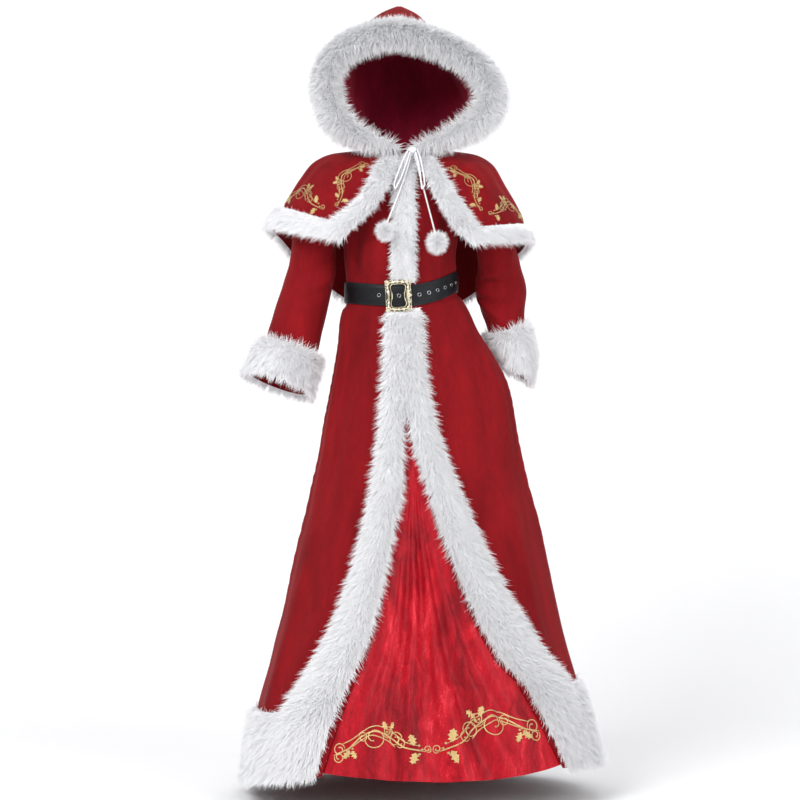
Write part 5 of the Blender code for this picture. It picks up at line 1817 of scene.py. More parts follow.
@dataclass
class Bodice:
    """Fronts and back of the bodice with the fur placket.

    Attributes:
        tree: Grows the strands.
        armhole_steps: Pattern rows of half an armhole.
        placket_half: Half the placket's width.
        fine: Net cells to one cell of the pattern.
        pile: How its fur grows.
        creases: Slanted folds from the underarm to the belt.
    """

    tree: FurTree
    armhole_steps: int = 8
    placket_half: float = 0.0275
    fine: int = 5
    pile: Pile = Pile(0.0075, length=0.017, lift=0.40, lock=0.013)
    creases: tuple[Crease, ...] = folds(
        (-58.0, 0.52, -46.0, 0.90, 0.009, 0.0062, 2.0),
        (-46.0, 0.50, -30.0, 0.86, 0.008, -0.0062, -2.0),
        (-66.0, 0.62, -60.0, 0.90, 0.008, 0.0042),
        (-122.0, 0.52, -134.0, 0.90, 0.009, 0.0062, -2.0),
        (-134.0, 0.50, -150.0, 0.88, 0.008, -0.0062, 2.0),
        (-114.0, 0.60, -120.0, 0.88, 0.008, 0.0040),
        (-24.0, 0.55, -34.0, 0.90, 0.009, 0.0038),
        (-157.0, 0.56, -146.0, 0.90, 0.009, 0.0038),
        (-20.0, 0.66, 8.0, 0.80, 0.010, 0.0035),
        (-164.0, 0.70, -186.0, 0.82, 0.010, 0.0035),
        (36.0, 0.52, 60.0, 0.90, 0.011, 0.0043, 3.0),
        (56.0, 0.58, 78.0, 0.92, 0.010, -0.0035),
        (144.0, 0.52, 118.0, 0.90, 0.011, 0.0043, -3.0),
        (126.0, 0.60, 104.0, 0.92, 0.010, -0.0032),
        (90.0, 0.50, 91.0, 0.94, 0.012, 0.0020),
    )

    def build(self) -> None:
        """Make the cloth and its fur."""
        steps = np.linspace(0.0, math.pi, self.armhole_steps + 1)
        hole = ARMHOLE_MIDDLE - ARMHOLE_HALF_DROP * np.cos(steps)
        stops = np.concatenate(((0.0, 0.04, 0.12), hole, (0.62, 0.76, 0.88, 0.92, 0.998)))
        s = refine(stops, self.fine)
        swing = armhole_swing(np.clip((s - ARMHOLE_MIDDLE) / ARMHOLE_HALF_DROP, -1.0, 1.0))
        edge = np.arcsin(np.clip(self.placket_half / BODICE.table.read("left", s), 0.0, 1.0))
        centre = np.full_like(s, -math.pi / 2)
        theta = columns_between(((centre, centre + edge, 2), (centre + edge, -swing, 5)), self.fine)
        left = self.net(theta, s)
        right = self.net(np.flip(-math.pi - theta, axis=1), s)
        back = self.net(columns_between(((swing, math.pi - swing, 14),), self.fine), s)
        pieces = [self.cloth(net, name) for net, name in ((left, "bodice_front_left"), (right, "bodice_front_right"),
                                                          (back, "bodice_back"))]
        fur = self.placket(theta, s, len(stops))
        for piece, cut in zip(pieces, (Cut(0.21, 0.40, 0.065, "stretched"), Cut(0.21, 0.40, 0.069, "stretched"),
                                       Cut(0.42, 0.40, 0.126, "stretched"))):
            cut.declare(piece, ("belt_strap",), (fur,) if piece is pieces[0] else ())

    def net(self, theta: Array, s: Array) -> Net:
        """Net of one piece."""
        return Net(BODICE, theta, np.repeat(s[:, None], theta.shape[1], axis=1), self.fine)

    def cloth(self, net: Net, name: str) -> Piece:
        """Make one piece of cloth with its creases."""
        high = BODICE.swell(self.creases, net.points) * smooth_step((0.97 - net.b) / 0.10)
        high = high + 0.0006 * ripple(net.points, 0.07, 5) * smooth_step((net.b - 0.2) / 0.2)
        seam = np.minimum(np.arange(net.columns), net.columns - 1 - np.arange(net.columns))[None, :]
        high = high * smooth_step(seam / 4.0) - 0.0009 * np.exp(-((seam / 0.9) ** 2))
        high = high - np.maximum(high, 0.0) * smooth_step((0.50 - net.b) / 0.12)
        return cloth(net, name, net.cells(), high)

    def placket(self, theta: Array, s: Array, count: int) -> Piece:
        """Make the fur placket."""
        wide = 2 * self.fine
        strip = np.concatenate((np.flip(-math.pi - theta, axis=1)[:, -wide - 1:], theta[:, 1:wide + 1]), axis=1)
        net = self.net(strip, s)
        press = 1.0 - 0.72 * smooth_step((net.b - 0.875) / 0.015)
        share = np.repeat(np.linspace(0.0, 1.0, net.columns)[None, :], net.rows, axis=0)
        press = press * (0.45 + 0.55 * smooth_step((net.b - 0.02) / 0.10))
        region = net.cells(rows=(0, count - 2))
        trim = FurTrim(net, region, self.pile, self.tree, rise=4, trim=1, press=press)
        comb = band_comb(net, share, 0.75, 0.7 - 1.7 * smooth_step((0.10 - net.b) / 0.08))
        return trim.piece("placket_fur", region, comb, 11)


SKIRT_BANDS = Table(BAND, (
    (0.0000, -0.043, 0.000, 0.000, 0.040),
    (0.1400, -0.047, 0.000, 0.000, 0.048),
    (0.2800, -0.059, 0.002, 0.008, 0.078),
    (0.3900, -0.077, 0.002, 0.044, 0.120),
    (0.4900, -0.100, -0.017, 0.076, 0.170),
    (0.5900, -0.132, -0.038, 0.118, 0.221),
    (0.6900, -0.176, -0.064, 0.165, 0.289),
    (0.7900, -0.245, -0.108, 0.230, 0.360),
    (0.8800, -0.305, -0.150, 0.300, 0.412),
    (1.0000, -0.340, -0.195, 0.380, 0.445),
))


@dataclass(frozen=True)
class PanelSurface(Surface):
    """Inner panel behind the skirt's front edges, with its long folds and crushed pile.

    Attributes:
        cloth: Surface of the skirt.
        bands: Edges of the skirt's front bands.
        behind: Distance behind the skirt's outer side.
        fold: Depth of the long folds.
        waves: Number of folds.
        sag: How far the middle hangs behind the edges.
        crush: Height, size, squash down the cloth and choice of the small ripples.
        crush_most: Greatest height of the ripples.
    """

    cloth: RingSurface = SKIRT
    bands: Table = SKIRT_BANDS
    behind: float = CLOTH + 0.0012
    fold: float = 0.0105
    waves: float = 5.5
    sag: float = 0.009
    crush: tuple[tuple[float, float, float, int], ...] = ((0.0024, 0.034, 0.22, 14), (0.0012, 0.013, 0.5, 15))
    crush_most: float = 0.0015

    def share(self, a: Array, b: Array) -> Array:
        """Place between the right edge (0) and the left edge (1)."""
        right = self.cloth.angle(self.bands.read("right_inner", b), b)
        left = self.cloth.angle(self.bands.read("left_inner", b), b)
        return np.clip((a - right) / np.maximum(left - right, 1e-6), 0.0, 1.0)

    def at(self, a: Any, b: Any) -> Array:
        """Point at an angle and a share of the way down."""
        a, b = np.broadcast_arrays(np.asarray(a, float), np.asarray(b, float))
        share = self.share(a, b)
        free = np.sin(share * math.pi)
        points = self.cloth.at(a, b)
        high = self.fold * np.sin((share + 0.02 * np.sin(b * 9.0)) * self.waves * 2 * math.pi) * free
        high = high * smooth_step((b - 0.30) / 0.60) - self.sag * free * smooth_step((b - 0.30) / 0.30)
        small = sum(height * ripple(points * np.array((1.0, 1.0, squash)), size, seed)
                    for height, size, squash, seed in self.crush)
        small = np.minimum(small, self.crush_most) * free * smooth_step((b - 0.26) / 0.2)
        high = high + small - self.behind - 0.002 * smooth_step((b - 0.76) / 0.24)
        return points + self.cloth.out(a, b) * high[..., None]


PANEL = PanelSurface()


@dataclass
class Skirt:
    """Four gores, the crushed velvet panel, the pocket and the fur of the fronts and the hem.

    Attributes:
        tree: Grows the strands.
        wrap: Pattern of the skirt.
        pile: How its fur grows.
        slit: Top and bottom of the pocket slit, as shares of the way down.
        slit_half: Half the slit's angle.
        creases: Folds that start under the belt.
        seam_dent: Depth of the trough along a seam.
        panel_surface: Surface of the inner panel.
        panel_first: Pattern row where the panel starts.
        panel_cells: Its cells across.
        tuck_cells: Cells of each edge that is tucked behind the fronts.
        panel_wall: Its thickness.
        pocket_rows: Pocket bag: reach inwards, drop, and height and width as shares of the mouth.
        pocket_half: Half the pocket's height, as a share of the way down, and half its angle.
    """

    tree: FurTree
    wrap: Wrap = field(default_factory=lambda: Wrap(
        SKIRT,
        SKIRT_BANDS,
        stops=(0.0005, 0.0245, 0.036, 0.06, 0.10, 0.155, 0.205, 0.255, 0.33, 0.41, 0.50, 0.59, 0.68, 0.76),
        band_top=(0.790, 0.835, 0.826, 0.860), side_cells=6, back_cells=16, fine=7, hem=0.984))
    pile: Pile = Pile(0.0095, length=0.028, lift=0.42, lock=0.019)
    slit: tuple[float, float] = (0.155, 0.255)
    slit_half: float = math.radians(2.6)
    creases: tuple[Crease, ...] = folds(
        (-30.0, 0.03, -24.0, 0.34, 0.016, 0.0058, 1.5),
        (-46.0, 0.03, -44.0, 0.40, 0.014, -0.0043, 1.0),
        (-16.0, 0.04, -8.0, 0.60, 0.020, 0.0065, 1.0),
        (-36.0, 0.42, -31.0, 0.82, 0.022, 0.0058),
        (-4.0, 0.28, 0.0, 0.84, 0.020, -0.0065),
        (-152.0, 0.03, -160.0, 0.42, 0.017, 0.0061, -1.5),
        (-136.0, 0.03, -142.0, 0.46, 0.014, -0.0043, -1.0),
        (-168.0, 0.05, -176.0, 0.66, 0.020, 0.0065, -1.0),
        (-148.0, 0.48, -156.0, 0.84, 0.022, 0.0052),
        (-182.0, 0.22, -188.0, 0.84, 0.020, -0.0065),
        (16.0, 0.30, 19.0, 0.86, 0.019, 0.0058),
        (40.0, 0.03, 44.0, 0.50, 0.016, -0.0075, 1.0),
        (72.0, 0.03, 78.0, 0.42, 0.014, 0.0067, -1.0),
        (86.0, 0.04, 84.0, 0.60, 0.013, -0.0065),
        (116.0, 0.03, 120.0, 0.55, 0.015, -0.0075, 1.5),
        (96.0, 0.03, 97.0, 0.30, 0.012, 0.0055),
        (152.0, 0.04, 156.0, 0.52, 0.015, -0.0070),
        (130.0, 0.30, 128.0, 0.84, 0.018, 0.0067),
        (50.0, 0.36, 48.0, 0.84, 0.020, -0.0064),
        (165.0, 0.30, 164.0, 0.82, 0.016, 0.0058),
    )
    seam_dent: float = 0.0012
    panel_surface: PanelSurface = PANEL
    panel_first: int = 7
    panel_cells: int = 77
    tuck_cells: int = 3
    panel_wall: float = 0.0018
    pocket_rows: tuple[tuple[float, float, float, float], ...] = (
        (0.000, 0.000, 1.00, 1.00),
        (0.014, 0.001, 0.98, 0.95),
        (0.030, 0.006, 0.98, 1.00),
        (0.046, 0.014, 0.96, 1.00),
        (0.060, 0.022, 0.80, 0.80),
    )
    pocket_half: tuple[float, float] = (0.052, math.radians(3.6))

    def opening(self, s: Array) -> Array:
        """Half opening of the pocket slit."""
        inside = np.clip((s - self.slit[0]) / (self.slit[1] - self.slit[0]), 0.0, 1.0)
        return self.slit_half * np.sin(math.pi * inside)

    def heights(self, net: Net) -> Array:
        """Heights of the creases, with a shallow trough along each seam."""
        high = SKIRT.swell(self.creases, net.points) * smooth_step((net.b - 0.028) / 0.03)
        high = high + 0.0012 * ripple(net.points, 0.16, 8) * smooth_step((net.b - 0.06) / 0.2)
        for seam in self.wrap.seams:
            high = high - self.seam_dent * self.wrap.seam(net, seam) * smooth_step((net.b - 0.05) / 0.05)
        return high

    def build(self) -> None:
        """Make every piece of the skirt."""
        left, middle, right = self.wrap.seams
        plain = self.wrap.lay()
        front = self.wrap.lay(self.opening)
        back = self.wrap.lay(self.opening, behind=True)
        trims = self.furs(plain)
        panel = self.panel(plain)
        plan = (
            ("skirt_front_left", "skirt_fur_left", front, (0, left), Cut(0.40, 1.20, 0.365, "gathered")),
            ("skirt_back_left", "skirt_fur_back_left", back, (left, middle), Cut(0.72, 1.23, 0.560, "gathered")),
            ("skirt_back_right", "skirt_fur_back_right", back, (middle, right), Cut(0.66, 1.20, 0.500, "gathered")),
            ("skirt_front_right", "skirt_fur_right", plain, (right, None), Cut(0.40, 1.19, 0.385, "gathered")),
        )
        for name, fur, net, columns, cut in plan:
            gore = cloth(net, name, net.cells(columns=columns), self.heights(net))
            cut.declare(gore, ("belt_strap",), (trims[fur],))
        Cut(0.60, 0.80, 0.288, "hung").declare(panel, ("skirt_front_left", "skirt_front_right"))
        self.pocket()

    def furs(self, net: Net) -> dict[str, Piece]:
        """Make the fur of the front edges and the hem.

        Args:
            net: Net without the slit.

        Returns:
            Pieces by name.
        """
        left, middle, right = self.wrap.seams
        hem, band, fine = len(self.wrap.stops), self.wrap.band_cells, self.wrap.fine
        region = net.cells(rows=(1, None), columns=(0, band)) | net.cells(rows=(1, None), columns=(-band, None))
        region |= net.cells(rows=(hem, None))
        joined = net.b[:-1, 0] < 0.27
        press = 0.25 + 0.75 * smooth_step((net.b - 0.030) / 0.012)
        trim = FurTrim(net, region, self.pile, self.tree, rise=fine - 1, trim=2, open_sides=joined, press=press)
        comb = self.wrap.comb(net)
        parts = {
            "skirt_fur_left": net.cells(columns=(0, left)), "skirt_fur_back_left": net.cells(columns=(left, middle)),
            "skirt_fur_back_right": net.cells(columns=(middle, right)),
            "skirt_fur_right": net.cells(columns=(right, None)),
        }
        return {name: trim.piece(name, part, comb, 21 + k) for k, (name, part) in enumerate(parts.items())}

    def panel(self, net: Net) -> Piece:
        """Make the inner panel with its long folds.

        Args:
            net: Net without the slit.

        Returns:
            The panel.
        """
        rows = slice(self.panel_first * self.wrap.fine, None)
        turn = 2 * math.pi
        right_edge, right_under = net.a[rows, -1] - turn, net.a[rows, -1 - self.wrap.fine] - turn
        left_edge, left_under = net.a[rows, 0], net.a[rows, self.wrap.fine]
        across = columns_between((
            (right_under, right_edge, self.tuck_cells),
            (right_edge, left_edge, self.panel_cells),
            (left_edge, left_under, self.tuck_cells),
        ), 1)
        down = np.repeat(net.b[rows, :1], across.shape[1], axis=1)
        share = self.panel_surface.share(across, down)
        down = down + smooth_step((down - 0.76) / 0.24) * (1.0 - 0.024 * (2.0 * share - 1.0) ** 2 - self.wrap.hem)
        made = Net(self.panel_surface, across, down)
        piece = made.shell("front_panel", made.cells(), -self.panel_wall, 0.0, (PANNE,))
        return dress(piece, PANNE.slot, "front_panel")

    def pocket(self) -> None:
        """Make the pocket bag inside the left side seam."""
        turns = np.linspace(0, 2 * math.pi, 36, endpoint=False)
        s = sum(self.slit) / 2 - self.pocket_half[0] * np.cos(turns)
        theta = self.pocket_half[1] * np.sin(turns)
        mouth = SKIRT.at(theta, s) - SKIRT.out(theta, s) * (CLOTH + 0.003)
        middle = mouth.mean(axis=0)
        rows = refine(np.array(self.pocket_rows), 4)
        layers = []
        for wall in (0.0, 0.001):
            rings = []
            for reach, drop, high, wide in rows:
                ring = (mouth - middle) * np.array((1.0, wide, high))
                ring[:, 1:] *= 1.0 - wall / np.linalg.norm(ring[:, 1:], axis=1, keepdims=True)
                rings.append(ring + middle - np.array((reach, 0.0, drop)))
            layers.append(rings)
        layers[1][-1][:, 0] += 0.001
        rings = layers[0][::-1] + layers[1]
        made = add_object("pocket_bag", np.concatenate(rings), ring_faces(len(rings), len(turns)), (LINING,))
        dress(made, LINING.slot, "pocket_bag")
        Cut(0.13, 0.17, 0.018, "hung").declare(made, ("skirt_front_left", "skirt_back_left"))


@dataclass
class SleevePair:
    """Both sleeves with their fur cuffs.

    Attributes:
        tree: Grows the strands.
        stops: Pattern rows from the armhole to the wrist edge; strands reach the rest.
        cuff_row: Row where the cuff's fur starts.
        sides: Pattern cells round the arm.
        fine: Net cells to one cell of the pattern.
        pile: How the cuff's fur grows.
        folds: Creases of each sleeve.
        cuts: How each sleeve was cut.
    """

    tree: FurTree
    stops: tuple[float, ...] = (0.0, 0.07, 0.13, 0.20, 0.28, 0.37, 0.46, 0.55, 0.64, 0.72, 0.80, 0.87, 0.94, 0.975)
    cuff_row: int = 10
    sides: int = 16
    fine: int = 5
    pile: Pile = Pile(0.0115, length=0.027, lift=0.50, lock=0.019)
    folds: Mapping[Side, tuple[Crease, ...]] = field(default_factory=lambda: {
        Side.LEFT: folds(
            (200.0, 0.52, 60.0, 0.44, 0.0095, 0.0082, 6.0),
            (205.0, 0.55, 80.0, 0.62, 0.0090, 0.0076, -6.0),
            (190.0, 0.60, 100.0, 0.76, 0.0090, 0.0064),
            (170.0, 0.49, 70.0, 0.53, 0.0080, -0.0088),
            (20.0, 0.24, 60.0, 0.40, 0.012, 0.0038),
            (300.0, 0.50, 220.0, 0.60, 0.011, 0.0052),
            (330.0, 0.30, 250.0, 0.44, 0.012, 0.0043),
            (160.0, 0.20, 90.0, 0.34, 0.011, 0.0035),
        ),
        Side.RIGHT: folds(
            (165.0, 0.34, 60.0, 0.50, 0.0100, -0.0080, 4.0),
            (175.0, 0.42, 90.0, 0.56, 0.0110, 0.0066),
            (150.0, 0.56, 80.0, 0.66, 0.0100, 0.0050),
            (30.0, 0.26, 70.0, 0.38, 0.012, 0.0032),
            (310.0, 0.46, 220.0, 0.54, 0.012, 0.0049),
            (300.0, 0.58, 200.0, 0.68, 0.012, 0.0043),
            (330.0, 0.28, 260.0, 0.40, 0.012, -0.0041),
        ),
    })
    cuts: Mapping[Side, Cut] = field(default_factory=lambda: {
        Side.LEFT: Cut(0.42, 0.56, 0.165, "hung"), Side.RIGHT: Cut(0.46, 0.60, 0.200, "hung")})

    def build(self) -> None:
        """Make both sleeves."""
        turns = np.linspace(0, 2 * math.pi, self.sides * self.fine, endpoint=False)
        places = refine(np.array(self.stops), self.fine)
        for k, surface in enumerate(SLEEVES):
            word = surface.side.word
            turn, place = np.meshgrid(turns, places)
            net = Net(surface, turn, place, self.fine, closed=True)
            net.normals[:3] = net.normals[3]
            high = surface.swell(self.folds[surface.side], net.points) + 0.0007 * ripple(net.points, 0.06, 30 + k)
            high = high * smooth_step((net.b - 0.08) / 0.10) * smooth_step((0.90 - net.b) / 0.08)
            sleeve = cloth(net, "sleeve_" + word, net.cells(), high)
            region = net.cells(rows=(self.cuff_row, None))
            share = (net.b - self.stops[self.cuff_row]) / (1.0 - self.stops[self.cuff_row])
            _, along = net.ways()
            comb = along * (-0.55 + 1.60 * smooth_step(share / 0.5))[..., None] + np.array((0.0, 0.0, -0.25))
            trim = FurTrim(net, region, self.pile, self.tree, rise=4, trim=1)
            fur = trim.piece("cuff_fur_" + word, region, comb, 41 + k)
            self.cuts[surface.side].declare(sleeve, ("bodice_front_" + word, "bodice_back"), (fur,))


CAPE_WAVES = folds(
    (-40.0, 0.30, -34.0, 0.80, 0.016, 0.0043),
    (-18.0, 0.35, -12.0, 0.85, 0.018, -0.0049),
    (-140.0, 0.30, -146.0, 0.80, 0.016, 0.0041),
    (-162.0, 0.34, -168.0, 0.84, 0.018, -0.0049),
    (40.0, 0.20, 42.0, 0.86, 0.017, -0.0072),
    (80.0, 0.22, 80.0, 0.88, 0.015, -0.0067, 1.5),
    (118.0, 0.22, 120.0, 0.86, 0.015, -0.0067, -1.0),
    (154.0, 0.26, 155.0, 0.86, 0.015, -0.0058),
    (97.0, 0.08, 98.0, 0.50, 0.012, 0.0043),
    (66.0, 0.10, 62.0, 0.50, 0.012, 0.0043),
)


def cape_waves(points: Array, b: Array) -> Array:
    """Height of the capelet's soft waves at points of it and their shares of the way down."""
    return CAPE.swell(CAPE_WAVES, points) * smooth_step((b - 0.10) / 0.15)


@dataclass
class Capelet:
    """Capelet fronts and longer back with fur along its edges.

    Attributes:
        tree: Grows the strands.
        wrap: Pattern of the capelet.
        fur_from: Share of the way down where the front bands start.
        pile: How its fur grows.
    """

    tree: FurTree
    wrap: Wrap = field(default_factory=lambda: Wrap(
        CAPE,
        Table(BAND, (
            (0.00, -0.055, -0.010, 0.010, 0.055),
            (0.15, -0.057, -0.015, 0.030, 0.068),
            (0.30, -0.075, -0.027, 0.050, 0.086),
            (0.45, -0.091, -0.044, 0.064, 0.109),
            (0.60, -0.117, -0.068, 0.083, 0.134),
            (0.80, -0.172, -0.112, 0.115, 0.175),
            (1.00, -0.230, -0.150, 0.160, 0.225),
        )),
        stops=(0.0, 0.10, 0.22, 0.36, 0.50, 0.64), band_top=(0.84, 0.78, 0.80, 0.84),
        side_cells=4, back_cells=14, fine=8, hem=0.960))
    fur_from: float = 0.02
    pile: Pile = Pile(0.0095, length=0.026, lift=0.45, lock=0.018)

    def build(self) -> None:
        """Make the cloth and the fur."""
        net = self.wrap.lay()
        left, _, right = self.wrap.seams
        band, hem = self.wrap.band_cells, len(self.wrap.stops)
        high = cape_waves(net.points, net.b)
        for seam in (left, right):
            high = high - 0.0009 * self.wrap.seam(net, seam) * smooth_step(net.b / 0.1)
        region = net.cells(columns=(0, band)) | net.cells(columns=(-band, None))
        region &= (net.b[:-1, :-1] > self.fur_from)
        region |= net.cells(rows=(hem, None))
        comb = self.comb(net)
        press = 0.36 + 0.64 * smooth_step((net.b - 0.06) / 0.14)
        trim = FurTrim(net, region, self.pile, self.tree, rise=5, trim=1, press=press,
                       short=(net.b > 0.30) & (net.b < 0.90))
        plan = (
            ("front_left", "left", (0, left), Cut(0.34, 0.33, 0.070, "draped")),
            ("back", "back", (left, right), Cut(0.84, 0.45, 0.250, "draped")),
            ("front_right", "right", (right, None), Cut(0.34, 0.33, 0.070, "draped")),
        )
        for k, (name, fur, columns, cut) in enumerate(plan):
            part = net.cells(columns=columns)
            made = cloth(net, "cape_" + name, part, high)
            trimmed = trim.piece("cape_fur_" + fur, part, comb, 51 + k)
            cut.declare(made, ("bodice_back",), (trimmed,))

    def comb(self, net: Net) -> Array:
        """Comb the front bands and the hem."""
        column, share = self.wrap.shares(net)
        hem = smooth_step((net.b - 0.72) / 0.08)
        under = smooth_step((net.b - 0.80) / 0.08)
        down = 0.75 * (1.0 - hem) + hem * (0.55 + 0.60 * under)
        down = np.where(np.abs(share - 0.5) > 0, np.maximum(down, 0.55), down)
        down = down - 1.3 * smooth_step((0.10 - net.b) / 0.08)
        outer = np.where(column < net.columns / 2, share > 0.5, share < 0.5)
        return band_comb(net, share, np.where(outer, 0.20, 0.85), down)


@dataclass
class Hood:
    """Two hood halves and the fur roll round the face.

    Attributes:
        tree: Grows the strands.
        surface: Surface of the hood.
        stops: Pattern rows from the face to the nape.
        arch_cells: Pattern cells of half an arch.
        fine: Net cells to one cell of the pattern.
        section: Fur roll: distance back from the cloth edge and distance out from the cloth.
        roll_rings: Sections of the fur roll over the whole arch.
        bare: Points of a section that lie on the cloth and grow nothing.
        pile: How its fur grows.
        creases: Folds of the standing hood.
    """

    tree: FurTree
    surface: HoodSurface = HoodSurface()
    stops: tuple[float, ...] = (0.0, 0.13, 0.24, 0.35, 0.46, 0.56, 0.66, 0.77, 0.88, 1.0)
    arch_cells: int = 9
    fine: int = 7
    section: tuple[tuple[float, float], ...] = (
        (0.044, 0.020), (0.026, 0.036), (0.000, 0.038), (-0.026, 0.028), (-0.036, 0.004), (-0.030, -0.020),
        (-0.014, -0.032), (-0.0008, -0.026),
    )
    roll_rings: int = 127
    bare: int = 5
    pile: Pile = Pile(0.0, length=0.031, density=210000.0, lift=0.62, scatter=0.50, lock=0.016, pull=0.55)
    creases: tuple[Crease, ...] = folds(
        (0.92, 0.30, 0.45, 0.56, 0.018, -0.0050, 0.05),
        (-0.92, 0.30, -0.45, 0.56, 0.018, -0.0050, -0.05),
        (0.95, 0.50, 0.50, 0.74, 0.015, 0.0048, 0.03),
        (-0.95, 0.50, -0.52, 0.72, 0.015, 0.0048, -0.03),
        (0.90, 0.74, 0.45, 0.80, 0.014, -0.0044),
        (-0.90, 0.74, -0.42, 0.82, 0.014, -0.0044),
        (0.30, 0.30, 0.10, 0.52, 0.018, 0.0046),
        (-0.32, 0.28, -0.12, 0.50, 0.018, 0.0046),
        (0.94, 0.86, 0.60, 0.90, 0.012, 0.0034),
        (-0.94, 0.86, -0.60, 0.90, 0.012, 0.0034),
    )

    def build(self) -> None:
        """Make the halves and the fur."""
        v, u = np.meshgrid(refine(np.linspace(-1.0, 1.0, 2 * self.arch_cells + 1), self.fine),
                           refine(np.array(self.stops), self.fine))
        net = Net(self.surface, v, u, self.fine)
        net.normals[-1, :3] = net.normals[-2, :3]
        net.normals[-1, -3:] = net.normals[-2, -3:]
        high = self.surface.swell(self.creases, net.points) + 0.0010 * ripple(net.points, 0.09, 17)
        edge = smooth_step((1.0 - np.abs(v)) / 0.12) * smooth_step((1.0 - u) / 0.12) * smooth_step(u / 0.15)
        seam = np.abs(np.arange(net.columns) - self.arch_cells * self.fine)[None, :]
        ridge, stitch = 0.0016 * np.exp(-((seam / 1.6) ** 2)), 0.0022 * np.exp(-((seam / 0.7) ** 2))
        high = high * edge + ridge * edge - stitch * edge
        fur = self.roll()
        for word, columns in (("right", (0, self.arch_cells)), ("left", (self.arch_cells, None))):
            made = cloth(net, "hood_" + word, net.cells(columns=columns), high, (HOOD_INSIDE,))
            Cut(0.42, 0.47, 0.138, "hung").declare(made, ("cape_back",), (fur,) if word == "left" else ())

    def ring(self, v: float) -> Array:
        """Section of the fur roll at a place over the arch.

        Args:
            v: Place from the right neck (-1) to the left neck (1).

        Returns:
            Points round the roll.
        """
        step = 0.02
        edge, back = self.surface.at(v, 0.0), self.surface.at(v, 0.13)
        back_out = self.surface.out(np.array(v), np.array(0.13))
        ahead_edge, behind_edge = self.surface.at(min(v + step, 1.0), 0.0), self.surface.at(max(v - step, -1.0), 0.0)
        run = unit(ahead_edge - behind_edge)
        front = np.array((0.0, -1.0, 0.0))
        ahead = unit(front - run * float(run @ front))
        edge_out = np.cross(ahead, run)
        grown = float(smooth_step((1.0 - abs(v)) / 0.30))
        size, out_size = 0.50 + 0.50 * grown, 0.12 + 0.88 * grown
        ring = [edge + (edge_out + ahead) * 0.0008, back + back_out * 0.0008]
        for reach, height in self.section:
            share = max(reach, 0.0) / 0.050
            out = unit(edge_out * (1.0 - share) + back_out * share)
            base = edge + (back - edge) * share
            tall = height * (out_size if height > 0 else size)
            ring.append(base + ahead * max(-reach, 0.0) * size + out * tall)
        return np.array(ring[:2] + self.rested(ring[2:]))

    @staticmethod
    def rested(ring: list[Array]) -> list[Array]:
        """Lift points that would sink into the capelet."""
        s = np.linspace(0.0, 0.5, 201)
        read = {name: CAPE.table.read(name, s) for name in ("left", "front", "back")}
        for point in ring:
            face = read["front"] if point[1] < 0 else read["back"]
            reach = np.hypot(point[0] / read["left"], point[1] / face)
            if reach[0] > 1.0:
                k = int(np.argmax(reach <= 1.0))
                theta = np.arctan2(point[1] / face[k], point[0] / read["left"][k])
                point[2] = max(point[2], CAPE.at(theta, s[k])[2] + 0.0025)
        return ring

    @staticmethod
    def rounded(ring: Array) -> list[Array]:
        """Points round a section, straight between the two that lie on the cloth and curved elsewhere.

        Args:
            ring: Points of the section.

        Returns:
            Four points for each.
        """
        dense = []
        for k in range(len(ring)):
            before, start, end, after = (ring[(k + d) % len(ring)] for d in (-1, 0, 1, 2))
            for t in (0.0, 0.25, 0.5, 0.75):
                curved = 0.5 * (2 * start + (end - before) * t + (2 * before - 5 * start + 4 * end - after) * t ** 2
                                + (3 * start - before - 3 * end + after) * t ** 3)
                dense.append(curved if k else start + (end - start) * t)
        return dense

    def roll(self) -> Piece:
        """Make the fur roll.

        Returns:
            The roll.
        """
        places = np.linspace(-1.0, 1.0, self.roll_rings)
        points = np.array([self.rounded(self.ring(float(v))) for v in places])
        core = points.mean(axis=1, keepdims=True)
        away = points - core
        sides = points.shape[1]
        free = np.ones(sides)
        free[:self.bare] = 0.0
        free[[self.bare, -1]] = 0.5
        lumps = 0.70 + 0.07 * ripple(points, 0.034, 61) + 0.04 * ripple(points, 0.014, 62)
        size = 1.0 + (lumps - 1.0) * free[None, :]
        ends = np.clip((1.0 - np.abs(places)) / 0.02, 0.45, 1.0)[:, None]
        points = core + away * (size * np.where(free[None, :] > 0, ends, 1.0))[..., None]
        comb = unit(away) * 0.35 + np.array((0.0, 0.0, -0.42))
        out = unit(points * np.array((1.0, 0.0, 1.0)) - np.array((0.0, 0.0, 0.10)))
        crown = smooth_step((0.62 - np.abs(places)) / 0.34)[:, None]
        comb = comb + out * (0.30 * (1.0 - crown))[..., None] + crown[..., None] * np.array((0.0, -0.55, -0.25))
        grow = np.broadcast_to(np.where(free > 0, 1.0, 0.0)[None, :], points.shape[:2])
        behind = np.zeros(sides)
        fade = smooth_step(np.linspace(2.2, 0.0, 13))
        behind[self.bare:self.bare + len(fade)] = fade
        long = 1.0 - 0.55 * crown * behind
        marks = {"grow": grow.ravel(), "long": long.ravel(), "comb": comb.reshape(-1, 3)}
        made = add_object("hood_fur", points.reshape(-1, 3), ring_faces(len(places), sides), (FUR,), marks)
        return dress(self.tree.grow(made, self.pile, 63), FUR.slot, "hood_fur")


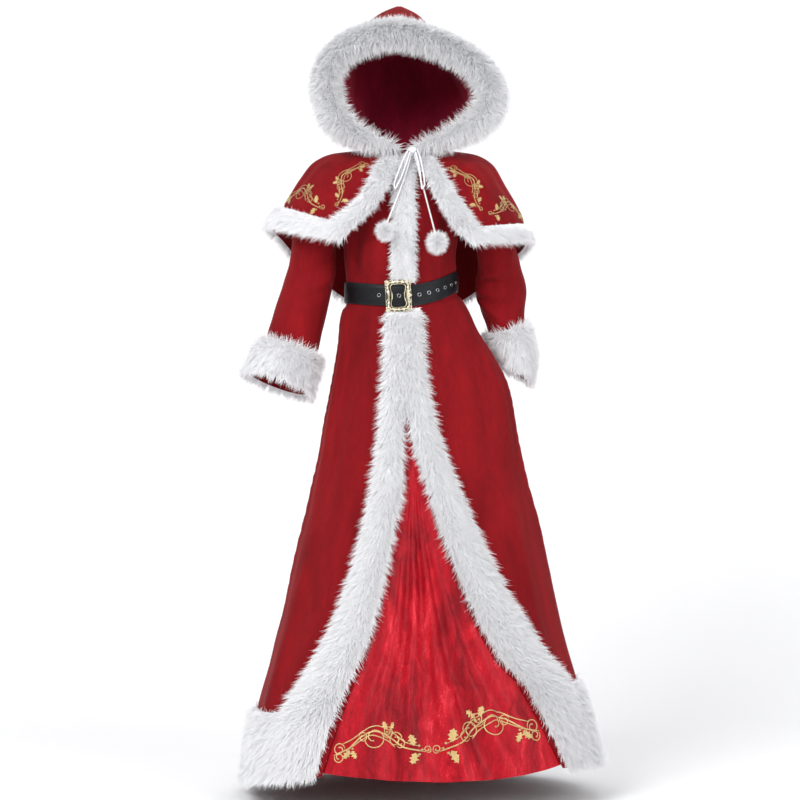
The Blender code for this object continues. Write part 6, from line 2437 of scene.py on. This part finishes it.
@dataclass
class Belt:
    """Leather strap, rolled eyelets and the cast buckle.

    Attributes:
        half_height: Half the strap's height.
        under: Distance of its inner side from the waist line.
        over: Distance of its outer side.
        first: Distance of the first eyelet from the middle of the front.
        pitch: Distance between eyelets.
        places: Numbers of the eyelets that are there.
        hole: Radius of an eyelet's hole.
        eyelet: Radius of its rolled ring.
        roll: Radius of the roll itself.
        buckle_x: Distance of the buckle's middle from the middle of the front.
        tilt: Angle by which it hangs askew.
        edge_profile: Rounded edge of the strap: distance from the edge, and height over its inner layer.
        middle_profile: The same for its middle, from the middle line.
        layer: Height of the inner layer, under its outer side.
        frame_outer: Half width, half height and waist of the buckle's outline.
        frame_hole: The same for its hole.
        frame_rows: Section of the frame: share of the way out, height, and how brightly it is rubbed.
        beads: Number of beads on the rim.
        bead: Radius of a bead.
    """

    half_height: float = 0.0255
    under: float = 0.0012
    over: float = 0.0042
    first: float = -0.0585
    pitch: float = 0.0235
    places: tuple[int, ...] = (0, 2, 4, 5, 6, 7, 8, 9)
    hole: float = 0.0031
    eyelet: float = 0.0040
    roll: float = 0.00095
    buckle_x: float = -0.0131
    tilt: float = math.radians(3.0)
    edge_profile: tuple[tuple[float, float], ...] = (
        (0.0, 0.0012), (0.0012, 0.0024), (0.0030, 0.0029), (0.0046, 0.0022), (0.0060, 0.0029), (0.0095, 0.0031))
    middle_profile: tuple[tuple[float, float], ...] = ((-0.009, 0.0031), (0.0, 0.0031), (0.009, 0.0031))
    layer: float = 0.0030
    frame_outer: Point = (0.0316, 0.0375, 0.10)
    frame_hole: Point = (0.0180, 0.0262, 0.32)
    frame_rows: tuple[Point, ...] = (
        (1.0, 0.0, 0.0), (1.0, 0.0022, 0.3), (0.95, 0.0030, 0.7), (0.86, 0.0024, -0.2), (0.74, 0.0028, -0.1),
        (0.60, 0.0038, 0.5), (0.46, 0.0038, 0.5), (0.32, 0.0030, -0.1), (0.20, 0.0025, -0.2), (0.08, 0.0034, 0.8),
        (0.0, 0.0024, 0.3), (0.0, 0.0, 0.0))
    beads: int = 36
    bead: float = 0.0014

    def ring(self, theta: Any) -> Array:
        """Waist line at angles round the body."""
        return BODICE.at(np.asarray(theta, float), 1.0)

    def angle(self, distance: Any) -> Array:
        """Angle at a distance along the belt from the middle of the front."""
        theta = np.linspace(-math.pi, 0.0, 1441)
        run = distances(self.ring(theta))
        return np.interp(distance, run - np.interp(-math.pi / 2, theta, run), theta)

    def spot(self, theta: Array) -> tuple[Array, Array, Array]:
        """Point on the waist line, with the outward direction and the one along it.

        Args:
            theta: Angles round the body.

        Returns:
            Points, outward directions and directions along the belt.
        """
        ahead = unit(self.ring(theta + 0.01) - self.ring(theta - 0.01))
        out = unit(np.stack((ahead[..., 1], -ahead[..., 0], np.zeros_like(ahead[..., 0])), axis=-1))
        return self.ring(theta), out, ahead

    def spots(self) -> tuple[Array, Array, Array]:
        """Places of the eyelets on the waist line, with both directions there."""
        return self.spot(self.angle(np.array([self.first + self.pitch * k for k in self.places])))

    def build(self) -> None:
        """Make all of it."""
        self.build_strap()
        self.build_eyelets()
        self.build_buckle()

    def build_strap(self) -> None:
        """Make the strap: rounded edges, a pressed line along each and soft creases."""
        turns = np.linspace(-math.pi / 2, 1.5 * math.pi, 240, endpoint=False)
        point, out, _ = self.spot(turns)
        high = self.half_height
        profile = [(-high + far, puff) for far, puff in self.edge_profile] + list(self.middle_profile)
        profile += [(high - far, puff) for far, puff in reversed(self.edge_profile)]
        outer = []
        for rise, puff in profile:
            line = point + np.array((0.0, 0.0, rise))
            crease = 0.0004 * ripple(line * np.array((1.0, 1.0, 2.2)), 0.030, 81) * (1.0 - (rise / high) ** 4)
            outer.append(line + out * (self.over + (puff - self.layer) + crease)[:, None])
        inner = [point + np.array((0.0, 0.0, rise)) + out * self.under for rise in (high, 0.0, -high)]
        rows = np.array(outer + inner)
        count, sides = rows.shape[:2]
        # The edge rows and the ridges beside each pressed line are marked for a lighter leather colour.
        edge = np.zeros((count, sides))
        edge[[0, 1, 13, 14]] = 1.0
        edge[[2, 4, 10, 12]] = 0.45
        made = add_object("belt_strap", rows.reshape(-1, 3), ring_faces(count, sides, closed=True), (LEATHER,),
                          {"edge": edge.ravel()}, sharp=60.0)
        self.punch(made)
        piece = dress(made, LEATHER.slot, "belt_strap")
        LOG.info("belt length %.3f m", distances(point)[-1])
        Cut(0.80, 0.051, None, "stretched").declare(piece, ("bodice_back",))

    def punch(self, strap: Piece) -> None:
        """Sink the eyelet holes into the strap, down to its dark backing.

        Args:
            strap: The strap.
        """
        points, faces, sides = [], [], 20
        for point, out, ahead in zip(*self.spots()):
            base = len(points)
            for depth in (self.under + 0.0007, 0.009):
                for turn in np.linspace(0, 2 * math.pi, sides, endpoint=False):
                    flat = ahead * math.cos(turn) + np.cross(out, ahead) * math.sin(turn)
                    points.append(point + out * depth + flat * self.hole)
            ring = [base + k for k in range(sides)]
            far = [k + sides for k in ring]
            faces += [(ring[k - 1], ring[k], far[k], far[k - 1]) for k in range(sides)] + [tuple(ring), tuple(far)]
        cutter = add_object("punch", np.array(points), faces, (LEATHER,))
        holes = strap.modifiers.new("holes", "BOOLEAN")
        holes.operation, holes.object, holes.solver = "DIFFERENCE", cutter, "EXACT"
        keep_result(strap)
        bpy.data.objects.remove(cutter, do_unlink=True)

    def build_eyelets(self) -> None:
        """Make one rolled eyelet at each place along the strap."""
        points, outs, _ = self.spots()
        group = NodeGroup("eyelets", {"Seed": "Int", "Material": "Material"})
        profile = group.add("GeometryNodeCurvePrimitiveCircle", {"Resolution": 8, "Radius": self.roll}, mode="RADIUS")
        ring = group.add("GeometryNodeCurvePrimitiveCircle", {"Resolution": 28, "Radius": self.eyelet}, mode="RADIUS")
        roll = group.add("GeometryNodeCurveToMesh", {"Curve": ring.outputs[0], "Profile Curve": profile.outputs[0]})
        turn = group.add("ShaderNodeCombineXYZ", {2: group.random(0.0, 6.28, group.given["Seed"])}).outputs[0]
        placed = group.add("FunctionNodeAlignRotationToVector", {
            "Rotation": group.add("FunctionNodeEulerToRotation", {0: turn}).outputs[0],
            "Vector": group.attribute("out", "FLOAT_VECTOR"),
        }, axis="Z")
        grown = group.add("GeometryNodeInstanceOnPoints", {
            "Points": group.add("GeometryNodeMeshToPoints", {0: group.given["Geometry"]}).outputs[0],
            "Instance": roll.outputs[0], "Rotation": placed.outputs[0],
        })
        real = group.add("GeometryNodeRealizeInstances", {0: grown.outputs[0]})
        group.finish(real.outputs[0], group.given["Material"])
        mesh = bpy.data.meshes.new("eyelets")
        mesh.from_pydata((points + outs * (self.over + 0.0008)).tolist(), [], [])
        layer = mesh.attributes.new("out", "FLOAT_VECTOR", "POINT")
        layer.data.foreach_set("vector", outs.astype(np.float32).ravel())
        made = bpy.data.objects.new("eyelets_" + EYELET_METAL.name, mesh)
        bpy.context.scene.collection.objects.link(made)
        group.run(made, {"Seed": 4, "Material": EYELET_METAL.material()})
        made.data.shade_smooth()
        dress(made, EYELET_METAL.slot, *["eyelet_%d" % k for k in self.places])

    def outline(self, turn: Array, half_width: float, half_height: float, waist: float) -> tuple[Array, Array]:
        """Rounded rectangle drawn in at its waist.

        Args:
            turn: Angles round the buckle.
            half_width: Half its width.
            half_height: Half its height.
            waist: Share by which its waist is drawn in.

        Returns:
            Distances across and up.
        """
        across = np.sign(np.cos(turn)) * np.abs(np.cos(turn)) ** 0.42 * half_width
        up = np.sign(np.sin(turn)) * np.abs(np.sin(turn)) ** 0.42 * half_height
        return across * (1.0 - waist * np.cos(up / half_height * math.pi / 2) ** 2), up

    def on_belt(self, across: Array, up: Array, height: Array) -> Array:
        """Points over the strap, tilted with the buckle.

        Args:
            across: Distances along the belt from the buckle's middle.
            up: Distances up.
            height: Heights over the waist line.

        Returns:
            The points.
        """
        turned = across * math.cos(self.tilt) - up * math.sin(self.tilt)
        lifted = across * math.sin(self.tilt) + up * math.cos(self.tilt)
        point, out, _ = self.spot(self.angle(self.buckle_x + turned))
        level = self.ring(self.angle(self.buckle_x))[2]
        base = np.stack((point[..., 0], point[..., 1], level + lifted), axis=-1)
        return base + out * np.asarray(height)[..., None]

    def build_buckle(self) -> None:
        """Make the frame with scalloped rims, scrolls at the corners and a row of beads."""
        low = self.over + SEAM_GAP + 0.0001
        turn = 2 * math.pi * (np.arange(160) + 0.5) / 160
        lobes = 1.0 + 0.034 * np.cos(turn * 12)
        outer = tuple(part * lobes for part in self.outline(turn, *self.frame_outer))
        hole = self.outline(turn, *self.frame_hole)
        rows, marks = [], []
        for share, high, mark in self.frame_rows:
            across, up = (o * share + h * (1.0 - share) for o, h in zip(outer, hole))
            scallop = 0.0006 * np.cos(turn * 24) * (0.35 < share < 0.8) + 0.0003 * np.cos(turn * 40) * (share == 0.95)
            rows.append(self.on_belt(across, up, low + high + scallop * (high > 0)))
            marks.append(np.full(len(turn), mark))
        frame_part = (np.concatenate(rows), ring_faces(len(rows), len(turn), closed=True))
        points, faces = join([frame_part, *self.reliefs(low)])
        edge = np.concatenate((*marks, np.ones(len(points) - len(frame_part[0]))))
        made = add_object("buckle", points, faces, (BUCKLE_METAL,), {"edge": edge}, sharp=60.0)
        dress(made, BUCKLE_METAL.slot, "buckle")

    def reliefs(self, low: float) -> list[Part]:
        """Scrolls, beads and the pointed leaf on the left bar.

        Args:
            low: Height of the frame's back over the waist line.

        Returns:
            Points and faces of each.
        """
        made = []
        for side_x in (-1.0, 1.0):
            for side_z in (-1.0, 1.0):
                t = np.linspace(0.0, 3.3 * math.pi, 40)
                size = 0.0062 * (1.0 - t / t[-1] * 0.80)
                bar = np.linspace(-0.5, 0.5, 22)
                for across, up, high, radius in (
                    (0.0244 + size * np.cos(t + 0.6), 0.0300 + size * np.sin(t + 0.6), 0.0044, 0.0013),
                    (0.0100 + 0.55 * size * np.cos(t - 0.9), 0.0318 + 0.55 * size * np.sin(t - 0.9), 0.0042, 0.0010),
                    (0.0262 + 0.0018 * np.cos(bar * math.pi * 2), 0.0135 + 0.012 * bar, 0.0041, 0.0009),
                ):
                    route = self.on_belt(side_x * across, side_z * up, np.full(across.shape, low + high))
                    made.append(tube(route, radius, 7))
        for k in range(self.beads):
            turn = np.array(2 * math.pi * (k + 0.5) / self.beads)
            across, up = self.outline(turn, 0.0302, 0.0362, 0.10)
            centre = self.on_belt(across, up, np.array(low + 0.0032))
            made.append(ball(tuple(centre), (self.bead,) * 3, 3, 8))
        for side_z in (-1.0, 1.0):
            for x, size in ((0.0, 0.0032), (-0.0048, 0.0016), (0.0048, 0.0016)):
                centre = self.on_belt(np.array(x), np.array(side_z * 0.0325), np.array(low + 0.0040))
                made.append(ball(tuple(centre), (size, size * 0.8, size), 5, 12))
        leaf = [(0.0185, 0.0095), (0.0300, 0.0015), (0.0320, 0.0), (0.0300, -0.0015), (0.0185, -0.0095)]
        ridge = [(0.0215, 0.0), (0.0290, 0.0)]
        flat = np.array(leaf + ridge)
        heights = np.array([0.0046] * len(leaf) + [0.0066, 0.0058]) + low
        points = self.on_belt(flat[:, 0], flat[:, 1], heights)
        under = self.on_belt(flat[:len(leaf), 0], flat[:len(leaf), 1], np.full(len(leaf), low + 0.002))
        faces = [(0, 1, 6, 5), (1, 2, 6), (2, 3, 6), (3, 4, 5, 6), (4, 0, 5)]
        base = len(points)
        faces += [(k, base + k, base + (k + 1) % 5, (k + 1) % 5) for k in range(5)]
        faces.append(tuple(base + k for k in range(5)))
        made.append((np.concatenate((points, under)), faces))
        return made


@dataclass(frozen=True)
class Scroll:
    """Sewn scroll, with all measures as shares of its length.

    Attributes:
        stems: Width and points of each stem.
        curls: Start, direction in degrees, radius and sense of each tendril.
        leaves: Foot, direction in degrees and length of each holly leaf.
        berries: Middles of the berries.
    """

    stems: tuple[tuple[float, tuple[tuple[float, float], ...]], ...]
    curls: tuple[tuple[float, float, float, float, float], ...]
    leaves: tuple[tuple[float, float, float, float], ...]
    berries: tuple[tuple[float, float], ...]


SCROLL = Scroll(
    stems=(
        (1.00, ((0.02, 0.095), (0.16, 0.040), (0.30, -0.060), (0.45, -0.105), (0.60, -0.070), (0.78, 0.010),
                (0.97, 0.040))),
        (0.75, ((0.10, 0.010), (0.20, -0.035), (0.32, -0.105), (0.46, -0.145), (0.62, -0.110), (0.78, -0.030),
                (0.90, 0.000))),
        (0.75, ((0.20, 0.022), (0.30, -0.035), (0.42, -0.075), (0.56, -0.050), (0.66, 0.000))),
    ),
    curls=(
        (0.35, -0.085, 118.0, 0.105, -1.0), (0.52, -0.095, 72.0, 0.062, -1.0), (0.13, 0.050, -82.0, 0.060, -1.0),
        (0.27, -0.045, -112.0, 0.050, 1.0), (0.72, -0.035, -58.0, 0.075, -1.0), (0.97, 0.040, 35.0, 0.035, -1.0),
        (0.04, 0.090, 125.0, 0.050, -1.0), (0.68, -0.020, 78.0, 0.050, -1.0),
    ),
    leaves=(
        (0.185, 0.050, 122.0, 0.105), (0.205, 0.050, 52.0, 0.095), (0.555, -0.125, -122.0, 0.095),
        (0.585, -0.125, -48.0, 0.105), (0.870, 0.048, 108.0, 0.125), (0.855, -0.005, -104.0, 0.120),
    ),
    berries=(
        (0.182, 0.030), (0.210, 0.034), (0.172, 0.052), (0.560, -0.108), (0.588, -0.106), (0.900, 0.058),
        (0.905, -0.004), (0.935, 0.024),
    ),
)


@dataclass
class Sprig:
    """Scroll of gold thread along a guide line on a surface.

    Attributes:
        surface: Surface that carries it.
        guide: Places that its middle line passes, in degrees and shares of the way down.
        stem: Width of the main stem.
        lift: Height over the surface.
        turned: Whether the design is mirrored across the guide.
        tall: How far it spreads from the guide, against its length.
        design: What is sewn.
        waves: Height of the cloth over the surface, where it has waves of its own.
    """

    surface: Surface
    guide: tuple[tuple[float, float], ...]
    stem: float = 0.0018
    lift: float = 0.0005
    turned: bool = False
    tall: float = 1.0
    design: Scroll = SCROLL
    waves: Callable[[Array, Array], Array] | None = None

    def __post_init__(self) -> None:
        """Measure the guide line."""
        table = np.array(self.guide, float)
        line = self.surface.at(np.radians(table[:, 0]), table[:, 1])
        keys = distances(line)
        self.route = Table(("k", "a", "b"), tuple(zip((keys / keys[-1]).tolist(), *table.T.tolist())))
        self.length = float(keys[-1])

    def marks(self, gone: Array) -> tuple[Array, Array]:
        """Measures of the guide line at shares of its length."""
        return np.radians(self.route.read("a", gone)), self.route.read("b", gone)

    def place(self, along: Any, aside: Any, height: Any = 0.0) -> Array:
        """Points beside the guide line.

        Args:
            along: Distances along it.
            aside: Distances to its side.
            height: Heights over the cloth.

        Returns:
            Points on the surface, lifted off the cloth.
        """
        along, aside = np.broadcast_arrays(np.asarray(along, float), np.asarray(aside, float))
        a, b = self.marks(along / self.length)
        step = 1e-3
        run = unit(self.surface.at(*self.marks(along / self.length + step))
                   - self.surface.at(*self.marks(along / self.length - step)))
        by_a = (self.surface.at(a + step, b) - self.surface.at(a - step, b)) / (2 * step)
        by_b = (self.surface.at(a, b + step) - self.surface.at(a, b - step)) / (2 * step)
        side = unit(np.cross(unit(np.cross(by_a, by_b)), run)) * aside[..., None]
        aa, ab, bb = (by_a * by_a).sum(-1), (by_a * by_b).sum(-1), (by_b * by_b).sum(-1)
        da, db = (side * by_a).sum(-1), (side * by_b).sum(-1)
        scale = aa * bb - ab * ab
        a, b = a + (da * bb - db * ab) / scale, b + (db * aa - da * ab) / scale
        rise = self.lift + np.broadcast_to(np.asarray(height, float), a.shape)
        points = self.surface.at(a, b)
        if self.waves is not None:
            rise = rise + self.waves(points, b)
        return points + self.surface.out(a, b) * rise[..., None]

    def ribbon(self, along: Array, aside: Array, width: float) -> Part:
        """Raised line of satin stitch that narrows to both ends.

        Args:
            along: Distances along the guide line.
            aside: Distances to its side.
            width: Width of the line.

        Returns:
            Points and faces.
        """
        run = unit(np.stack((np.gradient(along), np.gradient(aside)), axis=1))
        gone = np.linspace(0, 1, len(along))
        wide = width / 2 * np.minimum(1.0, 0.35 + 12.0 * gone * (1.0 - gone))
        section = ((-1.0, -0.5), (-0.8, 0.7), (0.0, 1.0), (0.8, 0.7), (1.0, -0.5))
        rows = []
        for across, high in section:
            x = along - run[:, 1] * across * wide
            y = aside + run[:, 0] * across * wide
            rows.append(self.place(x, y, np.full(len(along), high * min(0.0010, width * 0.35))))
        return np.stack(rows, axis=1).reshape(-1, 3), ring_faces(len(along), len(section))

    def curl(self, along: float, aside: float, turn: float, size: float, sense: float) -> list[Part]:
        """Spiral tendril that leaves the stem.

        Args:
            along: Where it starts.
            aside: Distance of its start from the guide line.
            turn: Direction in which it starts.
            size: Radius of its outer turn.
            sense: 1 to curl to the left, -1 to the right.

        Returns:
            Points and faces.
        """
        t = np.linspace(0.0, 1.0, 46)
        angle = turn + sense * (2.75 * math.pi * t ** 0.85)
        radius = size * (1.0 - 0.80 * t)
        step = np.gradient(t) * 2.75 * math.pi
        x = along + np.cumsum(np.cos(angle) * radius * step)
        y = aside + np.cumsum(np.sin(angle) * radius * step)
        return [self.ribbon(x, y, self.stem * 0.70), self.berry(x[-1], y[-1], self.stem * 0.60)]

    def berry(self, along: float, aside: float, size: float) -> Part:
        """Small raised dot."""
        turns = np.linspace(0, 2 * math.pi, 12, endpoint=False)
        rings = [self.place(along + np.cos(turns) * size * r, aside + np.sin(turns) * size * r, np.full(12, h * size))
                 for r, h in ((1.0, -0.2), (0.95, 0.25), (0.70, 0.55), (0.35, 0.72))]
        return np.concatenate(rings), ring_faces(len(rings), len(turns))

    def holly(self, along: float, aside: float, turn: float, size: float) -> Part:
        """Raised holly leaf with pointed lobes and a sunk midrib.

        Args:
            along: Where it starts, as a distance along the guide line.
            aside: Distance of its foot from the guide line.
            turn: Angle from the guide's direction.
            size: Its length.

        Returns:
            Points and faces.
        """
        edge = ((0.0, 0.03), (0.13, 0.15), (0.19, 0.30), (0.31, 0.17), (0.43, 0.22), (0.50, 0.37), (0.62, 0.18),
                (0.73, 0.17), (0.79, 0.26), (0.88, 0.08), (1.0, 0.0))
        outline = np.array(list(edge) + [(x, -w) for x, w in reversed(edge[:-1])]) * size
        rings = []
        for share, high in ((1.0, -0.0003), (1.0, 0.0007), (0.55, 0.0010), (0.05, 0.00035)):
            long = outline[:, 0] * (1.0 - 0.10 * (1.0 - share)) + 0.05 * size * (1.0 - share)
            wide = outline[:, 1] * share
            x = long * math.cos(turn) - wide * math.sin(turn)
            y = long * math.sin(turn) + wide * math.cos(turn)
            rings.append(self.place(along + x, aside + y, np.full(len(x), high)))
        return np.concatenate(rings), ring_faces(len(rings), len(outline))

    def parts(self) -> list[Part]:
        """Make the stems with their tendrils, leaves and berries.

        Returns:
            Points and faces of each.
        """
        size, flip = self.length, -self.tall if self.turned else self.tall
        sense_of = math.copysign(1.0, flip)
        made = []
        for width, points in self.design.stems:
            keys = np.linspace(0.0, 1.0, len(points))
            table = Table(("k", "u", "v"), tuple((k, *point) for k, point in zip(keys.tolist(), points)))
            t = np.linspace(0.0, 1.0, 90)
            made.append(self.ribbon(table.read("u", t) * size, flip * table.read("v", t) * size, self.stem * width))
        for u, v, turn, radius, sense in self.design.curls:
            made += self.curl(u * size, flip * v * size, sense_of * math.radians(turn),
                              radius * size * self.tall ** 0.5, sense_of * sense)
        for u, v, turn, long in self.design.leaves:
            made.append(self.holly(u * size, flip * v * size, sense_of * math.radians(turn), long * size))
        for u, v in self.design.berries:
            made.append(self.berry(u * size, flip * v * size, 0.013 * size))
        return made


def sew(name: str, parts: Sequence[Part]) -> Piece:
    """Join stitched parts into one piece of gold thread.

    Args:
        name: Name of the piece.
        parts: Points and faces of each part.

    Returns:
        The piece.
    """
    return dress(add_object(name, *join(parts), (GOLD_THREAD,)), GOLD_THREAD.slot)


@dataclass
class Embroidery:
    """Gold sprigs on the capelet's fronts and along the panel's hem.

    Attributes:
        fronts: For each capelet front, the guide down its edge and the one along its hem.
        hem: Guide along the panel's hem.
    """

    fronts: Mapping[str, tuple[tuple[tuple[float, float], ...], ...]] = field(default_factory=lambda: {
        "sprig_right": (((-133.5, 0.235), (-127.5, 0.39), (-126.5, 0.52), (-128.0, 0.665)),
                        ((-179.0, 0.690), (-163.0, 0.715), (-149.0, 0.720), (-134.0, 0.700))),
        "sprig_left": (((-44.5, 0.300), (-48.5, 0.43), (-47.5, 0.56), (-45.5, 0.690)),
                       ((-2.0, 0.765), (-17.0, 0.755), (-29.0, 0.745), (-42.0, 0.720))),
    })
    hem: tuple[tuple[tuple[float, float], ...], ...] = (
        ((-117.0, 0.916), (-106.0, 0.924), (-95.0, 0.930), (-82.5, 0.928)),
        ((-44.0, 0.876), (-56.0, 0.898), (-68.0, 0.915), (-80.5, 0.927)))

    def build(self) -> None:
        """Make all sprigs."""
        for name, guides in self.fronts.items():
            parts = []
            for k, guide in enumerate(guides):
                parts += Sprig(CAPE, guide, 0.0018, 0.0009, (k == 0) == name.endswith("right"), 1.6,
                               waves=cape_waves).parts()
            sew(name, parts)
        near, far = self.hem
        sew("sprig_hem", Sprig(PANEL, near, 0.0034, 0.0006, tall=1.45).parts()
            + Sprig(PANEL, far, 0.0034, 0.0006, True, 1.45).parts())


def main() -> None:
    """Build the scene piece by piece."""
    logging.basicConfig(level=logging.INFO, format="%(name)s: %(message)s", stream=sys.stdout)
    Studio().build()
    tree = FurTree()
    for part in (Tie(tree), Bodice(tree), Skirt(tree), SleevePair(tree), Capelet(tree), Hood(tree), Belt(),
                 Embroidery()):
        LOG.info("building the %s", type(part).__name__.lower())
        part.build()


if __name__ == "__main__":
    main()
